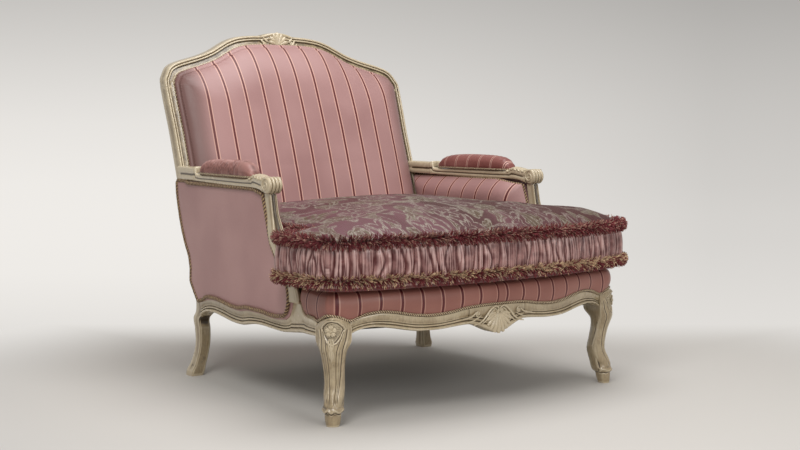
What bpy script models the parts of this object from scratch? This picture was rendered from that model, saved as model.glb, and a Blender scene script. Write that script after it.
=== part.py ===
"""A wide upholstered armchair: carved and painted show-wood frame, sprung seat, loose T-shaped cushion.

Metres, +Z up. The front of the chair faces -Y and +X is the right-hand side of someone facing +Y.
The origin is on the floor, under the middle of the chair. Left pieces lie at -X.
"""
from math import cos, pi, sin, sqrt, tau

import bmesh
import bpy
from mathutils import Vector

# Clearance between touching pieces
GAP = 0.0003

# Driving sizes of the seat frame
LEG_SPAN_HALF = 0.461
REAR_LEG_INSET = 0.028
FRAME_DEPTH = 0.760
FRONT_LEG_Y = -0.467
SEAT_FRAME_Z = 0.245
RAIL_WAVE = 0.050
RAIL_THICK = 0.030
FRONT_BOW = 0.060

# Front leg: a corner block on a curved, tapering leg
BLOCK_WIDTH = 0.062
BLOCK_DEPTH = 0.070
BLOCK_CHAMFER = 0.030
BLOCK_DOME = 0.012
BLOCK_ABOVE = 0.017
BLOCK_BELOW = 0.0275
FOOT_KICK = 0.007

# Rear leg and back upright, one piece
REAR_LEG_WIDTH = 0.036
REAR_LEG_DEPTH = 0.034
REAR_FOOT_KICK = 0.019

# Back frame
BACK_RAKE = 0.343
BACK_SEAT_DEPTH = 0.056
BACK_THICK = 0.040
BACK_FACE = 0.038
BACK_TAPER = 0.021
BACK_HOLLOW = 0.020
CREST_JOINT_Z = 0.860
CREST_RISE = 0.170
CREST_SHELL_HALF = 0.060
CREST_SHELL_RISE = 0.012
CREST_SHELL_PROUD = 0.010
STAY_RAIL_Z = 0.322
STAY_RAIL_HEIGHT = 0.044
REAR_RAIL_HEIGHT = 0.050
UPRIGHT_RINGS = 16
PANEL_LOW_STEPS = 12
PANEL_END_STEPS = 9

# Apron shell on the front rail
APRON_SHELL_DROP = 0.034
APRON_SHELL_PROUD = 0.014
APRON_SHELL_HALF = 0.095

# Arms
ARM_FRONT_OFFSET = 0.002
ARM_REAR_INSET = 0.011
ARM_WIDTH = 0.040
ARM_UNDER_Z = 0.578
ARM_THICK = 0.025
SCROLL_RADIUS = 0.023
SCROLL_REACH = 0.287
POST_WIDTH = 0.037
POST_JOINT_Z = 0.291
SPUR_DEPTH = 0.056

# Upholstery
DECK_TOP_Z = 0.335
DECK_BASE_Z = 0.287
DECK_BULGE = 0.013
DECK_CROWN = 0.004
BACK_CROWN = 0.064
# The pad's crown is this much of it at its foot, behind the cushion, and whole this much higher
BACK_FOOT_SHARE = 0.72
BACK_FOOT_RISE = 0.23
BACK_REBATE = 0.014
PANEL_THICK = 0.004
PANEL_CROWN = 0.006
OUTER_REAR_LAP = 0.001
INNER_ARM_INSET = 0.024
INNER_ARM_FLARE = 0.016
INNER_ARM_CROWN = 0.016
INNER_ARM_THICK = 0.008
ARM_PAD_WIDTH = 0.056
ARM_PAD_HEIGHT = 0.046
ARM_PAD_REAR_GAP = 0.017
ARM_PAD_START = 0.090
TRIM_WIDTH = 0.009
TRIM_THICK = 0.006

# Loose cushion
CUSHION_EAR_REACH = 0.050
CUSHION_SIDE_GAP = 0.012
CUSHION_REAR_GAP = 0.022
CUSHION_CORNER_RADIUS = 0.097
CUSHION_FRONT_REACH = 0.064
CUSHION_EAR_GAP = 0.016
CUSHION_SLAB = 0.100
CUSHION_CROWN = 0.082
CUSHION_BAND_THICK = 0.006
FRINGE_REACH = 0.011
FRINGE_HEIGHT = 0.039
FRINGE_UPPER_HEIGHT = 0.049

# Sprung support
WEB_WIDTH = 0.050
WEB_THICK = 0.0015
WEB_Z = 0.232
CLOTH_THICK = 0.0015
SPRING_RADIUS = 0.040
SPRING_WIRE = 0.0016
SPRING_TURNS = 3
DUST_COVER_Z = 0.224
CORNER_BLOCK_REACH = 0.075
CORNER_BLOCK_HEIGHT = 0.020
CORNER_BLOCK_Z = 0.250
SCREW_HEAD = 0.0045
SCREW_HEAD_THICK = 0.0025

# Places that several pieces share
BACK_HALF_WIDTH = LEG_SPAN_HALF - BACK_TAPER
REAR_SPAN_HALF = BACK_HALF_WIDTH - REAR_LEG_INSET
ARM_FRONT_HALF = LEG_SPAN_HALF + ARM_FRONT_OFFSET
ARM_REAR_HALF = BACK_HALF_WIDTH - ARM_REAR_INSET
OUTER_FRONT_HALF = ARM_FRONT_HALF + POST_WIDTH / 4
OUTER_REAR_HALF = BACK_HALF_WIDTH + OUTER_REAR_LAP
INNER_ARM_HALF = BACK_HALF_WIDTH - INNER_ARM_INSET
CUSHION_EAR_HALF = LEG_SPAN_HALF + CUSHION_EAR_REACH
CUSHION_BODY_HALF = INNER_ARM_HALF - INNER_ARM_CROWN - CUSHION_SIDE_GAP
REAR_LEG_Y = FRONT_LEG_Y + FRAME_DEPTH
BLOCK_INNER_X = LEG_SPAN_HALF - BLOCK_WIDTH / 2
BLOCK_FRONT_Y = FRONT_LEG_Y - BLOCK_DEPTH / 2
BLOCK_REAR_Y = FRONT_LEG_Y + BLOCK_DEPTH / 2
SEAT_FRONT_OF_BACK_Y = REAR_LEG_Y - BACK_SEAT_DEPTH / 2
SIDE_RAIL_LENGTH = SEAT_FRONT_OF_BACK_Y - BLOCK_REAR_Y
SCROLL_Y = FRONT_LEG_Y + SCROLL_REACH
SCROLL_Z = ARM_UNDER_Z + SCROLL_RADIUS / 2 - ARM_THICK / 10
POST_TOP_Z = SCROLL_Z - SCROLL_RADIUS

# Outlines, as shares of the sizes named beside them
# Front rail, middle to end: half length, top and bottom edge over RAIL_WAVE
FRONT_RAIL_SHARES = (
    (0.0, 0.58, -0.30), (0.07, 0.58, -0.30), (0.13, 0.57, -0.31), (0.19, 0.54, -0.32), (0.26, 0.49, -0.32),
    (0.34, 0.37, -0.37), (0.42, 0.30, -0.43), (0.51, 0.29, -0.44), (0.58, 0.35, -0.42), (0.65, 0.44, -0.33),
    (0.73, 0.58, -0.20), (0.81, 0.64, -0.10), (0.88, 0.58, -0.07), (0.95, 0.46, -0.17), (1.0, 0.34, -0.36),
)
# Side rail, front to rear: length, top and bottom edge over RAIL_WAVE
SIDE_RAIL_SHARES = (
    (0.0, 0.22, -0.50), (0.03, 0.30, -0.53), (0.09, 0.34, -0.57), (0.118, 0.46, -0.58), (0.130, 0.66, -0.59),
    (0.141, 0.92, -0.60), (0.206, 0.92, -0.71), (0.213, 0.56, -0.72), (0.228, 0.22, -0.74), (0.252, 0.03, -0.78),
    (0.29, -0.06, -0.82), (0.37, -0.06, -0.80), (0.44, 0.0, -0.77),
    (0.50, 0.0, -0.80), (0.56, 0.0, -0.90), (0.62, -0.14, -1.04), (0.70, -0.12, -1.02), (0.78, 0.02, -0.90),
    (0.86, 0.08, -0.80), (0.93, 0.0, -0.84), (0.97, -0.12, -0.98), (1.0, -0.26, -1.18),
)
SPUR_END_SHARE = 0.252
SPUR_ROUND_SHARES = (0.228, 0.213, 0.206)
# Side rail plan: length, share of the way from the front width to the rear width
SIDE_PLAN_SHARES = ((0.0, 0.0), (0.12, 0.28), (0.25, 0.45), (0.5, 0.62), (0.8, 0.82), (1.0, 1.0))
# Rail section, from the inner top corner: outward over thickness, upward over local height
RAIL_SECTION_SHARES = (
    (0, 1), (0.70, 1), (0.92, 0.90), (0.86, 0.55), (0.88, 0.30), (1.0, 0.18), (0.86, 0), (0, 0),
)
# Front leg below the block: height over SEAT_FRAME_Z, diagonal centre, depth and width over BLOCK_WIDTH
FRONT_LEG_SHARES = (
    (0.0, 0.11, 0.52, 0.56), (0.06, 0.10, 0.70, 0.68), (0.15, 0.09, 0.87, 0.84), (0.18, 0.04, 1.0, 0.90),
    (0.28, -0.06, 0.97, 0.88), (0.41, -0.20, 0.84, 0.86), (0.55, -0.12, 0.79, 0.87), (0.69, 0.0, 0.84, 0.98),
    (0.80, 0.06, 1.0, 1.18), (0.88, 0.0, 1.12, 1.42),
)
# Front leg section: along the diagonal of the corner, across it
LEG_SECTION_SHARES = (
    (-1.0, 0.0), (-0.62, 0.62), (0.05, 1.0), (0.78, 0.62), (1.0, 0.0), (0.78, -0.62), (0.05, -1.0),
    (-0.62, -0.62),
)
# Rear leg below the seat frame: height, outward kick, depth and width over the leg's own
REAR_LEG_SHARES = (
    (0.0, 1.0, 1.18, 1.10), (0.06, 0.86, 1.26, 1.18), (0.14, 0.58, 1.12, 1.02), (0.28, 0.20, 1.0, 0.95),
    (0.42, 0.0, 1.0, 0.95), (0.58, 0.02, 1.06, 1.0), (0.70, 0.12, 1.18, 1.0),
)
# Depth of the back frame above the seat: height between the seat frame and the arm, over BACK_THICK
BACK_DEPTH_SHARES = (
    (0.0, 1.40), (0.08, 1.11), (0.16, 0.78), (0.31, 0.70), (0.47, 1.18), (0.65, 1.35), (0.86, 1.28),
    (1.0, 1.0),
)
# Section of the back frame, from its outer rear corner: inward over its face, rearward over its depth
FRAME_SECTION_SHARES = (
    (0.0, 1.0), (0.0, 0.22), (0.10, 0.0), (0.30, 0.0), (0.45, 0.12), (0.72, 0.0), (1.0, 0.0), (1.0, 1.0),
)
# Outer width of the upright above the arm: height up to the crest joint, over BACK_HALF_WIDTH
BACK_WIDTH_SHARES = ((0.0, 0.991), (0.30, 0.990), (0.55, 0.991), (0.75, 0.996), (1.0, 1.0))
# Crest outline from the joint to the middle: half width, rise over CREST_RISE
CREST_SHARES = (
    (1.0, 0.0), (0.996, 0.12), (0.977, 0.22), (0.945, 0.34), (0.905, 0.41), (0.86, 0.455), (0.80, 0.50),
    (0.72, 0.555), (0.64, 0.62), (0.57, 0.69), (0.50, 0.785), (0.43, 0.875), (0.35, 0.945), (0.26, 0.982),
    (0.17, 0.997), (0.09, 1.0), (0.0, 1.0),
)
# How much of the arm its rear block takes
ARM_BLOCK_SHARE = 0.205
# Arm, rear to front: length to the scroll, underside and top over ARM_THICK, from ARM_UNDER_Z
ARM_SHARES = (
    (0.0, 0.20, 1.76), (0.20, 0.16, 1.72), (ARM_BLOCK_SHARE, 0.14, 1.02), (0.40, 0.06, 0.98),
    (0.60, 0.0, 0.96), (0.838, 0.0, 0.98), (0.86, -0.02, 1.34), (0.895, -0.06, 1.24), (0.935, -0.20, 1.10),
    (0.965, -0.46, 1.20),
)
# Arm section: across over its half width, upward over its thickness
ARM_SECTION_SHARES = ((-1, 0), (-1, 0.62), (-0.66, 1), (0.66, 1), (1, 0.62), (1, 0))
# Round front of the scroll: half turns from its foremost point; and its width over the arm's
SCROLL_SHARES = (0.5, 0.36, 0.22, 0.12, 0.03)
SCROLL_SWELL = 1.06
# Arm post: height from joint to top, rear edge behind the scroll centre and depth over SPUR_DEPTH, width
POST_SHARES = (
    (0.0, -1.93, 0.80, 1.0), (0.05, -1.94, 0.77, 1.0), (0.143, -1.86, 0.68, 1.0), (0.198, -1.64, 0.58, 1.0),
    (0.245, -1.46, 0.55, 1.0), (0.363, -0.93, 0.57, 1.0), (0.454, -0.59, 0.55, 1.0), (0.535, -0.29, 0.55, 1.0),
    (0.637, -0.11, 0.52, 0.97), (0.72, 0.02, 0.50, 0.80), (0.802, 0.16, 0.49, 0.66), (1.0, 0.37, 0.50, 0.60),
)
# Arm pad, front to rear: length, half width and height over the pad's own
ARM_PAD_SHARES = (
    (0.0, 0.30, 0.12), (0.03, 0.62, 0.45), (0.10, 0.86, 0.78), (0.22, 0.98, 0.95), (0.40, 1.0, 1.0),
    (0.60, 1.0, 1.0), (0.78, 0.98, 0.93), (0.90, 0.86, 0.75), (0.97, 0.60, 0.42), (1.0, 0.30, 0.12),
)
# Arm pad section: across over the half width there, upward over the height there
ARM_PAD_SECTION_SHARES = (
    (-0.72, 0), (-1, 0.25), (-0.94, 0.62), (-0.6, 0.92), (0, 1), (0.6, 0.92), (0.94, 0.62), (1, 0.25),
    (0.72, 0),
)
# Places of the deck's outline along the front rail, along the arm and along the back
DECK_FRONT_SHARES = (0.0, 0.12, 0.24, 0.36, 0.48, 0.60, 0.72, 0.82, 0.91)
DECK_SIDE_SHARES = (0.15, 0.4, 0.7, 1.0)
DECK_REAR_SHARES = (0.66, 0.33, 0.0)
# How far the deck's underside seam and its crown reach from the middle to the edge
DECK_SEAM_SHARE = 0.85
DECK_CROWN_SHARE = 0.91
# How much of the crest's face the shell covers
SHELL_EDGE_SHARE = 0.7
# How far the rings of a stuffed pad's flat backing reach from its middle
BACKING_SHARES = (0.45, 0.88, 1.0)
# Crown of a stuffed pad: how far in from its edge, how high
CROWN_SHARES = (
    (1.0, 0.0), (0.985, 0.26), (0.94, 0.48), (0.86, 0.68), (0.72, 0.86), (0.5, 0.96), (0.25, 0.995),
)

# Cushion outline: places along the front bow, round the corner, along the side and along the rear
CUSHION_FRONT_SHARES = (0.0, 0.13, 0.26, 0.39, 0.52, 0.64, 0.75)
CUSHION_TURN_SHARES = (0.22, 0.48, 0.74, 1.0)
CUSHION_SIDE_SHARES = (0.3, 0.6, 0.85)
CUSHION_REAR_SHARES = (0.62, 0.3, 0.0)
CUSHION_BOW_SHARE = 0.9
CUSHION_CORNER_SHARE = 0.8
# Cushion crown, from its seam: how far in and how high, over the crown's own height
CUSHION_CROWN_SHARES = (
    (0.0, 0.0), (0.0, 0.10), (0.10, 0.30), (0.32, 0.52), (0.75, 0.72), (1.5, 0.86), (2.8, 0.96), (4.2, 1.0),
)

WOOD_COLOUR = (0.66, 0.60, 0.46)
SATIN_COLOUR = (0.45, 0.26, 0.26)
PLAIN_COLOUR = (0.36, 0.23, 0.24)
BROCADE_COLOUR = (0.24, 0.13, 0.15)
BAND_COLOUR = (0.40, 0.20, 0.21)
FRINGE_COLOUR = (0.25, 0.09, 0.09)
TRIM_COLOUR = (0.30, 0.20, 0.12)
JUTE_COLOUR = (0.45, 0.34, 0.20)
LINING_COLOUR = (0.05, 0.05, 0.05)
FOAM_COLOUR = (0.75, 0.70, 0.58)
STEEL_COLOUR = (0.35, 0.35, 0.36)
BRASS_COLOUR = (0.55, 0.42, 0.18)


def clear_scene():
    """Remove every object of the starting scene."""
    for item in list(bpy.data.objects):
        bpy.data.objects.remove(item, do_unlink=True)


def finish(name, colour, roughness, metallic=0.0):
    """Return a plain material with one colour, roughness and metallic value."""
    material = bpy.data.materials.new(name)
    material.use_nodes = True
    shader = material.node_tree.nodes["Principled BSDF"]
    shader.inputs["Base Color"].default_value = (*colour, 1.0)
    shader.inputs["Roughness"].default_value = roughness
    shader.inputs["Metallic"].default_value = metallic
    return material


def between(table, place, column=1):
    """Read a column of a table of shares at a place, in a smooth line through its rows."""
    if place <= table[0][0]:
        return table[0][column]
    for i in range(len(table) - 1):
        low, high = table[i], table[i + 1]
        if place <= high[0]:
            before, after = table[max(i - 1, 0)], table[min(i + 2, len(table) - 1)]
            span = high[0] - low[0]
            t = (place - low[0]) / span
            rise_low = slope(before, high, column) * span
            rise_high = slope(low, after, column) * span
            return hermite(low[column], high[column], rise_low, rise_high, t)
    return table[-1][column]


def slope(first, second, column):
    """Return the slope of a column between two rows."""
    return (second[column] - first[column]) / (second[0] - first[0])


def hermite(low, high, rise_low, rise_high, t):
    """Return a cubic that leaves low and reaches high with the given rises."""
    return (
        (2 * t**3 - 3 * t**2 + 1) * low + (t**3 - 2 * t**2 + t) * rise_low
        + (3 * t**2 - 2 * t**3) * high + (t**3 - t**2) * rise_high
    )


def blend(low, high, t):
    """Mix two values with a share from 0 to 1."""
    return low + (high - low) * min(max(t, 0.0), 1.0)


def mirrored(points, side):
    """Put a list of points on the left (-1) or the right (+1)."""
    return [Vector((side * p[0], p[1], p[2])) for p in points]


def add_object(name, mesh_data, material):
    """Turn bmesh data into a named object with outward faces and a smooth surface."""
    bmesh.ops.remove_doubles(mesh_data, verts=mesh_data.verts, dist=GAP / 10)
    bmesh.ops.recalc_face_normals(mesh_data, faces=mesh_data.faces)
    mesh = bpy.data.meshes.new(name)
    mesh_data.to_mesh(mesh)
    mesh_data.free()
    mesh.materials.append(material)
    mesh.shade_smooth()
    mesh.set_sharp_from_angle(angle=pi / 5)
    item = bpy.data.objects.new(name, mesh)
    bpy.context.collection.objects.link(item)
    return item


def skin_rings(mesh_data, rings, closed=False):
    """Join rings of equally many points with faces, and cap the ends or close the loop."""
    rows = [[mesh_data.verts.new(p) for p in ring] for ring in rings]
    count = len(rows[0])
    pairs = list(zip(rows, rows[1:]))
    if closed:
        pairs.append((rows[-1], rows[0]))
    for low, high in pairs:
        for i in range(count):
            j = (i + 1) % count
            mesh_data.faces.new((low[i], low[j], high[j], high[i]))
    if not closed:
        mesh_data.faces.new(rows[0])
        mesh_data.faces.new(rows[-1])


def loft(name, rings, material, closed=False):
    """Make one closed body through a row of rings."""
    mesh_data = bmesh.new()
    skin_rings(mesh_data, rings, closed)
    return add_object(name, mesh_data, material)


def box_rings(low, high):
    """Return the two rings of an upright box."""
    corners = ((low[0], low[1]), (high[0], low[1]), (high[0], high[1]), (low[0], high[1]))
    return [[Vector((x, y, z)) for x, y in corners] for z in (low[2], high[2])]


def side_outer(y):
    """Return the outer half width of the side frame's fabric at a depth."""
    start = BLOCK_REAR_Y
    share = between(SIDE_PLAN_SHARES, (y - start) / SIDE_RAIL_LENGTH)
    front = LEG_SPAN_HALF + BLOCK_WIDTH / 2 - RAIL_THICK / 5
    return blend(front, OUTER_REAR_HALF, share)


def back_front_y(x, z):
    """Return the front plane of the back frame: raked, and slightly hollow across."""
    seat_y = SEAT_FRONT_OF_BACK_Y
    lean = seat_y + BACK_RAKE * max(z - SEAT_FRAME_Z, 0.0)
    rise = blend(0.0, 1.0, (z - STAY_RAIL_Z - STAY_RAIL_HEIGHT) / (ARM_UNDER_Z - STAY_RAIL_Z))
    across = max(0.0, 1.0 - (x / BACK_HALF_WIDTH) ** 2)
    return lean + BACK_HOLLOW * across * rise


def back_depth(z):
    """Return how deep the back frame is at a height."""
    share = (z - SEAT_FRAME_Z) / (ARM_UNDER_Z - SEAT_FRAME_Z)
    return BACK_THICK * between(BACK_DEPTH_SHARES, min(max(share, 0.0), 1.0))


def back_point(x, z, depth):
    """Return a point of the back, a given depth behind its front plane."""
    return Vector((x, back_front_y(x, z) + depth, z))


def upright_outer(z):
    """Return the outer half width of the upright at a height."""
    foot = REAR_SPAN_HALF + REAR_LEG_WIDTH / 2
    arm = BACK_HALF_WIDTH * BACK_WIDTH_SHARES[0][1]
    if z < ARM_UNDER_Z:
        return blend(foot, arm, (z - SEAT_FRAME_Z) / (ARM_UNDER_Z - SEAT_FRAME_Z))
    share = (z - ARM_UNDER_Z) / (CREST_JOINT_Z - ARM_UNDER_Z)
    return BACK_HALF_WIDTH * between(BACK_WIDTH_SHARES, min(share, 1.0))


def upright_heights():
    """Return the heights of the upright's rings above the seat frame, up to the crest joint."""
    rise = (CREST_JOINT_Z - SEAT_FRAME_Z) / UPRIGHT_RINGS
    return [SEAT_FRAME_Z + rise * i for i in range(1, UPRIGHT_RINGS + 1)]


def upright_face(z):
    """Return the face width of the upright at a height."""
    return blend(REAR_LEG_WIDTH, BACK_FACE, (z - SEAT_FRAME_Z) / (ARM_UNDER_Z - SEAT_FRAME_Z))


def crest_outline():
    """Return the crest's outer line, left joint to right joint, as (x, z)."""
    right = [(BACK_HALF_WIDTH * w, CREST_JOINT_Z + CREST_RISE * r) for w, r in CREST_SHARES]
    left = [(-x, z) for x, z in right]
    return left + right[-2::-1]


def inward(line):
    """Return the unit direction into the chair at each point of an open (x, z) line."""
    found = []
    for i in range(len(line)):
        a, b = line[max(i - 1, 0)], line[min(i + 1, len(line) - 1)]
        along = Vector((b[0] - a[0], b[1] - a[1])).normalized()
        found.append(Vector((along[1], -along[0])))
    found[0], found[-1] = Vector((1, 0)), Vector((-1, 0))
    return found


def offset_line(line, distance):
    """Return an open (x, z) line moved into the chair."""
    return [(x + n[0] * distance, z + n[1] * distance) for (x, z), n in zip(line, inward(line))]


def back_opening(inset, low_z):
    """Return the closed (x, z) outline of the back's opening, moved in by an inset."""
    crest = offset_line(crest_outline(), BACK_FACE + inset)
    heights = [low_z] + [z for z in upright_heights()[:-1] if z > low_z + RAIL_THICK / 3]
    right = [(upright_outer(z) - upright_face(z) - inset, z) for z in reversed(heights)]
    left = [(-x, z) for x, z in reversed(right)]
    floor = [(right[-1][0] * share, low_z) for share in (0.6, 0.2, -0.2, -0.6)]
    return left + crest + right + floor


def frame_section(depth):
    """Return the (inward share, depth) places of the back frame's moulded section."""
    return [(inward_share, depth * depth_share) for inward_share, depth_share in FRAME_SECTION_SHARES]


def make_front_leg(name, side, material):
    """A leg block with a chamfered corner on a cabriole leg; the foot is flat."""
    rings = []
    diagonal = Vector((1, -1, 0)).normalized()
    across = Vector((1, 1, 0)).normalized()
    centre = Vector((LEG_SPAN_HALF, FRONT_LEG_Y, 0))
    for height, shift, depth, width in FRONT_LEG_SHARES:
        middle = centre + diagonal * (shift * BLOCK_WIDTH + FOOT_KICK * (1 - height) ** 2)
        d, w = depth * BLOCK_WIDTH / 2, width * BLOCK_WIDTH / 2
        level = Vector((0, 0, height * SEAT_FRAME_Z))
        rings.append([
            middle + level + diagonal * (u * d) + across * (v * w) for u, v in LEG_SECTION_SHARES
        ])
    rings.append(block_ring(centre, 0.0, SEAT_FRAME_Z - BLOCK_BELOW))
    rings.append(block_ring(centre, 0.0, SEAT_FRAME_Z + BLOCK_ABOVE))
    rings.append(block_ring(centre, BLOCK_DOME, SEAT_FRAME_Z + BLOCK_ABOVE + BLOCK_DOME))
    return loft(name, [mirrored(ring, side) for ring in rings], material)


def block_ring(centre, inset, z):
    """Return the leg block's section: square to the rails, its outer corner cut off."""
    w, d = BLOCK_WIDTH / 2 - inset, BLOCK_DEPTH / 2 - inset
    cut = BLOCK_CHAMFER - inset
    swell = BLOCK_CHAMFER / 4
    places = (
        (-w, d), (0, d), (w, d), (w, cut - d), ((w + w - cut) / 2 + swell, (cut - d - d) / 2 - swell),
        (w - cut, -d), (-w, -d), (-w, 0),
    )
    return [Vector((centre[0] + x, centre[1] + y, z)) for x, y in places]


def make_rear_upright(name, side, material):
    """A rear leg that runs up into the side of the back, in one piece."""
    rings = []
    for height, kick, depth, width in REAR_LEG_SHARES:
        x = REAR_SPAN_HALF + kick * REAR_FOOT_KICK
        y = REAR_LEG_Y + REAR_LEG_DEPTH / 2 + kick * REAR_FOOT_KICK
        w, d = width * REAR_LEG_WIDTH / 2, depth * REAR_LEG_DEPTH / 2
        rings.append(chamfered(x - w, x + w, y - d, y + d, height * SEAT_FRAME_Z))
    foot_x = REAR_SPAN_HALF
    half = REAR_LEG_WIDTH / 2
    front = SEAT_FRONT_OF_BACK_Y
    for z in (SEAT_FRAME_Z - RAIL_WAVE, SEAT_FRAME_Z):
        rings.append(chamfered(foot_x - half, foot_x + half, front, front + back_depth(SEAT_FRAME_Z), z))
    for z in upright_heights():
        outer, face, depth = upright_outer(z), upright_face(z), back_depth(z)
        rings.append([
            back_point(outer - share * face, z, place)
            for share, place in frame_section(depth)
        ])
    return loft(name, [mirrored(ring, side) for ring in rings], material)


def chamfered(x0, x1, y0, y1, z):
    """Return an eight-point section in the same order as the back frame's section."""
    cut = (x1 - x0) / 6
    return [
        Vector((x, y, z)) for x, y in (
            (x1, y1), (x1, y0 + cut), (x1 - cut, y0), (blend(x1, x0, 0.35), y0), (blend(x1, x0, 0.65), y0),
            (x0 + cut, y0), (x0, y0 + cut), (x0, y1),
        )
    ]


def make_crest_rail(name, material):
    """The top of the back frame, in a long serpentine with a shell at the middle."""
    outer = crest_outline()
    into = inward(outer)
    rings = []
    for (x, z), n in zip(outer, into):
        shell = max(0.0, 1.0 - (x / CREST_SHELL_HALF) ** 2)
        lift, proud = CREST_SHELL_RISE * shell, CREST_SHELL_PROUD * shell
        ring = []
        for share, depth in frame_section(BACK_THICK):
            inset = share * BACK_FACE - lift * max(0.0, 1 - share / SHELL_EDGE_SHARE)
            place = depth - proud * max(0.0, 1 - share / SHELL_EDGE_SHARE)
            ring.append(back_point(x + n[0] * inset, z + n[1] * inset + joint_lift(x), place))
        rings.append(ring)
    return loft(name, rings, material)


def joint_lift(x):
    """Return the clearance that the crest keeps above the uprights at its two ends."""
    return GAP if abs(x) > BACK_HALF_WIDTH * 0.99 else 0.0


def make_lower_back_rail(name, material):
    """A straight rail between the two uprights, above the seat, following the rake of the back."""
    half_length = upright_outer(STAY_RAIL_Z) - upright_face(STAY_RAIL_Z) - RAIL_THICK / 20
    depth = back_depth(STAY_RAIL_Z) * 0.70
    low, high = STAY_RAIL_Z - STAY_RAIL_HEIGHT / 2, STAY_RAIL_Z + STAY_RAIL_HEIGHT / 2
    rings = [
        [back_point(x, z, place) for z, place in ((low, 0.0), (high, 0.0), (high, depth), (low, depth))]
        for x in (-half_length, half_length)
    ]
    return loft(name, rings, material)


def rear_rail_front():
    """Return the front face of the rear seat rail."""
    return SEAT_FRONT_OF_BACK_Y + (BACK_SEAT_DEPTH - RAIL_THICK) / 2


def make_rear_rail(name, material):
    """The rear rail of the seat frame, between the two rear legs."""
    half_length = REAR_SPAN_HALF - REAR_LEG_WIDTH / 2 - GAP
    front = rear_rail_front()
    rings = box_rings(
        (-half_length, front, SEAT_FRAME_Z - REAR_RAIL_HEIGHT),
        (half_length, front + RAIL_THICK, SEAT_FRAME_Z),
    )
    return loft(name, rings, material)


def front_rail_face(x):
    """Return the front face of the front rail at a place across."""
    return BLOCK_FRONT_Y + BLOCK_DEPTH / 9 - FRONT_BOW * (1.0 - (x / BLOCK_INNER_X) ** 2)


def front_rail_edges(x):
    """Return the top and bottom of the front rail at a place across."""
    share = abs(x) / BLOCK_INNER_X
    return (
        SEAT_FRAME_Z + RAIL_WAVE * between(FRONT_RAIL_SHARES, share, 1),
        SEAT_FRAME_Z + RAIL_WAVE * between(FRONT_RAIL_SHARES, share, 2),
    )


def make_front_rail(name, material):
    """A bowed rail with a wavy edge, and a shell that hangs from its middle."""
    shares = [row[0] for row in FRONT_RAIL_SHARES]
    places = [-s for s in reversed(shares)] + shares[1:]
    rings = []
    for share in places:
        x = share * (BLOCK_INNER_X - GAP)
        top, bottom = front_rail_edges(x)
        shell = max(0.0, 1.0 - abs(x) / APRON_SHELL_HALF)
        bottom -= APRON_SHELL_DROP * shell
        face = front_rail_face(x)
        ring = []
        for out, up in RAIL_SECTION_SHARES:
            proud = APRON_SHELL_PROUD * sqrt(shell) * (out > 0.5)
            ring.append(Vector((x, face + RAIL_THICK * (1 - out) - proud, blend(bottom, top, up))))
        rings.append(ring)
    return loft(name, rings, material)


def side_rail_edges(share):
    """Return the top and bottom of the side rail along its length."""
    return (
        SEAT_FRAME_Z + RAIL_WAVE * between(SIDE_RAIL_SHARES, share, 1),
        SEAT_FRAME_Z + RAIL_WAVE * between(SIDE_RAIL_SHARES, share, 2),
    )


def make_side_rail(name, side, material):
    """A side rail with a wavy lower edge and the spur that carries the arm post."""
    rings = []
    for row in SIDE_RAIL_SHARES:
        y = BLOCK_REAR_Y + GAP + row[0] * (SIDE_RAIL_LENGTH - 2 * GAP)
        top, bottom = SEAT_FRAME_Z + RAIL_WAVE * row[1], SEAT_FRAME_Z + RAIL_WAVE * row[2]
        outer = side_outer(y) + TRIM_THICK / 3
        rings.append([
            Vector((outer - RAIL_THICK * (1 - out), y, blend(bottom, top, up)))
            for out, up in RAIL_SECTION_SHARES
        ])
    return loft(name, [mirrored(ring, side) for ring in rings], material)


def arm_centre(y):
    """Return the middle of the arm across the chair, at a depth."""
    rear_y = back_front_y(ARM_REAR_HALF, ARM_UNDER_Z)
    return blend(ARM_FRONT_HALF, ARM_REAR_HALF, (y - SCROLL_Y) / (rear_y - SCROLL_Y))


def make_arm(name, side, material):
    """The arm: a block at the upright, a low run under the pad, then a rise to the scroll."""
    rear_y = back_front_y(ARM_REAR_HALF, ARM_UNDER_Z)
    length = rear_y - SCROLL_Y
    rings = []
    for place, under, top in ARM_SHARES:
        y = rear_y - place * length
        low, high = ARM_UNDER_Z + under * ARM_THICK, ARM_UNDER_Z + top * ARM_THICK
        rings.append(arm_ring(y, max(low, POST_TOP_Z + GAP), high, 1.0))
    rings[0] = [Vector((p.x, back_front_y(BACK_HALF_WIDTH, p.z) - 2 * GAP, p.z)) for p in rings[0]]
    for share in SCROLL_SHARES:
        reach = SCROLL_RADIUS * cos(share * pi)
        half = SCROLL_RADIUS * sin(share * pi)
        rings.append(arm_ring(SCROLL_Y - reach, SCROLL_Z - half + GAP, SCROLL_Z + half, SCROLL_SWELL))
    return loft(name, [mirrored(ring, side) for ring in rings], material)


def arm_ring(y, low, high, swell):
    """Return the arm's section: flat below, rounded above."""
    centre, half = arm_centre(y), swell * ARM_WIDTH / 2
    return [Vector((centre + u * half, y, blend(low, high, v))) for u, v in ARM_SECTION_SHARES]


def post_edges(z):
    """Return the front and rear edges of the arm post at a height."""
    share = (z - POST_JOINT_Z) / (POST_TOP_Z - POST_JOINT_Z)
    rear = SCROLL_Y + SPUR_DEPTH * between(POST_SHARES, share, 1)
    return rear - SPUR_DEPTH * between(POST_SHARES, share, 2), rear


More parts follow.
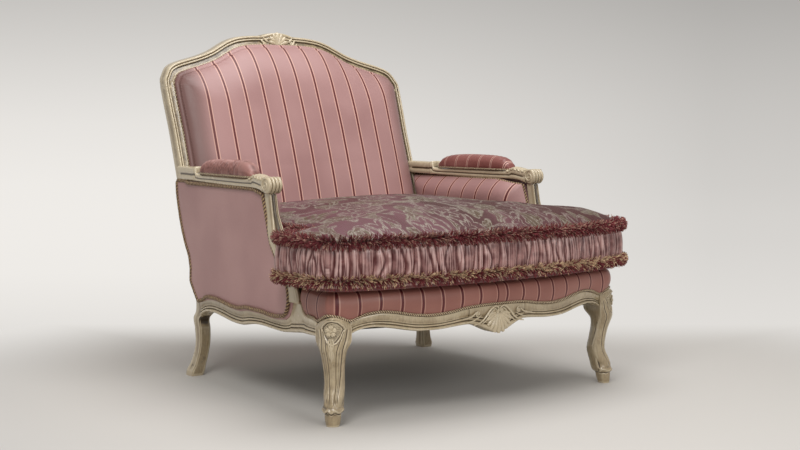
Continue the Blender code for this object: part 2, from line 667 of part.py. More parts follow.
def make_arm_post(name, side, material):
    """The curved support between the side rail's spur and the scroll, hollowed in front."""
    rings = []
    middle = sum(post_sides()) / 2
    for row in POST_SHARES:
        z = blend(POST_JOINT_Z + GAP, POST_TOP_Z, row[0])
        front, rear = post_edges(z)
        x0, x1 = middle - row[3] * POST_WIDTH / 2, middle + row[3] * POST_WIDTH / 2
        cut = row[3] * POST_WIDTH / 6
        rings.append([
            Vector((x0, rear, z)), Vector((x0, front + cut, z)), Vector((x0 + cut, front, z)),
            Vector((middle, front + cut / 2, z)), Vector((x1 - cut, front, z)), Vector((x1, front + cut, z)),
            Vector((x1, rear, z)),
        ])
    return loft(name, [mirrored(ring, side) for ring in rings], material)


def post_sides():
    """Return the inner and outer faces of the arm post."""
    return ARM_FRONT_HALF - POST_WIDTH / 2, ARM_FRONT_HALF + POST_WIDTH / 2


def crowned_pad(name, outline, front, rear, crown, material):
    """A stuffed pad inside a closed outline: crowned in front and flat behind."""
    count = len(outline)
    middle = (sum(p[0] for p in outline) / count, sum(p[1] for p in outline) / count)

    def drawn_in(reach):
        return [(blend(middle[0], p[0], reach), blend(middle[1], p[1], reach)) for p in outline]

    rings = [[rear(u, v) for u, v in drawn_in(reach)] for reach in BACKING_SHARES]
    for reach, height in CROWN_SHARES:
        rings.append([front(u, v, crown * height) for u, v in drawn_in(reach)])
    return loft(name, rings, material)


def make_inside_back(name, material):
    """The stuffed inside back, which stands proud of the frame."""
    outline = back_opening(3 * GAP, STAY_RAIL_Z + STAY_RAIL_HEIGHT / 2 + GAP)
    return crowned_pad(
        name, outline,
        lambda x, z, height: back_point(x, z, BACK_REBATE / 3 - height * blend(
            BACK_FOOT_SHARE, 1.0, (z - STAY_RAIL_Z) / BACK_FOOT_RISE)),
        lambda x, z: back_point(x, z, BACK_REBATE),
        BACK_CROWN, material,
    )


def make_outside_back(name, material):
    """The fabric panel that closes the rear of the back, down to the rear seat rail."""
    outline = back_opening(3 * GAP, SEAT_FRAME_Z - REAR_RAIL_HEIGHT)
    return crowned_pad(
        name, outline,
        lambda x, z, height: back_point(x, z, back_depth(z) - PANEL_THICK / 2 + height),
        lambda x, z: back_point(x, z, back_depth(z) - PANEL_THICK * 1.5),
        PANEL_CROWN, material,
    )


def side_outline():
    """Return the (y, z) outline of the outer arm panel, from the lower rear corner forward."""
    low_y = BLOCK_REAR_Y + SIDE_RAIL_LENGTH * SPUR_END_SHARE
    points = []
    for i in range(PANEL_LOW_STEPS + 1):
        y = blend(SEAT_FRONT_OF_BACK_Y - GAP, low_y, i / PANEL_LOW_STEPS)
        share = (y - BLOCK_REAR_Y) / SIDE_RAIL_LENGTH
        points.append((y, side_rail_edges(share)[0] + 2 * GAP))
    for share in SPUR_ROUND_SHARES:
        y = BLOCK_REAR_Y + SIDE_RAIL_LENGTH * share
        points.append((y + 2 * GAP, side_rail_edges(share)[0] + 2 * GAP))
    top = ARM_UNDER_Z - 2 * GAP
    for row in POST_SHARES[1:-1]:
        z = blend(POST_JOINT_Z, POST_TOP_Z, row[0])
        points.append((post_edges(z)[1] + 2 * GAP, z))
    front_top = post_edges(POST_TOP_Z)[1] + SCROLL_RADIUS / 3
    points.append((front_top, POST_TOP_Z))
    rear_top = back_front_y(ARM_REAR_HALF, top) + back_depth(top)
    for share in (0.1, 0.3, 0.5, 0.7, 0.85, 1.0):
        points.append((blend(front_top, rear_top, share), top))
    for i in range(1, PANEL_END_STEPS):
        z = blend(top, SEAT_FRAME_Z + RAIL_WAVE / 10, i / PANEL_END_STEPS)
        points.append((back_front_y(ARM_REAR_HALF, z) + back_depth(z), z))
    return points


def outer_panel_x(y):
    """Return the outer panel's plane at a depth."""
    front, rear = post_edges(POST_JOINT_Z)[1], REAR_LEG_Y + BACK_RAKE * (ARM_UNDER_Z - SEAT_FRAME_Z)
    return blend(OUTER_FRONT_HALF, OUTER_REAR_HALF, (y - front) / (rear - front))


def make_outside_arm(name, side, material):
    """The plain fabric panel on the outer side of the arm."""
    return crowned_pad(
        name, side_outline(),
        lambda y, z, height: Vector((side * (outer_panel_x(y) + height), y, z)),
        lambda y, z: Vector((side * (outer_panel_x(y) - PANEL_THICK / 2), y, z)),
        PANEL_CROWN, material,
    )


def inner_outline():
    """Return the (y, z) outline of the inner arm pad, from the lower rear corner forward."""
    low, top = DECK_TOP_Z + DECK_CROWN + GAP, ARM_UNDER_Z - 2 * GAP
    front_low = post_edges(low)[1] + 2 * GAP
    rear_low = back_front_y(BACK_HALF_WIDTH, low) - 2 * GAP
    points = [(blend(rear_low, front_low, i / 6), low) for i in range(7)]
    for row in POST_SHARES[:-1]:
        z = blend(POST_JOINT_Z, POST_TOP_Z, row[0])
        if z > low + GAP:
            points.append((post_edges(z)[1] + 2 * GAP, z))
    front_top = post_edges(POST_TOP_Z)[1] + SCROLL_RADIUS / 3
    points.append((front_top, POST_TOP_Z))
    rear_top = back_front_y(BACK_HALF_WIDTH, top) - 2 * GAP
    points += [(blend(front_top, rear_top, i / 5), top) for i in range(1, 6)]
    points += [
        (back_front_y(BACK_HALF_WIDTH, z) - 2 * GAP, z)
        for z in (blend(top, low, i / 5) for i in range(1, 5))
    ]
    return points


def inner_arm_x(z):
    """Return the inner arm's plane at a height: it leans outward as it rises."""
    rise = (z - DECK_TOP_Z) / (ARM_UNDER_Z - DECK_TOP_Z)
    return INNER_ARM_HALF + INNER_ARM_FLARE * rise * rise


def make_inside_arm(name, side, material):
    """The stuffed inner side of the arm."""
    return crowned_pad(
        name, inner_outline(),
        lambda y, z, height: Vector((side * (inner_arm_x(z) - height), y, z)),
        lambda y, z: Vector((side * (inner_arm_x(z) + INNER_ARM_THICK), y, z)),
        INNER_ARM_CROWN, material,
    )


def arm_pad_places():
    """Return the front and rear ends of the arm pad along the arm."""
    rear_y = back_front_y(ARM_REAR_HALF, ARM_UNDER_Z)
    block_y = blend(rear_y, SCROLL_Y, ARM_BLOCK_SHARE)
    return SCROLL_Y + ARM_PAD_START, block_y - ARM_PAD_REAR_GAP


def make_arm_pad(name, side, material):
    """The small padded rest on top of the arm, with rounded ends."""
    start, end = arm_pad_places()
    base = ARM_UNDER_Z + ARM_THICK * 1.02 + GAP
    rings = []
    for place, width, height in ARM_PAD_SHARES:
        y = blend(start, end, place)
        centre, half, rise = arm_centre(y), width * ARM_PAD_WIDTH / 2, height * ARM_PAD_HEIGHT
        rings.append([
            Vector((centre + u * half, y, base + v * rise)) for u, v in ARM_PAD_SECTION_SHARES
        ])
    return loft(name, [mirrored(ring, side) for ring in rings], material)


def trim_rings(path, side_of, out_of, width=TRIM_WIDTH, thick=TRIM_THICK):
    """Return the rings of a flat-backed cord laid along a path on a surface."""
    rings = []
    for i, point in enumerate(path):
        across, out = side_of(i), out_of(i)
        half = width / 2
        rings.append([
            point + out * GAP - across * half, point + out * (GAP + thick * 0.7) - across * half * 0.7,
            point + out * (GAP + thick), point + out * (GAP + thick * 0.7) + across * half * 0.7,
            point + out * GAP + across * half,
        ])
    return rings


def make_trim(name, path, out, material, closed=False, width=TRIM_WIDTH):
    """A decorative cord along a path; out gives the surface's outward direction at each point."""
    count = len(path)

    def across(i):
        before = path[(i - 1) % count] if closed else path[max(i - 1, 0)]
        after = path[(i + 1) % count] if closed else path[min(i + 1, count - 1)]
        return (after - before).normalized().cross(out(i)).normalized()

    return loft(name, trim_rings(path, across, out, width), material, closed)


def inset_outline(outline, distance):
    """Return a closed outline moved inwards by a distance."""
    count = len(outline)
    area = sum(
        outline[i][0] * outline[(i + 1) % count][1] - outline[(i + 1) % count][0] * outline[i][1]
        for i in range(count)
    )
    turn = 1 if area > 0 else -1
    moved = []
    for i in range(count):
        a, b = outline[i - 1], outline[(i + 1) % count]
        along = Vector((b[0] - a[0], b[1] - a[1])).normalized()
        moved.append((outline[i][0] - turn * along[1] * distance, outline[i][1] + turn * along[0] * distance))
    return moved


def deck_outline():
    """Return the seat deck's lower outline: (x, y, z, bulge share), right half from front to rear."""
    points = []
    for share in DECK_FRONT_SHARES:
        x = share * BLOCK_INNER_X
        points.append((x, front_rail_face(x) + RAIL_THICK * 0.3, front_rail_edges(x)[0] + 2 * GAP, 1.0))
    corner_z = SEAT_FRAME_Z + BLOCK_ABOVE + BLOCK_DOME + GAP
    points.append((BLOCK_INNER_X, BLOCK_FRONT_Y + BLOCK_DOME, corner_z, 1.0))
    points.append((LEG_SPAN_HALF, BLOCK_FRONT_Y + BLOCK_DOME * 1.4, corner_z, 1.0))
    outer = LEG_SPAN_HALF + BLOCK_WIDTH / 2 - BLOCK_DOME
    points.append((outer, FRONT_LEG_Y, corner_z, 0.8))
    points.append((side_outer(BLOCK_REAR_Y) - RAIL_THICK * 0.3, BLOCK_REAR_Y, corner_z, 0.6))
    post_front = post_edges(POST_JOINT_Z)[0] - SPUR_DEPTH / 5
    spur_top = POST_JOINT_Z + 2 * GAP
    behind_block = BLOCK_REAR_Y + BLOCK_DOME
    rail_top = side_rail_edges((behind_block - BLOCK_REAR_Y) / SIDE_RAIL_LENGTH)[0]
    for y, z, bulge in ((behind_block, rail_top + RAIL_WAVE * 0.14, 0.5), (post_front, spur_top, 0.0)):
        points.append((side_outer(y) - RAIL_THICK * 0.3, y, z, bulge))
    inner = post_sides()[0] - RAIL_THICK * 0.7
    rear = back_front_y(BACK_HALF_WIDTH, spur_top) - 2 * GAP
    points.append((inner, post_front, spur_top, 0.0))
    for share in DECK_SIDE_SHARES:
        y = blend(post_front, rear, share)
        points.append((blend(inner, INNER_ARM_HALF, share), y, spur_top, 0.0))
    for share in DECK_REAR_SHARES:
        points.append((share * INNER_ARM_HALF, rear, spur_top, 0.0))
    return points


def both_halves(points):
    """Close a right-hand half outline whose ends lie on the middle plane."""
    left = [(-p[0], *p[1:]) for p in reversed(points[1:-1])]
    return points + left


def deck_ring(flat, share, z):
    """Return a level ring of the deck, drawn towards the middle of its plan."""
    middle_y = (min(y for x, y in flat) + max(y for x, y in flat)) / 2
    return [Vector((x * share, blend(middle_y, y, share), z)) for x, y in flat]


def make_deck(name, material):
    """The stuffed seat deck that the loose cushion lies on."""
    outline = both_halves(deck_outline())
    flat = [(p[0], p[1]) for p in outline]
    rings = []
    rings.append(deck_ring(flat, DECK_SEAM_SHARE, DECK_BASE_Z))
    rings.append([Vector((p[0], p[1], p[2])) for p in outline])
    outward = inset_outline(flat, -DECK_BULGE)
    for rise in (0.35, 0.75):
        swell = sin(pi * blend(0.35, 1.0, rise) * 0.72)
        rings.append([
            Vector((
                blend(p[0], q[0], swell * p[3]), blend(p[1], q[1], swell * p[3]),
                blend(p[2], DECK_TOP_Z, rise),
            ))
            for p, q in zip(outline, outward)
        ])
    rings.append([Vector((x, y, DECK_TOP_Z)) for x, y in inset_outline(flat, DECK_BULGE / 2)])
    rings.append(deck_ring(flat, DECK_CROWN_SHARE, DECK_TOP_Z + DECK_CROWN))
    return loft(name, rings, material)


def cushion_outline(inset):
    """Return the T-shaped plan of the cushion, right half from front to rear, moved in by an inset."""
    ear_x, body_x = CUSHION_EAR_HALF, CUSHION_BODY_HALF
    front_y = front_rail_face(0.0) - CUSHION_FRONT_REACH + RAIL_THICK
    corner_y = BLOCK_FRONT_Y - CUSHION_FRONT_REACH / 4
    ear_y = post_edges(DECK_TOP_Z + GAP)[0] - CUSHION_EAR_GAP
    rear_y = back_front_y(0.0, DECK_TOP_Z) - CUSHION_REAR_GAP
    bow = front_y - corner_y
    points = [
        (ear_x * s, front_y - bow * s * s * CUSHION_BOW_SHARE) for s in CUSHION_FRONT_SHARES
    ]
    corner = (ear_x - CUSHION_CORNER_RADIUS, corner_y + CUSHION_FRONT_REACH * CUSHION_BOW_SHARE)
    points += [
        (corner[0] + CUSHION_CORNER_RADIUS * sin(a * pi / 2),
         corner[1] - CUSHION_CORNER_RADIUS * cos(a * pi / 2) * CUSHION_CORNER_SHARE)
        for a in CUSHION_TURN_SHARES
    ]
    ear_round = CUSHION_EAR_GAP
    points.append((ear_x, (corner[1] + ear_y) / 2))
    points.append((ear_x - ear_round / 4, ear_y - ear_round))
    points.append((ear_x - ear_round, ear_y))
    points.append((body_x + CUSHION_EAR_GAP, ear_y))
    points.append((body_x, ear_y + CUSHION_EAR_GAP * 1.6))
    waist = CUSHION_EAR_GAP / 3
    points += [(body_x - waist * sin(pi * s), blend(ear_y, rear_y, s)) for s in CUSHION_SIDE_SHARES]
    points.append((body_x - waist, rear_y - CUSHION_EAR_GAP))
    points.append((body_x - CUSHION_EAR_GAP * 1.6, rear_y))
    points += [(body_x * s, rear_y) for s in CUSHION_REAR_SHARES]
    whole = both_halves(points)
    return inset_outline(whole, inset) if inset else whole


def plan_ring(inset, z):
    """Return a level ring of the cushion's plan."""
    return [Vector((x, y, z)) for x, y in cushion_outline(inset)]


def cushion_levels():
    """Return the heights of the cushion: bottom, top of the slab, top of the crown."""
    bottom = DECK_TOP_Z + DECK_CROWN + GAP
    return bottom, bottom + CUSHION_SLAB, bottom + CUSHION_SLAB + CUSHION_CROWN


def make_cushion(parts_root):
    """The loose cushion: a filled slab, its bottom cloth, band, crowned top and two fringes."""
    bottom, slab, top = cushion_levels()
    band, cloth = CUSHION_BAND_THICK, CLOTH_THICK
    pieces = [
        loft("cushion_bottom_cover", [plan_ring(band, bottom), plan_ring(band, bottom + cloth)],
             finish("cushion_lining", SATIN_COLOUR, 0.6)),
        loft("cushion_core", [plan_ring(band + GAP, bottom + cloth + GAP), plan_ring(band + GAP, slab)],
             finish("cushion_filling", FOAM_COLOUR, 0.9)),
        loft("cushion_band", [
            plan_ring(band, bottom + cloth + GAP), plan_ring(0.0, bottom + cloth + GAP),
            plan_ring(-band / 3, (bottom + slab) / 2), plan_ring(0.0, slab), plan_ring(band, slab),
        ], finish("ruched_satin", BAND_COLOUR, 0.45), closed=True),
    ]
    crown = top - slab
    rings = [crown_ring(reach * crown, slab + GAP + crown * rise) for reach, rise in CUSHION_CROWN_SHARES]
    pieces.append(loft("cushion_top", rings, finish("brocade", BROCADE_COLOUR, 0.6)))
    for name, low, height in (
        ("cushion_fringe_lower", bottom, FRINGE_HEIGHT),
        ("cushion_fringe_upper", slab - FRINGE_UPPER_HEIGHT / 8, FRINGE_UPPER_HEIGHT * 0.8),
    ):
        near = 2 * GAP + (band / 3 if low == bottom else 0.0)
        rings = [
            plan_ring(-2 * GAP, low), plan_ring(-FRINGE_REACH, low),
            plan_ring(-FRINGE_REACH, low + height * 0.6), plan_ring(-near, low + height),
        ]
        pieces.append(loft(name, rings, finish(name + "_yarn", FRINGE_COLOUR, 0.9), closed=True))
    for piece in pieces:
        piece.parent = parts_root


def crown_ring(inset, z):
    """Return a ring of the cushion's crown, drawn towards its middle rather than inset evenly."""
    drawn = min(inset, CUSHION_EAR_GAP)
    outline = cushion_outline(drawn)
    count = len(outline)
    middle = (sum(p[0] for p in outline) / count, sum(p[1] for p in outline) / count)
    reach = min(max(p[0] for p in outline), max(p[1] for p in outline))
    share = max(1.0 - (inset - drawn) / reach, 0.1)
    return [
        Vector((middle[0] + (x - middle[0]) * share, middle[1] + (y - middle[1]) * share, z))
        for x, y in outline
    ]


def helix(radius, turns, low, high, per_turn):
    """Return the points of a coil between two heights."""
    count = turns * per_turn
    return [
        (radius * cos(tau * i / per_turn), radius * sin(tau * i / per_turn), blend(low, high, i / count))
        for i in range(count + 1)
    ]


def make_springs(material):
    """Nine coil springs, three by three, between the webbing and the spring cloth."""
    low = WEB_Z + 2 * WEB_THICK + 2 * GAP + SPRING_WIRE
    high = DECK_BASE_Z - CLOTH_THICK - 2 * GAP - SPRING_WIRE
    for column, x in enumerate(web_places_across()):
        for row, y in enumerate(web_places_deep()):
            name = "seat_spring_" + str(3 * row + column + 1)
            data = bpy.data.curves.new(name, "CURVE")
            data.dimensions = "3D"
            data.bevel_depth = SPRING_WIRE
            data.bevel_resolution = 0
            data.use_fill_caps = True
            points = helix(SPRING_RADIUS, SPRING_TURNS, low, high, 8)
            spline = data.splines.new("POLY")
            spline.points.add(len(points) - 1)
            for target, point in zip(spline.points, points):
                target.co = (*point, 1)
            data.materials.append(material)
            item = bpy.data.objects.new(name, data)
            item.location = (x, y, 0)
            bpy.context.collection.objects.link(item)


def web_places_across():
    """Return the three places of webbing across the seat."""
    half = REAR_SPAN_HALF - REAR_LEG_WIDTH
    return [half * share for share in (-0.6, 0.0, 0.6)]


def web_places_deep():
    """Return the three places of webbing from front to rear."""
    return [blend(BLOCK_REAR_Y, SEAT_FRONT_OF_BACK_Y, share) for share in (0.18, 0.5, 0.82)]


def make_webbing(material):
    """Jute straps: three from front to rear, and three across over them."""
    rear = rear_rail_front() - GAP
    for number, x in enumerate(web_places_across(), 1):
        edges = (x - WEB_WIDTH / 2, x + WEB_WIDTH / 2)
        front = max(front_rail_face(edge) for edge in edges) + RAIL_THICK + GAP
        strap = box_rings((edges[0], front, WEB_Z), (edges[1], rear, WEB_Z + WEB_THICK))
        loft("seat_webbing_lengthwise_" + str(number), strap, material)
    for number, y in enumerate(web_places_deep(), 1):
        edges = (y - WEB_WIDTH / 2, y + WEB_WIDTH / 2)
        half = min(side_rail_inner(edge) for edge in edges) - GAP
        low = WEB_Z + WEB_THICK + GAP
        strap = box_rings((-half, edges[0], low), (half, edges[1], low + WEB_THICK))
        loft("seat_webbing_crosswise_" + str(number), strap, material)


def seat_plan(margin):
    """Return the plan inside the seat rails, right half from front to rear."""
    points = [
        (s * BLOCK_INNER_X, front_rail_face(s * BLOCK_INNER_X) + RAIL_THICK + margin)
        for s in (0.0, 0.25, 0.5, 0.75, 0.9)
    ]
    points.append((BLOCK_INNER_X - margin, front_rail_face(BLOCK_INNER_X) + RAIL_THICK + margin))
    points.append((BLOCK_INNER_X - margin, BLOCK_REAR_Y + margin))
    for share in (0.2, 0.4, 0.6, 0.8, 0.95):
        y = BLOCK_REAR_Y + share * SIDE_RAIL_LENGTH
        points.append((min(side_outer(y) + TRIM_THICK / 3 - RAIL_THICK, BLOCK_INNER_X) - margin, y))
    inner = REAR_SPAN_HALF - REAR_LEG_WIDTH / 2 - margin
    points.append((inner, SEAT_FRONT_OF_BACK_Y - margin))
    rear = rear_rail_front() - margin
    points.append((inner, rear))
    points.append((0.0, rear))
    return both_halves(points)


def make_seat_cloths(hessian, lining):
    """The spring cloth over the springs and the dust cover under the seat."""
    deck = [(p[0], p[1]) for p in both_halves(deck_outline())]
    low = DECK_BASE_Z - CLOTH_THICK - GAP
    cloth = [deck_ring(deck, DECK_SEAM_SHARE * 0.98, z) for z in (low, low + CLOTH_THICK)]
    loft("spring_cloth", cloth, hessian)
    plan = seat_plan(GAP * 2)
    cover = [[Vector((x, y, z)) for x, y in plan] for z in (DUST_COVER_Z, DUST_COVER_Z + CLOTH_THICK)]
    loft("dust_cover", cover, lining)


def make_corner_blocks(wood, brass):
    """A glue block in each corner of the seat frame, and its screw."""
    low, high = CORNER_BLOCK_Z - CORNER_BLOCK_HEIGHT / 2, CORNER_BLOCK_Z + CORNER_BLOCK_HEIGHT / 2
    for side, name in ((-1, "left"), (1, "right")):
        for end, plan in (("front", front_block_plan()), ("rear", rear_block_plan())):
            rings = [mirrored([(x, y, z) for x, y in plan], side) for z in (low, high)]
            loft("corner_block_" + end + "_" + name, rings, wood)
            a, b = Vector(plan[0]), Vector(plan[-1])
            along = (b - a).normalized()
            out = Vector((-along[1], along[0]))
            if out[0] * (LEG_SPAN_HALF - a[0]) > 0:
                out = -out
            spot = a.lerp(b, 0.5) + out * GAP
            head = [
                mirrored(screw_ring(spot + out * depth, along, radius), side)
                for depth, radius in ((0.0, SCREW_HEAD), (SCREW_HEAD_THICK, SCREW_HEAD * 0.7))
            ]
            loft("corner_block_screw_" + end + "_" + name, head, brass)


def screw_ring(centre, along, radius):
    """Return one ring of a screw head that lies against an upright face."""
    return [
        (centre[0] + along[0] * radius * cos(tau * i / 8), centre[1] + along[1] * radius * cos(tau * i / 8),
         CORNER_BLOCK_Z + radius * sin(tau * i / 8))
        for i in range(8)
    ]


def front_block_plan():
    """Return the plan of a front corner block, fitted round the leg's inner corner."""
    near_x = BLOCK_INNER_X - CORNER_BLOCK_REACH
    far_y = BLOCK_REAR_Y + CORNER_BLOCK_REACH
    return [
        (near_x, front_rail_face(near_x) + RAIL_THICK + GAP),
        (BLOCK_INNER_X - GAP, front_rail_face(BLOCK_INNER_X) + RAIL_THICK + GAP),
        (BLOCK_INNER_X - GAP, BLOCK_REAR_Y + GAP),
        (side_rail_inner(BLOCK_REAR_Y) - GAP, BLOCK_REAR_Y + GAP),
        (side_rail_inner(far_y) - GAP, far_y),
    ]


def rear_block_plan():
    """Return the plan of a rear corner block, fitted round the leg's inner corner."""
    rear = rear_rail_front() - GAP
    leg_x = REAR_SPAN_HALF - REAR_LEG_WIDTH / 2 - GAP
    near_x = leg_x - CORNER_BLOCK_REACH
    far_y = SEAT_FRONT_OF_BACK_Y - CORNER_BLOCK_REACH
    return [
        (near_x, rear), (leg_x, rear), (leg_x, SEAT_FRONT_OF_BACK_Y - GAP),
        (side_rail_inner(SEAT_FRONT_OF_BACK_Y) - GAP, SEAT_FRONT_OF_BACK_Y - GAP),
        (side_rail_inner(far_y) - GAP, far_y),
    ]


def side_rail_inner(y):
    """Return the inner face of the side rail at a depth."""
    return side_outer(y) + TRIM_THICK / 3 - RAIL_THICK


def make_trims(material):
    """The decorative cords that cover the edges of the fabric."""
    front_line = offset_line(crest_outline(), BACK_FACE - TRIM_WIDTH / 2)
    heights = [z for z in reversed(upright_heights()[:-1]) if z > STAY_RAIL_Z]
    run = [(upright_outer(z) - upright_face(z) + TRIM_WIDTH / 2, z) for z in heights]
    line = [(-x, z) for x, z in reversed(run)] + front_line + run
    rearward = Vector((0, 1, -BACK_RAKE)).normalized()
    clearance = BACK_HOLLOW * TRIM_WIDTH / BACK_HALF_WIDTH
    path = [back_point(x, z, -clearance) for x, z in line]
    make_trim("gimp_inside_back", path, lambda i: -rearward, material)
    path = [back_point(x, z, back_depth(z) + 2 * GAP) for x, z in line]
    make_trim("gimp_outside_back", path, lambda i: rearward, material)
    for side, name in ((-1, "left"), (1, "right")):
        inner = inset_outline(side_outline(), TRIM_WIDTH / 2)
        path = [Vector((side * (outer_panel_x(y) + TRIM_THICK * 0.6), y, z)) for y, z in inner]
        out = Vector((side, 0, 0))
        make_trim("gimp_outside_arm_" + name, path, lambda i, out=out: out, material, closed=True)


def main():
    """Build the whole chair."""
    clear_scene()
    wood = finish("painted_wood", WOOD_COLOUR, 0.4)
    beech = finish("plain_beech", JUTE_COLOUR, 0.7)
    satin = finish("striped_satin", SATIN_COLOUR, 0.45)
    plain = finish("plain_satin", PLAIN_COLOUR, 0.5)
    trim = finish("cord_trim", TRIM_COLOUR, 0.7)
    jute = finish("jute_webbing", JUTE_COLOUR, 0.9)
    lining = finish("black_lining", LINING_COLOUR, 0.9)
    steel = finish("spring_steel", STEEL_COLOUR, 0.4, 1.0)
    brass = finish("brass_screw", BRASS_COLOUR, 0.35, 1.0)
    for side, name in ((-1, "left"), (1, "right")):
        make_front_leg("front_leg_" + name, side, wood)
        make_rear_upright("rear_upright_" + name, side, wood)
        make_side_rail("side_rail_" + name, side, wood)
        make_arm("arm_" + name, side, wood)
        make_arm_post("arm_post_" + name, side, wood)
        make_outside_arm("outside_arm_panel_" + name, side, plain)
        make_inside_arm("inside_arm_pad_" + name, side, satin)
        make_arm_pad("arm_pad_" + name, side, satin)
    make_front_rail("front_seat_rail", wood)
    make_crest_rail("crest_rail", wood)
    make_rear_rail("rear_seat_rail", wood)
    make_lower_back_rail("lower_back_rail", beech)
    make_inside_back("inside_back_pad", satin)
    make_outside_back("outside_back_panel", plain)
    make_deck("seat_deck", satin)
    make_webbing(jute)
    make_springs(steel)
    make_seat_cloths(jute, lining)
    make_corner_blocks(beech, brass)
    make_trims(trim)
    root = bpy.data.objects.new("cushion_root", None)
    bpy.context.collection.objects.link(root)
    make_cushion(root)


main()
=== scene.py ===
"""A carved and painted armchair with satin covers and a loose fringed cushion.

Every piece is set out from the lines of the carcass, in metres, +Z up, with the front at -Y.
"""
import logging
from dataclasses import dataclass
from enum import Enum
from math import atan2, cos, pi, radians, sin, sqrt, tau
from typing import Callable, ClassVar, Sequence

import bmesh
import bpy
import numpy as np
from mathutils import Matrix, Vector


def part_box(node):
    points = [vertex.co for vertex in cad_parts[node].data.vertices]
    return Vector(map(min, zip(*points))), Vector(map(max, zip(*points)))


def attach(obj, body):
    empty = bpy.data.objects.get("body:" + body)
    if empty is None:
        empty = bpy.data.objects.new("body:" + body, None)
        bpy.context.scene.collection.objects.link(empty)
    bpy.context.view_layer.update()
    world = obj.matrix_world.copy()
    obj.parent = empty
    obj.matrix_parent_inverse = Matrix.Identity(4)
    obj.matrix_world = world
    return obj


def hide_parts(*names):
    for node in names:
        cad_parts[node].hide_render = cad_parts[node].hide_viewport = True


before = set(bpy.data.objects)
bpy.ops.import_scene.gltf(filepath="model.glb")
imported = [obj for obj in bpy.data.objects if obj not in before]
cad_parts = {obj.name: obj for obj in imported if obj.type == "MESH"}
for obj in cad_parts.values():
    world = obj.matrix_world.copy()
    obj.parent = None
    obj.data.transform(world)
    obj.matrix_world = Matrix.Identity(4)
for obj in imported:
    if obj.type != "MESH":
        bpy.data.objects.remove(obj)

LOG = logging.getLogger("armchair")
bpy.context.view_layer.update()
GAP = 0.0003
TINY = 1e-12
BODY_GAP = 2 * GAP

Array = np.ndarray
Rows = Sequence[Sequence[float]]
Point = tuple[float, float, float]
Colour = tuple[float, float, float]
Socket = bpy.types.NodeSocket
Object = bpy.types.Object
Place = Callable[[float, float, float], Sequence[float]]
Cover = Callable[[Array, Array, Array], Array]
Backing = Callable[[Array, Array], Array]
Inputs = dict[str | int, object]


class Side(Enum):
    """The two sides of the chair, with the sign of X."""

    LEFT = -1
    RIGHT = 1

    @property
    def word(self) -> str:
        """The side's name, as the nodes end."""
        return self.name.lower()


def blend(low: float, high: float, share: float) -> float:
    """Mix two values.

    Args:
        low: Value at share 0.
        high: Value at share 1.
        share: Share, held between 0 and 1.

    Returns:
        The mixed value.
    """
    return low + (high - low) * min(max(share, 0.0), 1.0)


def cubic(t: Array | float, start: Array, first: Array, end: Array, last: Array) -> Array:
    """Run from one value to another in a cubic.

    Args:
        t: Share of the run.
        start: Value at share 0.
        first: Slope there.
        end: Value at share 1.
        last: Slope there.

    Returns:
        The values.
    """
    return ((2 * t**3 - 3 * t**2 + 1) * start + (t**3 - 2 * t**2 + t) * first
            + (3 * t**2 - 2 * t**3) * end + (t**3 - t**2) * last)


def between(table: Rows, place: float, column: int = 1) -> float:
    """Read a column of a table in a smooth line through its rows.

    Args:
        table: Rows whose first value rises.
        place: Where to read.
        column: Which value to read.

    Returns:
        The value there.
    """
    if place <= table[0][0]:
        return table[0][column]
    for i in range(len(table) - 1):
        low, high = table[i], table[i + 1]
        if place <= high[0]:
            before, after = table[max(i - 1, 0)], table[min(i + 2, len(table) - 1)]
            span = high[0] - low[0]
            first = (high[column] - before[column]) / (high[0] - before[0]) * span
            last = (after[column] - low[column]) / (after[0] - low[0]) * span
            return cubic((place - low[0]) / span, low[column], first, high[column], last)
    return table[-1][column]


def through(ring: Array, t: Array) -> list[Array]:
    """Run a smooth line through all points of a ring but the outer two.

    Args:
        ring: Points, one per row.
        t: Shares of a run at which it gets points, one per row.

    Returns:
        The points of each run.
    """
    runs = []
    for i in range(1, len(ring) - 2):
        a, b, c, d = ring[i - 1:i + 3]
        # The slopes are shortened to the run, so that a short run beside a long one can't loop
        size = np.linalg.norm(c - b)
        first = (c - a) * size / (np.linalg.norm(b - a) + size + TINY)
        last = (d - b) * size / (np.linalg.norm(d - c) + size + TINY)
        runs.append(cubic(t, b, first, c, last))
    return runs


def smooth_line(points: Sequence[Sequence[float]], count: int, closed: bool = False) -> Array:
    """Draw a smooth line through points and space it evenly.

    Args:
        points: Points of any dimension.
        count: How many points to return.
        closed: Whether the line runs on from its last point to its first.

    Returns:
        The points, one per row; a closed line doesn't repeat its first.
    """
    marks = np.asarray(points, float)
    if closed:
        ring = np.vstack([marks[-1], marks, marks[0], marks[1]])
    else:
        ring = np.vstack([2 * marks[0] - marks[1], marks, 2 * marks[-1] - marks[-2]])
    runs = through(ring, np.linspace(0, 1, 24, endpoint=False)[:, None])
    return evenly(np.vstack(runs + [ring[-2][None]]), count, closed)


def refine(rows: Rows, steps: int, closed: bool = False) -> Array:
    """Put points between the rows of a profile, on a smooth line that keeps its corners close.

    Args:
        rows: The profile.
        steps: Points for each run.
        closed: Whether the profile runs back to its start.

    Returns:
        The finer profile.
    """
    marks = np.asarray(rows, float)
    ring = np.vstack([marks[-1], marks, marks[:2]] if closed else [marks[0], marks, marks[-1]])
    runs = through(ring, (np.arange(steps) / steps)[:, None])
    return np.vstack(runs if closed else runs + [marks[-1][None]])


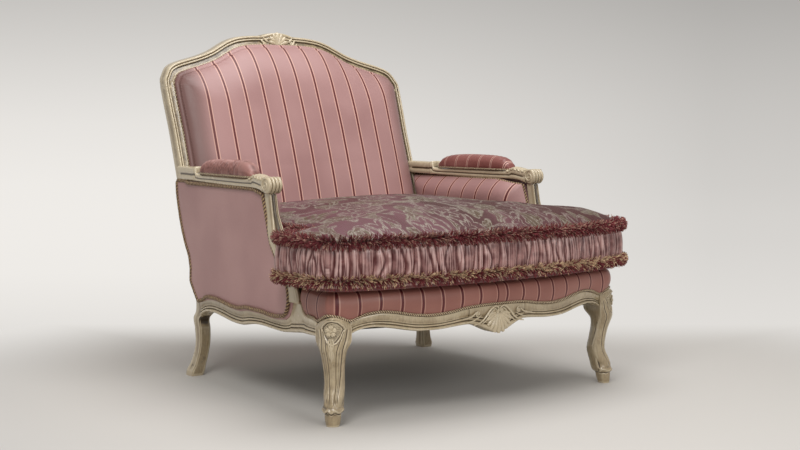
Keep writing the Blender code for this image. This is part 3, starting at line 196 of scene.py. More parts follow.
def evenly(fine: Array, count: int, closed: bool = False) -> Array:
    """Space a fine polyline evenly.

    Args:
        fine: The polyline; a closed one ends where it starts.
        count: How many points to return.
        closed: Whether to leave out the last point.

    Returns:
        The points, one per row.
    """
    steps = np.r_[0, np.cumsum(np.linalg.norm(np.diff(fine, axis=0), axis=1))]
    wanted = np.linspace(0, steps[-1], count + 1 if closed else count)
    spaced = np.stack([np.interp(wanted, steps, fine[:, k]) for k in range(fine.shape[1])], axis=1)
    return spaced[:-1] if closed else spaced


def closed_line(points: Sequence[Sequence[float]], count: int) -> Array:
    """Space the straight sides of a closed shape evenly.

    Args:
        points: Its corners.
        count: How many points to return.

    Returns:
        The points, one per row.
    """
    return evenly(np.array([*points, points[0]]), count, closed=True)


def unit(vectors: Array) -> Array:
    """The same directions with a length of 1, one per row."""
    return vectors / np.maximum(np.linalg.norm(vectors, axis=1), TINY)[:, None]


def around_slope(loop: Array) -> Array:
    """The direction of a closed line at each of its points."""
    return unit(np.roll(loop, -1, axis=0) - np.roll(loop, 1, axis=0))


def inset(outline: Array, distance: float | Array) -> Array:
    """Move a closed plane outline inwards.

    Args:
        outline: Points, one per row.
        distance: How far; a negative distance moves it outwards.

    Returns:
        The moved outline.
    """
    along = around_slope(outline)
    x, y = outline[:, 0], outline[:, 1]
    turn = np.sign(np.sum(x * np.roll(y, -1) - np.roll(x, -1) * y))
    return outline + turn * np.stack([-along[:, 1], along[:, 0]], axis=1) * np.reshape(distance, (-1, 1))


def ease(low: float, high: float, value: Array | float) -> Array | float:
    """Rise smoothly from 0 at low to 1 at high.

    Args:
        low: Where the rise starts.
        high: Where it ends.
        value: Where to read.

    Returns:
        The share.
    """
    t = np.clip((value - low) / (high - low), 0.0, 1.0)
    return t * t * (3 - 2 * t)


def ridge(distance: Array | float, width: float) -> Array | float:
    """A round ridge of height 1 across a distance."""
    return np.exp(-((distance / width) ** 2))


def flip(side: float, points: Rows) -> list[tuple[float, ...]]:
    """The points of a carved line on one side of the middle, from those on the right."""
    return [(side * u, *rest) for u, *rest in points]


def spiral(centre: Sequence[float], outer: float, inner: float, start: float, turns: float,
           count: int) -> Array:
    """Draw a volute.

    Args:
        centre: Its eye.
        outer: First radius.
        inner: Last radius.
        start: First angle in turns.
        turns: How far it winds; negative winds clockwise.
        count: How many points.

    Returns:
        Plane points from the outside to the eye.
    """
    share = np.linspace(0, 1, count)
    radius = outer * (inner / outer) ** share
    angle = tau * (start + turns * share)
    return np.stack([centre[0] + radius * np.cos(angle), centre[1] + radius * np.sin(angle)], axis=1)


def polyline_distance(across: Array, up: Array, line: Rows) -> Array:
    """How far plane points lie from an open line.

    Args:
        across: Places of the points across.
        up: Places of the points up.
        line: The line's points.

    Returns:
        The distances.
    """
    near = np.full(len(across), 1.0)
    for (x0, y0), (x1, y1) in zip(line, line[1:]):
        run, rise = x1 - x0, y1 - y0
        t = np.clip(((across - x0) * run + (up - y0) * rise) / (run ** 2 + rise ** 2), 0, 1)
        near = np.minimum(near, np.hypot(across - x0 - t * run, up - y0 - t * rise))
    return near


def edge_distance(points: Array, outline: Array) -> Array:
    """How far plane points lie from a closed outline.

    Args:
        points: The points, one per row.
        outline: The outline's points, one per row.

    Returns:
        The distances.
    """
    start, end = outline, np.roll(outline, -1, axis=0)
    along = end - start
    size = np.maximum((along ** 2).sum(axis=1), TINY)
    near = np.full(len(points), np.inf)
    for i in range(len(outline)):
        t = np.clip(((points - start[i]) @ along[i]) / size[i], 0, 1)
        near = np.minimum(near, np.linalg.norm(points - start[i] - t[:, None] * along[i], axis=1))
    return near


def flat_area(plan: Array) -> float:
    """The area inside a closed line."""
    x, y = plan[:, 0], plan[:, 1]
    return float(abs(np.dot(x, np.roll(y, -1)) - np.dot(y, np.roll(x, -1))) / 2)


@dataclass(frozen=True)
class Carcass:
    """The lines of the chair that its sub-assemblies share."""

    leg_half: float = 0.461
    leg_y: float = -0.467
    rear_leg_y: float = 0.293
    frame_z: float = 0.245
    wave: float = 0.050
    rail: float = 0.030
    bow: float = 0.060
    block_width: float = 0.062
    block_depth: float = 0.070
    block_above: float = 0.017
    block_dome: float = 0.012
    arch: float = 0.016
    arch_low: float = 0.225
    arch_half: float = 0.041
    arch_most: float = 1.15
    rear_half: float = 0.412
    rear_width: float = 0.036
    rear_depth: float = 0.034
    rake: float = 0.343
    back_thick: float = 0.040
    back_face: float = 0.038
    back_half: float = 0.440
    hollow: float = 0.020
    joint_z: float = 0.860
    rise: float = 0.170
    stay_z: float = 0.322
    stay_height: float = 0.044
    arm_front: float = 0.463
    arm_rear: float = 0.429
    arm_width: float = 0.040
    arm_z: float = 0.578
    arm_thick: float = 0.025
    scroll_y: float = -0.180
    scroll_z: float = 0.5870
    scroll_radius: float = 0.023
    post_width: float = 0.037
    post_joint: float = 0.291
    spur: float = 0.056
    deck_z: float = 0.335
    deck_bulge: float = 0.013
    inner_half: float = 0.416
    inner_flare: float = 0.016
    pad_start: float = 0.090
    arm_block: float = 0.205
    spur_end: float = 0.252
    pad_rear_gap: float = 0.017

    FRONT_RAIL = (
        (0.0, 0.58, -0.30), (0.07, 0.58, -0.30), (0.13, 0.57, -0.31), (0.19, 0.54, -0.32), (0.26, 0.49, -0.32),
        (0.34, 0.37, -0.37), (0.42, 0.30, -0.43), (0.51, 0.29, -0.44), (0.58, 0.35, -0.42), (0.65, 0.44, -0.33),
        (0.73, 0.58, -0.20), (0.81, 0.64, -0.10), (0.88, 0.58, -0.07), (0.95, 0.46, -0.17), (1.0, 0.34, -0.36),
    )
    SIDE_RAIL = (
        (0.0, 0.22, -0.50), (0.03, 0.30, -0.53), (0.09, 0.34, -0.57), (0.118, 0.46, -0.58),
        (0.130, 0.66, -0.59), (0.141, 0.92, -0.60), (0.206, 0.92, -0.71), (0.213, 0.56, -0.72),
        (0.228, 0.22, -0.74), (0.252, 0.03, -0.78), (0.29, -0.06, -0.82), (0.37, -0.06, -0.80),
        (0.44, 0.0, -0.77),
        (0.50, 0.0, -0.80), (0.56, 0.0, -0.90), (0.62, -0.14, -1.04), (0.70, -0.12, -1.02), (0.78, 0.02, -0.90),
        (0.86, 0.08, -0.80), (0.93, 0.0, -0.84), (0.97, -0.12, -0.98), (1.0, -0.26, -1.18),
    )
    SIDE_PLAN = ((0.0, 0.0), (0.12, 0.28), (0.25, 0.45), (0.5, 0.62), (0.8, 0.82), (1.0, 1.0))
    BACK_DEPTH = (
        (0.0, 1.40), (0.08, 1.11), (0.16, 0.78), (0.31, 0.70), (0.47, 1.18), (0.65, 1.35), (0.86, 1.28),
        (1.0, 1.0),
    )
    BACK_WIDTH = ((0.0, 0.991), (0.30, 0.990), (0.55, 0.991), (0.75, 0.996), (1.0, 1.0))
    CREST = (
        (1.0, 0.0), (0.996, 0.12), (0.977, 0.22), (0.945, 0.34), (0.905, 0.41), (0.86, 0.455), (0.80, 0.50),
        (0.72, 0.555), (0.64, 0.62), (0.57, 0.69), (0.50, 0.785), (0.43, 0.875), (0.35, 0.945), (0.26, 0.982),
        (0.17, 0.997), (0.09, 1.0), (0.0, 1.0),
    )
    POST = (
        (0.0, -1.93, 0.80, 1.0), (0.05, -1.94, 0.77, 1.0), (0.143, -1.86, 0.68, 1.0),
        (0.198, -1.64, 0.58, 1.0), (0.245, -1.46, 0.55, 1.0), (0.363, -0.93, 0.57, 1.0),
        (0.454, -0.59, 0.55, 1.0), (0.535, -0.29, 0.55, 1.0), (0.637, -0.11, 0.52, 0.97),
        (0.72, 0.02, 0.50, 0.80), (0.802, 0.16, 0.49, 0.66), (1.0, 0.37, 0.50, 0.60),
    )

    @property
    def inner_x(self) -> float:
        """Inner side of the front leg block."""
        return self.leg_half - self.block_width / 2

    @property
    def block_front(self) -> float:
        """Front of the leg block."""
        return self.leg_y - self.block_depth / 2

    @property
    def block_rear(self) -> float:
        """Rear of the leg block."""
        return self.leg_y + self.block_depth / 2

    @property
    def seat_rear(self) -> float:
        """Where the seat meets the plane of the back."""
        return self.rear_leg_y - 0.028

    @property
    def side_length(self) -> float:
        """Length of a side rail."""
        return self.seat_rear - self.block_rear

    @property
    def post_top(self) -> float:
        """Top of the arm post."""
        return self.scroll_z - self.scroll_radius

    def side_outer(self, y: float) -> float:
        """Outer half width of the side frame at a depth."""
        share = between(self.SIDE_PLAN, (y - self.block_rear) / self.side_length)
        return blend(self.leg_half + self.block_width / 2 - self.rail / 5, self.back_half + 0.001, share)

    def back_y(self, x: float, z: float) -> float:
        """Front plane of the back frame.

        Args:
            x: Place across.
            z: Height.

        Returns:
            The depth of the plane there.
        """
        lean = self.seat_rear + self.rake * max(z - self.frame_z, 0.0)
        start = self.stay_z + self.stay_height
        rise = blend(0.0, 1.0, (z - start) / (self.arm_z - self.stay_z))
        return lean + self.hollow * max(0.0, 1.0 - (x / self.back_half) ** 2) * rise

    def back_depth(self, z: float) -> float:
        """Depth of the back frame at a height."""
        share = (z - self.frame_z) / (self.arm_z - self.frame_z)
        return self.back_thick * between(self.BACK_DEPTH, min(max(share, 0.0), 1.0))

    def back_point(self, x: float, z: float, depth: float) -> Point:
        """A point a given depth behind the front plane of the back."""
        return (x, self.back_y(x, z) + depth, z)

    def upright_outer(self, z: float) -> float:
        """Outer half width of the upright at a height.

        Args:
            z: Height.

        Returns:
            The half width.
        """
        arm = self.back_half * self.BACK_WIDTH[0][1]
        if z < self.arm_z:
            share = (z - self.frame_z) / (self.arm_z - self.frame_z)
            return blend(self.rear_half + self.rear_width / 2, arm, share)
        share = (z - self.arm_z) / (self.joint_z - self.arm_z)
        return self.back_half * between(self.BACK_WIDTH, min(share, 1.0))

    def upright_face(self, z: float) -> float:
        """Face width of the upright at a height."""
        return blend(self.rear_width, self.back_face, (z - self.frame_z) / (self.arm_z - self.frame_z))

    def crest_line(self, count: int) -> Array:
        """The crest's outer line from the left joint to the right one, as (x, z).

        Args:
            count: How many points.

        Returns:
            The points.
        """
        right = [(self.back_half * w, self.joint_z + self.rise * r) for w, r in self.CREST]
        line = [(-x, z) for x, z in right] + right[-2::-1]
        return smooth_line(line, count)

    def back_line(self, inward: float, low_z: float, count: int) -> Array:
        """The open line of the back frame, left foot over the crest to the right foot, moved inwards.

        Args:
            inward: How far inside the outer line.
            low_z: Height of its two ends.
            count: How many points.

        Returns:
            (x, z) points.
        """
        heights = np.linspace(low_z, self.joint_z - 0.02, 14)
        run = [(self.upright_outer(z) - inward * self.upright_face(z) / self.back_face, z) for z in heights]
        crest = self.crest_line(90)
        crest = crest + into_chair(crest) * inward
        line = [(-x, z) for x, z in run] + list(crest[2:-2]) + run[::-1]
        return smooth_line(line, count)

    def front_face(self, x: float) -> float:
        """Front face of the front rail."""
        return self.block_front + self.block_depth / 9 - self.bow * (1.0 - (x / self.inner_x) ** 2)

    def front_edges(self, x: float) -> tuple[float, float]:
        """Top and bottom of the front rail.

        Args:
            x: Place across.

        Returns:
            The heights of both edges.
        """
        share = abs(x) / self.inner_x
        return (self.frame_z + self.wave * between(self.FRONT_RAIL, share, 1),
                self.frame_z + self.wave * between(self.FRONT_RAIL, share, 2))

    def side_edges(self, share: float) -> tuple[float, float]:
        """Top and bottom of the side rail at a share of its length."""
        return (self.frame_z + self.wave * between(self.SIDE_RAIL, share, 1),
                self.frame_z + self.wave * between(self.SIDE_RAIL, share, 2))

    @property
    def arm_rear_y(self) -> float:
        """Where the arm meets the back."""
        return self.back_y(self.arm_rear, self.arm_z)

    def arm_centre(self, y: float) -> float:
        """Middle of the arm across the chair."""
        return blend(self.arm_front, self.arm_rear, (y - self.scroll_y) / (self.arm_rear_y - self.scroll_y))

    def pad_ends(self) -> tuple[float, float]:
        """Front and rear ends of the arm pad."""
        block = blend(self.arm_rear_y, self.scroll_y, self.arm_block)
        return self.scroll_y + self.pad_start, block - self.pad_rear_gap

    def post_edges(self, z: float) -> tuple[float, float]:
        """Front and rear edges of the arm post.

        Args:
            z: Height.

        Returns:
            The depths of both edges.
        """
        share = (z - self.post_joint) / (self.post_top - self.post_joint)
        rear = self.scroll_y + self.spur * between(self.POST, share, 1)
        return rear - self.spur * between(self.POST, share, 2), rear

    def post_half(self, z: float) -> float:
        """Half the width of the arm post."""
        share = (z - self.post_joint) / (self.post_top - self.post_joint)
        return self.post_width / 2 * between(self.POST, share, 3)

    def panel_outline(self) -> list[tuple[float, float]]:
        """The (y, z) outline of the outer arm panel, from the lower rear corner forward.

        Returns:
            The points.
        """
        low_y = self.block_rear + self.side_length * self.spur_end
        points = []
        for i in range(13):
            y = blend(self.seat_rear - GAP, low_y, i / 12)
            points.append((y, self.side_edges((y - self.block_rear) / self.side_length)[0] + BODY_GAP))
        for share in (0.228, 0.213, 0.206):
            y = self.block_rear + self.side_length * share
            points.append((y + BODY_GAP, self.side_edges(share)[0] + BODY_GAP))
        for row in self.POST[1:-1]:
            z = blend(self.post_joint, self.post_top, row[0])
            points.append((self.post_edges(z)[1] + BODY_GAP, z))
        front = self.post_edges(self.post_top)[1] + self.scroll_radius / 3
        points.append((front, self.post_top))
        top = self.arm_z - BODY_GAP
        rear = self.back_y(self.arm_rear, top) + self.back_depth(top)
        points += [(blend(front, rear, share), top) for share in (0.1, 0.3, 0.5, 0.7, 0.85, 1.0)]
        for i in range(1, 9):
            z = blend(top, self.frame_z + self.wave / 10, i / 9)
            points.append((self.back_y(self.arm_rear, z) + self.back_depth(z), z))
        return points

    def panel_x(self, y: float) -> float:
        """Plane of the outer arm panel at a depth.

        Args:
            y: Depth.

        Returns:
            The place across.
        """
        front = self.post_edges(self.post_joint)[1]
        rear = self.rear_leg_y + self.rake * (self.arm_z - self.frame_z)
        return blend(self.arm_front + self.post_width / 4, self.back_half + 0.001, (y - front) / (rear - front))

    def inner_outline(self) -> list[tuple[float, float]]:
        """The (y, z) outline of the inner arm, from the lower rear corner forward.

        Returns:
            The points.
        """
        low, top = self.deck_z + 0.004 + GAP, self.arm_z - BODY_GAP
        front_low = self.post_edges(low)[1] + BODY_GAP
        rear_low = self.back_y(self.back_half, low) - BODY_GAP
        points = [(blend(rear_low, front_low, i / 6), low) for i in range(7)]
        for row in self.POST[:-1]:
            z = blend(self.post_joint, self.post_top, row[0])
            if z > low + GAP:
                points.append((self.post_edges(z)[1] + BODY_GAP, z))
        front = self.post_edges(self.post_top)[1] + self.scroll_radius / 3
        points.append((front, self.post_top))
        rear = self.back_y(self.back_half, top) - BODY_GAP
        points += [(blend(front, rear, i / 5), top) for i in range(1, 6)]
        points += [(self.back_y(self.back_half, z) - BODY_GAP, z)
                   for z in (blend(top, low, i / 5) for i in range(1, 5))]
        return points

    def inner_x_at(self, z: float) -> float:
        """Plane of the inner arm at a height."""
        rise = (z - self.deck_z) / (self.arm_z - self.deck_z)
        return self.inner_half + self.inner_flare * rise * rise

    def deck_half(self) -> list[tuple[float, float, float, float]]:
        """The deck's lower outline, right half from front to rear: x, y, z and how much it bulges.

        Returns:
            The points, each with its bulge.
        """
        points = []
        for share in (0.0, 0.12, 0.24, 0.36, 0.48, 0.60, 0.72, 0.82, 0.91):
            x = share * self.inner_x
            points.append((x, self.front_face(x) + self.rail * 0.3, self.front_edges(x)[0] + BODY_GAP, 1.0))
        top = self.frame_z + self.block_above + self.block_dome + GAP
        outer = self.leg_half + self.block_width / 2 - self.block_dome
        # The edge arches over the block, highest over its corner
        points.append((self.inner_x, self.block_front + self.block_dome, top - self.arch * 0.9, 1.0))
        points.append((self.leg_half, self.block_front + self.block_dome * 1.4, top - self.arch * 0.2, 1.0))
        points.append((self.leg_half + self.block_dome * 1.1, self.block_front + self.block_dome * 2.1,
                       top, 1.0))
        points.append((outer, self.leg_y, top - self.arch * 0.2, 0.8))
        inner = self.side_outer(self.block_rear) - self.rail * 0.3
        points.append((inner, self.block_rear, top - self.arch * 1.1, 0.8))
        spur_top = self.post_joint + BODY_GAP
        # Along the side rail and up its round, to the foot of the post
        for share, bulge in ((0.03, 0.8), (0.065, 0.9), (0.098, 1.0), (0.116, 1.0), (0.127, 0.9), (0.134, 0.8)):
            y = self.block_rear + self.side_length * share
            edge = self.side_edges(share)[0] + BODY_GAP
            points.append((self.side_outer(y) - self.rail * 0.3, y, edge, bulge))
        post = self.block_rear + self.side_length * 0.137
        inner = self.arm_front - self.post_width / 2 - self.rail * 0.7
        rear = self.back_y(self.back_half, spur_top) - BODY_GAP
        points.append((blend(self.side_outer(post) - self.rail * 0.3, inner, 0.25), post, spur_top, 0.2))
        points.append((inner, post, spur_top, 0.0))
        for share in (0.15, 0.4, 0.7, 1.0):
            points.append((blend(inner, self.inner_half, share), blend(post, rear, share), spur_top, 0.0))
        for share in (0.66, 0.33, 0.0):
            points.append((share * self.inner_half, rear, spur_top, 0.0))
        return points

    def arch_fall(self, away: Array, z: float) -> Array:
        """How far the top of the leg block falls beside its middle.

        Args:
            away: Distances from the middle.
            z: Height.

        Returns:
            The falls.
        """
        share = float(ease(self.arch_low, self.frame_z + self.block_above, z))
        return self.arch * share * np.minimum(away / self.arch_half, self.arch_most) ** 2


def into_chair(line: Array) -> Array:
    """The directions into the chair from an open (x, z) line, drawn left to right over the crest.

    Args:
        line: Its points.

    Returns:
        A direction of length 1 for each point.
    """
    along = unit(np.gradient(line, axis=0))
    into = np.stack([along[:, 1], -along[:, 0]], axis=1)
    into[0], into[-1] = (1, 0), (-1, 0)
    return into


CARCASS = Carcass()


def frames(path: Array, up: Array | None = None) -> tuple[Array, Array]:
    """Give an open path a side and an upward direction at each point.

    Args:
        path: Points, one per row.
        up: Rough upward direction, one for all or one per point; by default it is carried along.

    Returns:
        Sides and ups.
    """
    along = unit(np.gradient(path, axis=0))
    if up is None:
        first = np.array([0.0, 0.0, 1.0]) if abs(along[0][2]) < 0.9 else np.array([0.0, 1.0, 0.0])
        ups = np.empty_like(path)
        for i, tangent in enumerate(along):
            first = first - tangent * (first @ tangent)
            first = first / np.linalg.norm(first)
            ups[i] = first
    else:
        ups = np.broadcast_to(np.asarray(up, float), path.shape)
    side = unit(np.cross(along, ups))
    return side, np.cross(side, along)


class Skin:
    """Collects the surfaces of one piece and turns them into an object."""

    MERGE = 1e-5

    def __init__(self, name: str) -> None:
        """Start an empty piece.

        Args:
            name: Name of the piece.
        """
        self.name = name
        self.points: list[Array] = []
        self.faces: list[list[int]] = []
        self.places: list[Array] = []
        self.count = 0

    def grid(self, rows: Array, around: bool = False, along: bool = False, caps: bool = False,
             uv: Array | None = None) -> "Skin":
        """Add a surface through rows of points.

        Args:
            rows: Points, as (row, column, xyz).
            around: Whether the last column joins the first.
            along: Whether the last row joins the first.
            caps: Whether a fan closes the first and the last row.
            uv: Texture places, with one more row or column than the points where they join.

        Returns:
            The piece itself.
        """
        m, n = rows.shape[:2]
        base = self.count
        index = base + np.arange(m * n).reshape(m, n)
        i, j = np.meshgrid(np.arange(m if along else m - 1), np.arange(n if around else n - 1), indexing="ij")
        i, j = i.ravel(), j.ravel()
        i2, j2 = (i + 1) % m, (j + 1) % n
        quads = np.stack([index[i, j], index[i, j2], index[i2, j2], index[i2, j]], axis=1)
        if uv is None:
            u, v = np.meshgrid(np.linspace(0, 1, n + 1), np.linspace(0, 1, m + 1))
            uv = np.stack([u, v], axis=2)
        places = np.stack([uv[i, j], uv[i, j + 1], uv[i + 1, j + 1], uv[i + 1, j]], axis=1)
        self.faces += quads.tolist()
        self.places.append(places.reshape(-1, 2))
        self.points.append(rows.reshape(-1, 3))
        self.count += m * n
        if caps:
            for row, turn in ((0, -1), (m - 1, 1)):
                self.points.append(rows[row].mean(axis=0)[None])
                ring = index[row][::turn]
                fan = [[int(ring[k]), int(ring[(k + 1) % n]), self.count]
                       for k in range(n if around else n - 1)]
                self.faces += fan
                self.places.append(np.tile(uv[row, 0], (3 * len(fan), 1)))
                self.count += 1
        return self

    def closed(self, rows: Sequence[Rows]) -> "Skin":
        """Add a closed shape through rings of points, with a fan over its first and its last ring."""
        return self.grid(np.array(rows), around=True, caps=True)

    def tube(self, path: Array, radius: float | Array, sides: int, flat: float = 1.0,
             up: Array | None = None) -> "Skin":
        """Add a round or flattened rod along a path.

        Args:
            path: Points, one per row.
            radius: Half width, one for all or one per point.
            sides: Points around.
            flat: Height over width.
            up: Direction in which it is flattened.

        Returns:
            The piece itself.
        """
        path = np.asarray(path, float)
        side, above = frames(path, up)
        angle = tau * np.arange(sides) / sides
        size = np.broadcast_to(np.asarray(radius, float), (len(path),))[:, None, None]
        across, up = np.cos(angle)[None, :, None], np.sin(angle)[None, :, None]
        ring = side[:, None] * across + above[:, None] * up * flat
        return self.closed(path[:, None] + ring * size)

    def build(self, sharp: float = 60.0) -> Object:
        """Make the object, with points that lie together made one.

        Args:
            sharp: Edges sharper than this angle, in degrees, stay crisp.

        Returns:
            The object, with its place in its mesh.
        """
        mesh = bpy.data.meshes.new(self.name)
        mesh.from_pydata(np.vstack(self.points).tolist(), [], self.faces)
        mesh.uv_layers.new(name="UVMap").uv.foreach_set("vector", np.vstack(self.places).ravel())
        solid = bmesh.new()
        solid.from_mesh(mesh)
        bmesh.ops.remove_doubles(solid, verts=solid.verts, dist=self.MERGE)
        bmesh.ops.dissolve_degenerate(solid, dist=self.MERGE / 10, edges=solid.edges)
        bmesh.ops.recalc_face_normals(solid, faces=solid.faces)
        solid.to_mesh(mesh)
        solid.free()
        mesh.shade_smooth()
        mesh.set_sharp_from_angle(angle=radians(sharp))
        piece = bpy.data.objects.new(self.name, mesh)
        bpy.context.collection.objects.link(piece)
        return piece


def read_points(mesh: bpy.types.Mesh, value: str) -> Array:
    """A value of three numbers of each point of a mesh, one point per row.

    Args:
        mesh: The mesh.
        value: The value's name.

    Returns:
        The values.
    """
    flat = np.empty(len(mesh.vertices) * 3)
    mesh.vertices.foreach_get(value, flat)
    return flat.reshape(-1, 3)


def mark_hollows(piece: Object, scale: float) -> None:
    """Write how hollow the surface is at each point, for the glaze and the painted shade that settle in the
    hollows, and for the painted highlights on the ridges.

    Fine hollows are told by a little smoothing of the surface, wide ones by more.

    Args:
        piece: The object.
        scale: Depth of a fine hollow that counts as full.
    """
    mesh = piece.data
    points, normals = read_points(mesh, "co"), read_points(mesh, "normal")
    count = len(points)
    edges = np.empty(len(mesh.edges) * 2, dtype=np.int64)
    mesh.edges.foreach_get("vertices", edges)
    a, b = edges.reshape(-1, 2).T
    degree = np.maximum(np.bincount(np.r_[a, b], minlength=count), 1)
    smooth = points.copy()
    hollow = np.zeros(count)
    depths = {3: scale, 11: scale * 2.5}
    for step in range(12):
        total = np.stack([
            np.bincount(a, smooth[b, k], count) + np.bincount(b, smooth[a, k], count) for k in range(3)
        ], axis=1)
        smooth = (smooth + total / degree[:, None]) / 2
        if step in depths:
            hollow += np.einsum("ij,ij->i", smooth - points, normals) / depths[step]
    mesh.attributes.new("hollow", "FLOAT", "POINT").data.foreach_set("value", np.clip(hollow, -1, 1))


def fetch(node: str) -> Object:
    """The object of a node of the carcass model."""
    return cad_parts[node]


def dress(piece: Object, finish: "Finish", body: str, *nodes: str) -> Object:
    """Give a finished piece its material and its body, and hide the nodes of the carcass model that it
    replaces.

    Args:
        piece: The object.
        finish: Its finish.
        body: The body that it moves with.
        nodes: Nodes of the carcass model that it replaces.

    Returns:
        The piece.
    """
    if not piece.data.materials:
        piece.data.materials.append(finish.material())
    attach(piece, body)
    if nodes:
        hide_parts(*nodes)
    LOG.info("%s: %d faces", piece.name, len(piece.data.polygons))
    return piece


class Value:
    """What a node gives. Sums can be written with it."""

    def __init__(self, graph: "Graph", socket: Socket) -> None:
        """Keep a socket.

        Args:
            graph: The graph that the socket is part of.
            socket: The socket.
        """
        self.graph, self.socket = graph, socket

    def __add__(self, other: object) -> "Value":
        """This value and another."""
        return self.graph.math("ADD", self, other)

    def __sub__(self, other: object) -> "Value":
        """This value less another."""
        return self.graph.math("SUBTRACT", self, other)

    def __rsub__(self, other: object) -> "Value":
        """A number less this value."""
        return self.graph.math("SUBTRACT", other, self)

    def __mul__(self, other: object) -> "Value":
        """This value times another."""
        return self.graph.math("MULTIPLY", self, other)

    def __truediv__(self, other: object) -> "Value":
        """This value over another."""
        return self.graph.math("DIVIDE", self, other)

    def __abs__(self) -> "Value":
        """This value without its sign."""
        return self.graph.math("ABSOLUTE", self)

    def most(self, other: object) -> "Value":
        """The greater of this value and another."""
        return self.graph.math("MAXIMUM", self, other)

    def fold(self, half: float) -> "Value":
        """This value, running up to a half period and back."""
        return self.graph.math("PINGPONG", self, half)


class Graph:
    """Builds the nodes of one tree."""

    NUMBERS = ("LENGTH", "DISTANCE", "DOT_PRODUCT")

    def __init__(self, tree: bpy.types.NodeTree) -> None:
        """Start on a tree.

        Args:
            tree: The tree.
        """
        self.tree = tree

    def feed(self, target: Socket, value: object) -> None:
        """Link a value to an input, or write it there.

        Args:
            target: The input.
            value: A node's value, a number, a vector or a colour.
        """
        if isinstance(value, Value):
            self.tree.links.new(value.socket, target)
        elif isinstance(value, tuple) and target.type == "RGBA":
            target.default_value = (*value, 1.0)
        else:
            target.default_value = value

    def node(self, kind: str, inputs: Inputs | None = None, **settings: object) -> bpy.types.Node:
        """Add a node.

        Args:
            kind: The node's type.
            inputs: What its inputs get, by name or number.
            settings: The node's own options.

        Returns:
            The node.
        """
        node = self.tree.nodes.new(kind)
        for key, value in settings.items():
            setattr(node, key, value)
        for key, value in (inputs or {}).items():
            self.feed(node.inputs[key], value)
        return node

    def add(self, kind: str, inputs: Inputs | None = None, out: str | int = 0, **settings: object) -> Value:
        """Add a node for one of its outputs.

        Args:
            kind: The node's type.
            inputs: What its inputs get, by name or number.
            out: The output, by name or number.
            settings: The node's own options.

        Returns:
            The output's value.
        """
        return Value(self, self.node(kind, inputs, **settings).outputs[out])

    def math(self, operation: str, first: object, second: object = 0.0, clamp: bool = False) -> Value:
        """Do a sum on numbers."""
        return self.add("ShaderNodeMath", {0: first, 1: second}, operation=operation, use_clamp=clamp)

    def vector(self, operation: str, first: object, second: object = (0.0, 0.0, 0.0)) -> Value:
        """Do a sum on vectors."""
        out = "Value" if operation in self.NUMBERS else "Vector"
        return self.add("ShaderNodeVectorMath", {0: first, 1: second}, out, operation=operation)

    def split(self, vector: Value) -> tuple[Value, Value, Value]:
        """The three parts of a vector."""
        return tuple(Value(self, part) for part in self.node("ShaderNodeSeparateXYZ", {0: vector}).outputs)


class Shader(Graph):
    """Builds one material."""

    def __init__(self, name: str) -> None:
        """Start a material.

        Args:
            name: Its name.
        """
        self.material = bpy.data.materials.new(name)
        self.material.use_nodes = True
        super().__init__(self.material.node_tree)
        self.surface = self.tree.nodes["Principled BSDF"]

    def mix(self, share: object, first: object, second: object) -> Value:
        """Mix two colours."""
        return self.add("ShaderNodeMix", {0: share, 6: first, 7: second}, 2, data_type="RGBA")

    def ramp(self, value: Value, stops: Sequence[tuple[float, Colour]]) -> Value:
        """Turn a value into a colour by stops.

        Args:
            value: The value.
            stops: Places and their colours.

        Returns:
            The colour.
        """
        node = self.node("ShaderNodeValToRGB", {0: value})
        elements = node.color_ramp.elements
        while len(elements) < len(stops):
            elements.new(0.5)
        for element, (place, colour) in zip(elements, stops):
            element.position = place
            element.color = (*colour, 1.0)
        return Value(self, node.outputs[0])

    def level(self, value: Value, low: float, high: float, to_low: float = 0.0, to_high: float = 1.0) -> Value:
        """Map a range of values onto another, smoothly and held at its ends."""
        return self.add("ShaderNodeMapRange", {0: value, 1: low, 2: high, 3: to_low, 4: to_high},
                        interpolation_type="SMOOTHSTEP")

    def noise(self, place: Value, scale: float, detail: float = 2.0, rough: float = 0.5, out: int = 0) -> Value:
        """Cloudy values about one half; output 1 has three of them."""
        return self.add("ShaderNodeTexNoise",
                        {"Vector": place, "Scale": scale, "Detail": detail, "Roughness": rough}, out)

    def place(self) -> Value:
        """Object coordinates."""
        return self.add("ShaderNodeTexCoord", out="Object")

    def uv(self) -> Value:
        """The piece's own texture places."""
        return self.add("ShaderNodeUVMap", uv_map="UVMap")

    def read(self, name: str) -> Value:
        """A named value of the mesh."""
        return self.add("ShaderNodeAttribute", out="Fac", attribute_name=name)

    def stretch(self, place: Value, scale: Point) -> Value:
        """Scale coordinates by axis."""
        return self.add("ShaderNodeMapping", {"Vector": place, "Scale": scale})

    def threads(self, place: Value, scale: Point, detail: float = 2.0) -> Value:
        """Noise drawn out by axis, with so many spots in a metre."""
        return self.noise(self.stretch(place, scale), 1.0, detail)

    def bump(self, height: Value, distance: float, strength: float = 1.0, under: Value | None = None) -> Value:
        """Turn a height into a normal.

        Args:
            height: The height.
            distance: What a height of 1 stands for.
            strength: How strongly it shows.
            under: A normal that it lies on.

        Returns:
            The normal.
        """
        inputs = {"Height": height, "Distance": distance, "Strength": strength}
        if under is not None:
            inputs["Normal"] = under
        return self.add("ShaderNodeBump", inputs)

    def close(self, **inputs: object) -> bpy.types.Material:
        """Feed the surface and return the material.

        Args:
            inputs: The surface's inputs, with _ for a space.

        Returns:
            The material.
        """
        for key, value in inputs.items():
            self.feed(self.surface.inputs[key.replace("_", " ")], value)
        return self.material


def hash_words(words: str) -> int:
    """A number that stays the same for the same words.

    Args:
        words: The words.

    Returns:
        The number.
    """
    total = 7
    for letter in words:
        total = (total * 31 + ord(letter)) % 1000003
    return total


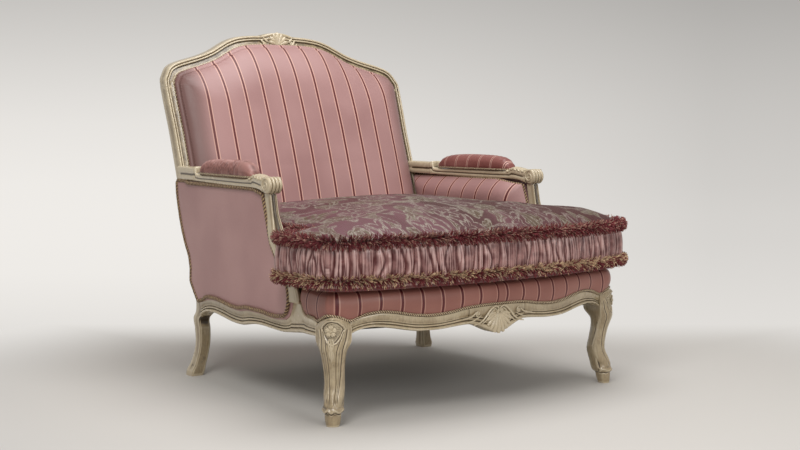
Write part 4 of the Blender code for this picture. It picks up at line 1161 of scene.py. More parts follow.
@dataclass(frozen=True)
class Finish:
    """A finish: the slot that it belongs to, and how it looks."""

    slot: str

    def material(self) -> bpy.types.Material:
        """The finish's material, made once."""
        name = f"finish_{type(self).__name__.lower()}_{hash_words(repr(self))}"
        return bpy.data.materials.get(name) or self.make(Shader(name))

    def make(self, shader: Shader) -> bpy.types.Material:
        """Build the material."""
        raise NotImplementedError


@dataclass(frozen=True)
class PaintedWood(Finish):
    """Cream paint, with brown glaze wiped into its hollows and painted shade deepening them, and pale worn
    edges painted lighter as highlights.
    """

    slot: str = "painted_wood"
    paint: Colour = (0.335, 0.255, 0.150)
    pale: Colour = (0.475, 0.385, 0.250)
    glaze: Colour = (0.048, 0.028, 0.010)
    stain: Colour = (0.245, 0.175, 0.080)
    rubbed: Colour = (0.66, 0.57, 0.41)
    brushed: Point = (260.0, 260.0, 40.0)

    def make(self, shader: Shader) -> bpy.types.Material:
        """Build the material.

        Args:
            shader: The material in the making.

        Returns:
            The material.
        """
        place, hollow = shader.place(), shader.read("hollow")
        cloud, patch = shader.noise(place, 9.0, 4.0, 0.6), shader.noise(place, 38.0, 3.0, 0.6)
        brush = shader.noise(shader.stretch(place, self.brushed), 1.0, 3.0, 0.6)
        base = shader.mix(shader.level(cloud, 0.35, 0.68), self.paint, self.pale)
        base = shader.mix(shader.level(patch, 0.48, 0.72, 0.0, 0.34), base, self.stain)
        base = shader.mix(shader.level(brush, 0.3, 0.75, 0.0, 0.30), base, self.glaze)
        # Glaze stays in the hollows, deepened there into painted shade, and the paint is worn pale on the
        # edges, lightened there into a painted highlight
        glaze_and_painted_shade = shader.level(hollow + (patch - 0.5) * 0.7, -0.03, 0.42, 0.0, 0.97)
        base = shader.mix(glaze_and_painted_shade, base, self.glaze)
        # Edges are painted lighter: partly paint worn pale, partly a painted highlight
        base = shader.mix(shader.level(hollow, -0.10, -0.70, 0.0, 0.55), base, self.rubbed)
        rough = shader.level(cloud, 0.3, 0.7, 0.20, 0.32) + glaze_and_painted_shade * 0.2
        return shader.close(Base_Color=base, Roughness=rough, Normal=shader.bump(brush, 0.0003, 0.6),
                            Coat_Weight=0.45, Coat_Roughness=0.12)


class Weave(Enum):
    """Which coordinate the stripes of a satin are counted along."""

    X = 0
    Y = 1
    UV = 2


@dataclass(frozen=True)
class Satin(Finish):
    """Dusty rose satin, plain or with burgundy lines between two pale ones."""

    slot: str = "striped_satin"
    weave: Weave = Weave.X
    period: float = 0.067
    shift: float = 0.0
    striped: bool = True
    base: Colour = (0.400, 0.228, 0.218)
    deep: Colour = (0.338, 0.184, 0.176)
    line: Colour = (0.100, 0.012, 0.014)
    pale: Colour = (0.60, 0.35, 0.29)
    line_half: float = 0.0030
    pale_half: float = 0.0060
    soft: float = 0.0003
    reach: float = 9.0
    boxing: Colour = (0.130, 0.062, 0.054)
    lean: float = 0.0
    fine: Point = (1400.0, 1400.0, 260.0)
    ribbed: Point = (90.0, 90.0, 1500.0)

    def make(self, shader: Shader) -> bpy.types.Material:
        """Build the material.

        Args:
            shader: The material in the making.

        Returns:
            The material.
        """
        place = shader.place()
        x, y, z = shader.split(place)
        run = shader.split(shader.uv())[0] if self.weave is Weave.UV else (x, y)[self.weave.value]
        if self.lean:
            run = run + z * self.lean
        # Cloudy patches of a deeper tone, painted as the satin's uneven sheen
        cloud = shader.noise(place, 5.0)
        colour = shader.mix(shader.level(cloud, 0.3, 0.7), self.base, self.deep)
        if self.striped:
            # The boxing at the sides of the back is cut from between the stripes
            away = (run - self.shift).fold(self.period / 2) + shader.math("GREATER_THAN", abs(run), self.reach)
            for half, ink in ((self.pale_half, self.pale), (self.line_half, self.line)):
                inked = shader.level(away, half - self.soft, half + self.soft, 1.0, 0.0)
                colour = shader.mix(inked, colour, ink)
        # Painted shade darkens the sides of the back beyond the stripes, strongly at the left and less at the
        # right
        near = shader.level(run, -self.reach - 0.008, 0.062 - self.reach, 0.92, 0.0)
        far = shader.level(run, self.reach - 0.045, self.reach + 0.010, 0.0, 0.40)
        colour = shader.mix(near.most(far), colour, self.boxing)
        threads, ribs = shader.threads(place, self.fine), shader.threads(place, self.ribbed)
        colour = shader.mix(shader.level(threads, 0.3, 0.7, 0.0, 0.10), colour, self.line)
        normal = shader.bump(ribs, 0.00015, 0.5, shader.bump(threads, 0.00012, 0.6))
        return shader.close(
            Base_Color=colour, Roughness=shader.level(ribs, 0.3, 0.7, 0.36, 0.48), Normal=normal,
            Specular_IOR_Level=0.45, Sheen_Weight=0.12, Sheen_Roughness=0.35, Sheen_Tint=(1.0, 0.82, 0.80),
        )


@dataclass(frozen=True)
class Brocade(Finish):
    """Wine-coloured brocade, with pale flowers among scrolling leaves of silver and old gold."""

    slot: str = "brocade"
    ground: Colour = (0.055, 0.011, 0.012)
    mauve: Colour = (0.128, 0.048, 0.060)
    leaf: Colour = (0.105, 0.080, 0.045)
    thread: Colour = (0.29, 0.255, 0.215)
    repeat: float = 0.180
    squeeze: float = 0.62
    sway: Point = (0.8, 0.8, 0.0)
    hatching: float = 17.0
    worn: Point = (520.0, 150.0, 1.0)
    stippled: Point = (420.0, 160.0, 1.0)
    woven: Point = (1300.0, 1300.0, 1300.0)

    def make(self, shader: Shader) -> bpy.types.Material:
        """Build the material.

        Args:
            shader: The material in the making.

        Returns:
            The material.
        """
        place = shader.place()
        x = shader.split(place)[0]
        flat = shader.stretch(place, (1 / self.repeat, self.squeeze / self.repeat, 0.0))
        wander = shader.vector("SUBTRACT", shader.noise(flat, 1.7, 1.5, out=1), (0.5, 0.5, 0.5))
        swirl = shader.vector("ADD", flat, shader.vector("MULTIPLY", wander, self.sway))
        petals, body = self.flowers(shader, flat, 1.25, 0.38, 2.5)
        rims, leaves = self.flowers(shader, swirl, 2.5, 0.45, 1.5)
        stems = self.contour(shader, swirl, 1.6, 4.0, 0.075)
        beside = 1.0 - body
        strokes = shader.split(shader.stretch(swirl, (self.hatching, 0.0, 0.0)))[0].fold(0.5)
        filled = leaves * beside * (shader.level(strokes, 0.12, 0.34, 0.25, 1.0) * 0.85)
        bright = petals.most(rims.most(stems * 0.8) * beside)
        # Painted sheen: the ground is lighter and mauve towards the left, darker towards the right
        fade = shader.noise(flat, 1.1) + x * -0.50
        colour = shader.mix(shader.level(fade, 0.42, 0.66), self.ground, self.mauve)
        colour = shader.mix(body * 0.30, colour, self.mauve)
        colour = shader.mix(filled, colour, self.leaf)
        broken = shader.level(shader.threads(place, self.worn), 0.40, 0.58, 0.15, 0.95)
        # The pale threads are painted duller towards the right, with the painted sheen
        threads_painted_duller_right = bright * shader.level(x, -0.15, 0.45, 1.0, 0.60)
        colour = shader.mix(threads_painted_duller_right * broken, colour, self.thread)
        stipple = shader.level(shader.threads(place, self.stippled, 1.0), 0.52, 0.62)
        colour = shader.mix(stipple * 0.22, colour, self.leaf)
        weave = shader.threads(place, self.woven, 1.0)
        return shader.close(
            Base_Color=colour, Roughness=shader.level(weave, 0.3, 0.7, 0.42, 0.58),
            Normal=shader.bump(bright.most(filled) * 0.9 + weave, 0.0005, 0.8), Specular_IOR_Level=0.25,
        )

    def flowers(self, shader: Shader, flat: Value, scale: float, size: float,
                petals: float) -> tuple[Value, Value]:
        """Scattered flowers, each turned its own way.

        Args:
            shader: The material in the making.
            flat: Coordinates counted in repeats.
            scale: Flowers in a repeat.
            size: Their radius over their distance.
            petals: Half the number of petals.

        Returns:
            1 on the petals' outlines and veins, and 1 on the whole flower.
        """
        cells = shader.node("ShaderNodeTexVoronoi", {"Vector": flat, "Scale": scale, "Randomness": 0.75},
                            voronoi_dimensions="2D").outputs
        distance, tint, middle = (Value(shader, cells[name]) for name in ("Distance", "Color", "Position"))
        u, v, _ = shader.split(shader.vector("SUBTRACT", flat, middle))
        turn = shader.math("ARCTAN2", v, u) + shader.split(tint)[0] * tau
        lobes = abs(shader.math("COSINE", turn * petals))
        inner = distance / ((lobes * 0.45 + 0.55) * size)
        body = shader.level(inner, 0.94, 1.02, 1.0, 0.0)
        rings = shader.level((inner - 0.88).fold(0.25), 0.05, 0.09, 1.0, 0.0)
        veins = shader.level(lobes, 0.93, 0.99)
        return body * rings.most(veins * 0.8), body

    def contour(self, shader: Shader, flat: Value, scale: float, lines: float, width: float) -> Value:
        """Scrolling lines, which follow the levels of a cloud.

        Args:
            shader: The material in the making.
            flat: Coordinates counted in repeats.
            scale: Size of the cloud's swirls.
            lines: How many lines lie between its lowest and highest level.
            width: Their half width over their distance.

        Returns:
            1 on the lines, 0 beside them.
        """
        levels = shader.noise(flat, scale, 0.0) * lines
        return shader.level(levels.fold(0.5), width * 0.6, width, 1.0, 0.0)


@dataclass(frozen=True)
class Ruched(Finish):
    """Gathered satin, with painted shade in its folds and painted highlights on its puffs."""

    slot: str = "ruched_satin"
    base: Colour = (0.295, 0.148, 0.136)
    deep: Colour = (0.080, 0.015, 0.015)
    high: Colour = (0.66, 0.45, 0.42)
    gloss: float = 0.31
    fine: Point = (1500.0, 1500.0, 300.0)

    def make(self, shader: Shader) -> bpy.types.Material:
        """Build the material.

        Args:
            shader: The material in the making.

        Returns:
            The material.
        """
        place, hollow = shader.place(), shader.read("hollow")
        cloud = shader.noise(place, 40.0)
        colour = shader.mix(shader.level(cloud, 0.3, 0.7), self.base, self.deep)
        # Painted shade darkens the folds and a painted highlight lightens the puffs
        colour = shader.mix(shader.level(hollow, 0.0, 0.7, 0.0, 0.8), colour, self.deep)
        colour = shader.mix(shader.level(hollow, -0.1, -0.7, 0.0, 0.65), colour, self.high)
        return shader.close(
            Base_Color=colour, Roughness=shader.level(cloud, 0.3, 0.7, self.gloss - 0.05, self.gloss + 0.05),
            Normal=shader.bump(shader.threads(place, self.fine), 0.0001, 0.5), Specular_IOR_Level=0.5,
            Sheen_Weight=0.15, Sheen_Roughness=0.3, Sheen_Tint=(1.0, 0.85, 0.82),
        )


@dataclass(frozen=True)
class Yarn(Finish):
    """Cut yarn: strands of one colour among strands of another, lighter towards their tips."""

    slot: str = "fringe_yarn"
    root: Colour = (0.040, 0.009, 0.010)
    main: Colour = (0.190, 0.025, 0.034)
    tip: Colour = (0.285, 0.062, 0.068)
    odd: Colour = (0.58, 0.34, 0.26)
    odd_low: float = 0.20
    odd_high: float = 0.34

    def make(self, shader: Shader) -> bpy.types.Material:
        """Build the material.

        Args:
            shader: The material in the making.

        Returns:
            The material.
        """
        along, tint, lean = shader.read("along"), shader.read("tint"), shader.read("lean")
        colour = shader.ramp(along, ((0.0, self.root), (0.45, self.main), (1.0, self.tip)))
        half_odd = tuple(v * 0.62 for v in self.odd)
        pale = shader.ramp(along, ((0.0, self.root), (0.40, half_odd), (1.0, self.odd)))
        share = shader.level(lean, -0.75, 0.75, self.odd_low, self.odd_high)
        odd = shader.math("GREATER_THAN", share, shader.math("FRACT", tint * 13.0))
        colour = shader.mix(odd, colour, pale)
        colour = shader.mix(shader.level(tint, 0.0, 1.0, 0.0, 0.42), colour, self.root)
        fluff = shader.noise(shader.place(), 2600.0, 1.0)
        return shader.close(
            Base_Color=colour, Roughness=shader.level(fluff, 0.3, 0.7, 0.5, 0.7),
            Normal=shader.bump(fluff, 0.0003, 0.6), Specular_IOR_Level=0.35,
        )


@dataclass(frozen=True)
class Cord(Finish):
    """One ply of a twisted cord."""

    slot: str = "cord_trim"
    colour: Colour = (0.060, 0.016, 0.012)
    fleck: Colour = (0.12, 0.050, 0.030)
    flecks: float = 0.06
    groove: Colour = (0.035, 0.018, 0.010)

    def make(self, shader: Shader) -> bpy.types.Material:
        """Build the material.

        Args:
            shader: The material in the making.

        Returns:
            The material.
        """
        place = shader.place()
        spots, fibres = shader.noise(place, 420.0), shader.noise(place, 2400.0)
        fleck = shader.level(spots, 0.62 - self.flecks / 2, 0.70 - self.flecks / 2)
        colour = shader.mix(fleck, self.colour, self.fleck)
        # The plies are painted darker where they press together, as painted shade in the grooves
        colour = shader.mix(shader.level(shader.read("hollow"), 0.05, 0.8, 0.0, 0.75), colour, self.groove)
        return shader.close(
            Base_Color=colour, Roughness=shader.level(spots, 0.3, 0.7, 0.5, 0.7),
            Normal=shader.bump(fibres, 0.0003, 0.8), Sheen_Weight=0.2, Sheen_Roughness=0.4,
        )


@dataclass(frozen=True)
class Plain(Finish):
    """A simple finish of one material with its own grain: wood, jute, lining or metal."""

    slot: str = "plain_beech"
    low: Colour = (0.42, 0.29, 0.16)
    high: Colour = (0.58, 0.43, 0.26)
    grain: float = 60.0
    roughness: float = 0.7
    metallic: float = 0.0
    depth: float = 0.0003

    def make(self, shader: Shader) -> bpy.types.Material:
        """Build the material.

        Args:
            shader: The material in the making.

        Returns:
            The material.
        """
        grain = shader.noise(shader.stretch(shader.place(), (self.grain,) * 3), 1.0, 4.0, 0.6)
        return shader.close(
            Base_Color=shader.mix(shader.level(grain, 0.3, 0.7), self.low, self.high),
            Roughness=shader.level(grain, 0.3, 0.7, self.roughness - 0.08, self.roughness + 0.08),
            Metallic=self.metallic, Normal=shader.bump(grain, self.depth, 0.6),
        )


class Tree(Graph):
    """Builds one Geometry Nodes tree with named inputs."""

    def __init__(self, name: str, inputs: dict[str, str]) -> None:
        """Start a tree.

        Args:
            name: Its name.
            inputs: The kind of each named input.
        """
        super().__init__(bpy.data.node_groups.new(name, "GeometryNodeTree"))
        face = self.tree.interface
        face.new_socket("Geometry", in_out="INPUT", socket_type="NodeSocketGeometry")
        self.keys = {
            label: face.new_socket(label, in_out="INPUT", socket_type="NodeSocket" + kind).identifier
            for label, kind in inputs.items()
        }
        face.new_socket("Geometry", in_out="OUTPUT", socket_type="NodeSocketGeometry")
        start = self.tree.nodes.new("NodeGroupInput").outputs
        self.start = {label: Value(self, start[label]) for label in ("Geometry", *inputs)}

    def scaled(self, direction: Value, size: Value) -> Value:
        """A vector times a number."""
        return self.add("ShaderNodeVectorMath", {0: direction, 3: size}, operation="SCALE")

    def random(self, low: float, high: float, step: int, own: Value | None = None) -> Value:
        """A random number for each point or instance, or for each number of its own.

        Args:
            low: The lowest.
            high: The highest.
            step: What is added to the tree's seed.
            own: The number that points share when they get the same.

        Returns:
            The number.
        """
        seed = self.start["Seed"] + step if step else self.start["Seed"]
        inputs = {2: low, 3: high, 8: seed}
        if own is not None:
            inputs[7] = own
        return self.add("FunctionNodeRandomValue", inputs, 1)

    def store(self, geometry: Value, name: str, value: Value, kind: str = "FLOAT",
              domain: str = "POINT") -> Value:
        """Keep a value on the geometry under a name."""
        return self.add("GeometryNodeStoreNamedAttribute", {"Geometry": geometry, "Name": name, "Value": value},
                        data_type=kind, domain=domain)

    def recall(self, name: str, kind: str = "FLOAT") -> Value:
        """A value that was kept on the geometry."""
        return self.add("GeometryNodeInputNamedAttribute", {"Name": name}, data_type=kind)

    def end(self, geometry: Value) -> "Tree":
        """Realize what the tree makes and finish it.

        Args:
            geometry: What it makes.

        Returns:
            The tree.
        """
        real = self.add("GeometryNodeRealizeInstances", {0: geometry})
        self.feed(self.tree.nodes.new("NodeGroupOutput").inputs[0], real)
        return self

    def run(self, name: str, line: Array, closed: bool, values: dict[str, object]) -> Object:
        """Run the tree on a line and keep the result as a plain mesh.

        Args:
            name: Name of the piece.
            line: The line's points.
            closed: Whether it is a loop.
            values: What its named inputs get.

        Returns:
            The piece.
        """
        curve = bpy.data.curves.new(name + "_line", "CURVE")
        curve.dimensions = "3D"
        spline = curve.splines.new("POLY")
        spline.points.add(len(line) - 1)
        spline.points.foreach_set("co", np.column_stack([line, np.ones(len(line))]).ravel())
        spline.use_cyclic_u = closed
        holder = bpy.data.objects.new(name + "_line", curve)
        bpy.context.collection.objects.link(holder)
        modifier = holder.modifiers.new("tree", "NODES")
        modifier.node_group = self.tree
        for label, value in values.items():
            modifier[self.keys[label]] = value
        graph = bpy.context.evaluated_depsgraph_get()
        graph.update()
        mesh = bpy.data.meshes.new_from_object(
            holder.evaluated_get(graph), preserve_all_data_layers=True, depsgraph=graph)
        holder.modifiers.remove(modifier)
        bpy.data.objects.remove(holder)
        mesh.name = name
        mesh.shade_smooth()
        piece = bpy.data.objects.new(name, mesh)
        bpy.context.collection.objects.link(piece)
        return piece


class TwistedCord:
    """The rope-like cord that covers every edge between cloth and wood."""

    PLY = 0.0023
    PITCH = 0.0195
    STEP = 0.0021
    DARK = Cord()
    GOLD = Cord(colour=(0.42, 0.315, 0.170), fleck=(0.66, 0.55, 0.36), flecks=0.40)
    OLD_GOLD = Cord(colour=(0.24, 0.155, 0.070), fleck=(0.50, 0.37, 0.19), flecks=0.30)

    def __init__(self) -> None:
        """Lay out its tree, with two dark plies and two gold ones."""
        tree = Tree("twisted_cord", {
            "Ply Radius": "Float", "Pitch": "Float", "Step": "Float",
            "Dark Ply": "Material", "Gold Ply": "Material",
        })
        start = tree.start
        radius = start["Ply Radius"]
        line = tree.add("GeometryNodeResampleCurve", {"Curve": start["Geometry"], "Length": start["Step"]},
                        mode="LENGTH")
        turn = tree.add("GeometryNodeSplineParameter", out="Length") / start["Pitch"] * tau
        tangent, normal = tree.add("GeometryNodeInputTangent"), tree.add("GeometryNodeInputNormal")
        side = tree.vector("CROSS_PRODUCT", tangent, normal)
        place = tree.add("GeometryNodeInputPosition")
        marked = tree.store(line, "centre", place, "FLOAT_VECTOR")
        ring = tree.add("GeometryNodeCurvePrimitiveCircle", {"Resolution": 5, "Radius": radius * 1.15})
        reach = radius * 1.30
        joined = tree.node("GeometryNodeJoinGeometry")
        for quarter in range(4):
            angle = turn + quarter * pi / 2
            offset = tree.vector("ADD", tree.scaled(normal, tree.math("COSINE", angle) * reach),
                                 tree.scaled(side, tree.math("SINE", angle) * reach))
            moved = tree.add("GeometryNodeSetPosition", {"Geometry": marked, "Offset": offset})
            body = tree.add("GeometryNodeCurveToMesh",
                            {"Curve": moved, "Profile Curve": ring, "Fill Caps": True})
            # How deep each point lies between the plies, for the painted shade in the grooves
            away = tree.vector("DISTANCE", place, tree.recall("centre", "FLOAT_VECTOR"))
            hollow = tree.add("ShaderNodeMapRange", {0: away / radius, 1: 1.25, 2: 2.15, 3: 1.0, 4: -0.2})
            tree.feed(joined.inputs[0], tree.add("GeometryNodeSetMaterial", {
                "Geometry": tree.store(body, "hollow", hollow),
                "Material": start["Gold Ply" if quarter % 2 else "Dark Ply"]}))
        self.tree = tree.end(Value(tree, joined.outputs[0]))

    def lay(self, name: str, line: Array, closed: bool, nodes: Sequence[str] = (), size: float = 1.0,
            worn: bool = False) -> Object:
        """Lay the cord along a line.

        Args:
            name: Name of the piece.
            line: The line's points.
            closed: Whether it is a loop.
            nodes: The nodes of the carcass model that it replaces.
            size: Its thickness over the usual.
            worn: Whether its gold has gone dark.

        Returns:
            The piece.
        """
        piece = self.tree.run(name, line, closed, {
            "Ply Radius": self.PLY * size, "Pitch": self.PITCH * size, "Step": self.STEP,
            "Dark Ply": self.DARK.material(), "Gold Ply": (self.OLD_GOLD if worn else self.GOLD).material(),
        })
        piece.data.attributes.remove(piece.data.attributes["centre"])
        return dress(piece, self.DARK, "frame", *nodes)


class CutFringe:
    """Cut yarn that stands out of a seam along a path."""

    def __init__(self) -> None:
        """Lay out its tree."""
        tree = Tree("cut_fringe", {
            "Strands": "Int", "Length": "Float", "Thickness": "Float",
            "Lean Low": "Float", "Lean High": "Float",
            "Curl": "Float", "Droop": "Float", "Tuft": "Float", "Seed": "Int", "Yarn": "Material",
        })
        start = tree.start
        line = tree.add("GeometryNodeResampleCurve", {"Curve": start["Geometry"], "Count": start["Strands"]},
                        mode="COUNT")
        tangent = tree.add("GeometryNodeInputTangent")
        outward = tree.vector("NORMALIZE", tree.vector("CROSS_PRODUCT", tangent, (0.0, 0.0, 1.0)))
        tuft = tree.math("FLOOR", tree.add("GeometryNodeInputIndex") / start["Tuft"])
        # The strands of a tuft lean and sway together, each a little its own way
        spread = tree.random(0.0, 1.0, 0, tuft) * 0.80 + tree.random(0.0, 0.20, 4)
        lean = tree.add("ShaderNodeMapRange", {0: spread, 3: start["Lean Low"], 4: start["Lean High"]})
        sway = tree.random(-0.35, 0.35, 1, tuft) + tree.random(-0.12, 0.12, 5)
        height = tree.math("SINE", lean)
        direction = tree.vector("ADD", tree.scaled(outward, tree.math("COSINE", lean)),
                                tree.add("ShaderNodeCombineXYZ", {2: height}))
        direction = tree.vector("ADD", direction, tree.scaled(tangent, sway))
        turned = tree.add("FunctionNodeAlignRotationToVector", {"Vector": direction}, axis="Z")
        length = start["Length"] * tree.random(0.84, 1.02, 2)
        size = tree.add("ShaderNodeCombineXYZ", {0: start["Thickness"], 1: start["Thickness"], 2: length})
        strand = tree.add("GeometryNodeMeshCone", {
            "Vertices": 3, "Side Segments": 2, "Radius Top": 0.85, "Radius Bottom": 0.8, "Depth": 1.0},
            fill_type="NONE")
        strand = tree.store(strand, "along", tree.split(tree.add("GeometryNodeInputPosition"))[2])
        rows = tree.add("GeometryNodeInstanceOnPoints", {
            "Points": line, "Instance": strand, "Rotation": turned, "Scale": size})
        rows = tree.store(rows, "tint", tree.random(0.0, 1.0, 3, tuft), domain="INSTANCE")
        rows = tree.store(rows, "lean", height, domain="INSTANCE")
        real = tree.add("GeometryNodeRealizeInstances", {0: rows})
        # Each strand curls and falls more towards its tip
        along = tree.recall("along")
        noise = tree.add("ShaderNodeTexNoise", {"Scale": 210.0}, "Color")
        curl = tree.scaled(tree.vector("SUBTRACT", noise, (0.5, 0.5, 0.5)),
                           along * start["Length"] * start["Curl"])
        fall = along * along * (start["Droop"] * -1.0)
        bend = tree.vector("ADD", curl, tree.add("ShaderNodeCombineXYZ", {2: fall}))
        bent = tree.add("GeometryNodeSetPosition", {"Geometry": real, "Offset": bend})
        self.tree = tree.end(tree.add("GeometryNodeSetMaterial", {"Geometry": bent, "Material": start["Yarn"]}))

    def sew(self, name: str, line: Array, yarn: Yarn, node: str, values: dict[str, float | int]) -> Object:
        """Sew the fringe along a closed line of the cushion.

        Args:
            name: Name of the piece.
            line: The seam's points.
            yarn: The finish.
            node: The node of the carcass model that it replaces.
            values: Sizes for the tree's inputs.

        Returns:
            The piece.
        """
        piece = self.tree.run(name, line, True, {**values, "Yarn": yarn.material()})
        return dress(piece, yarn, "seat_cushion", node)


def carve(skin: Skin, place: Place, line: Rows, width: float | Sequence[float], flat: float = 0.7,
          lift: float = 0.0, sides: int = 10, count: int = 24) -> None:
    """Lay a carved bead on a face.

    Args:
        skin: The piece in the making.
        place: Turns across, up and out into a point.
        line: The bead's line as across and up.
        width: Its half width, one or one for each place along.
        flat: Its height over its half width.
        lift: How far its middle stands off the face.
        sides: Points around it.
        count: Points along it.
    """
    run = smooth_line(line, count)
    path = np.array([place(u, v, lift) for u, v in run])
    out = np.array([place(u, v, lift + 0.001) for u, v in run]) - path
    if not np.isscalar(width):
        width = np.interp(np.linspace(0, 1, count), np.linspace(0, 1, len(width)), width)
    skin.tube(path, width, sides, flat, unit(out))


def scallop(skin: Skin, place: Place, root: Sequence[float], ribs: int, spread: float,
            reach: Callable[[float], float], heading: float, lift: float = 0.0, fat: float = 0.9) -> None:
    """Carve a shell: ribs that fan out of a root.

    Args:
        skin: The piece in the making.
        place: Turns across, up and out into a point.
        root: Where the ribs start.
        ribs: How many.
        spread: The fan's whole angle.
        reach: Length of a rib at its share, -1 to 1, of the fan.
        heading: Direction of its middle.
        lift: How far it stands off the face.
        fat: How far the ribs fill the fan.
    """
    for i in range(ribs):
        share = 2 * i / (ribs - 1) - 1
        angle = heading + share * spread / 2
        length = reach(share)
        tip = length * spread / (ribs - 1) / 2 * fat
        line = [(root[0] + cos(angle) * length * s, root[1] + sin(angle) * length * s)
                for s in (0.1, 0.4, 0.7, 1.0)]
        carve(skin, place, line, np.array([0.22, 0.45, 0.75, 1.0, 0.98, 0.6]) * tip, 0.85, lift, 10, 18)


def volute(skin: Skin, place: Place, centre: Sequence[float], radius: float, width: float, start: float,
           turns: float, lift: float = 0.0) -> None:
    """Carve a small scroll with an eye.

    Args:
        skin: The piece in the making.
        place: Turns across, up and out into a point.
        centre: Its eye.
        radius: Its size.
        width: Half width of its bead.
        start: Where it starts, in turns.
        turns: How far it winds.
        lift: How far it stands off the face.
    """
    line = spiral(centre, radius, radius * 0.25, start, turns, 30)
    carve(skin, place, line, np.array([0.7, 1.0, 0.8, 0.6, 0.5]) * width, 0.8, lift, 8, 40)
    eye = np.array([place(centre[0], centre[1], lift + d) for d in (-0.001, width * 0.9)])
    skin.tube(eye, np.array([radius * 0.3, radius * 0.16]), 10)


def finish_wood(skin: Skin, wood: PaintedWood, node: str) -> Object:
    """Make a carved piece, mark its hollows for the glaze and the painted shade, and dress it.

    Args:
        skin: The piece in the making.
        wood: Its finish.
        node: The node of the carcass model that it replaces.

    Returns:
        The piece.
    """
    piece = skin.build(50.0)
    mark_hollows(piece, 0.0005)
    return dress(piece, wood, "frame", node)


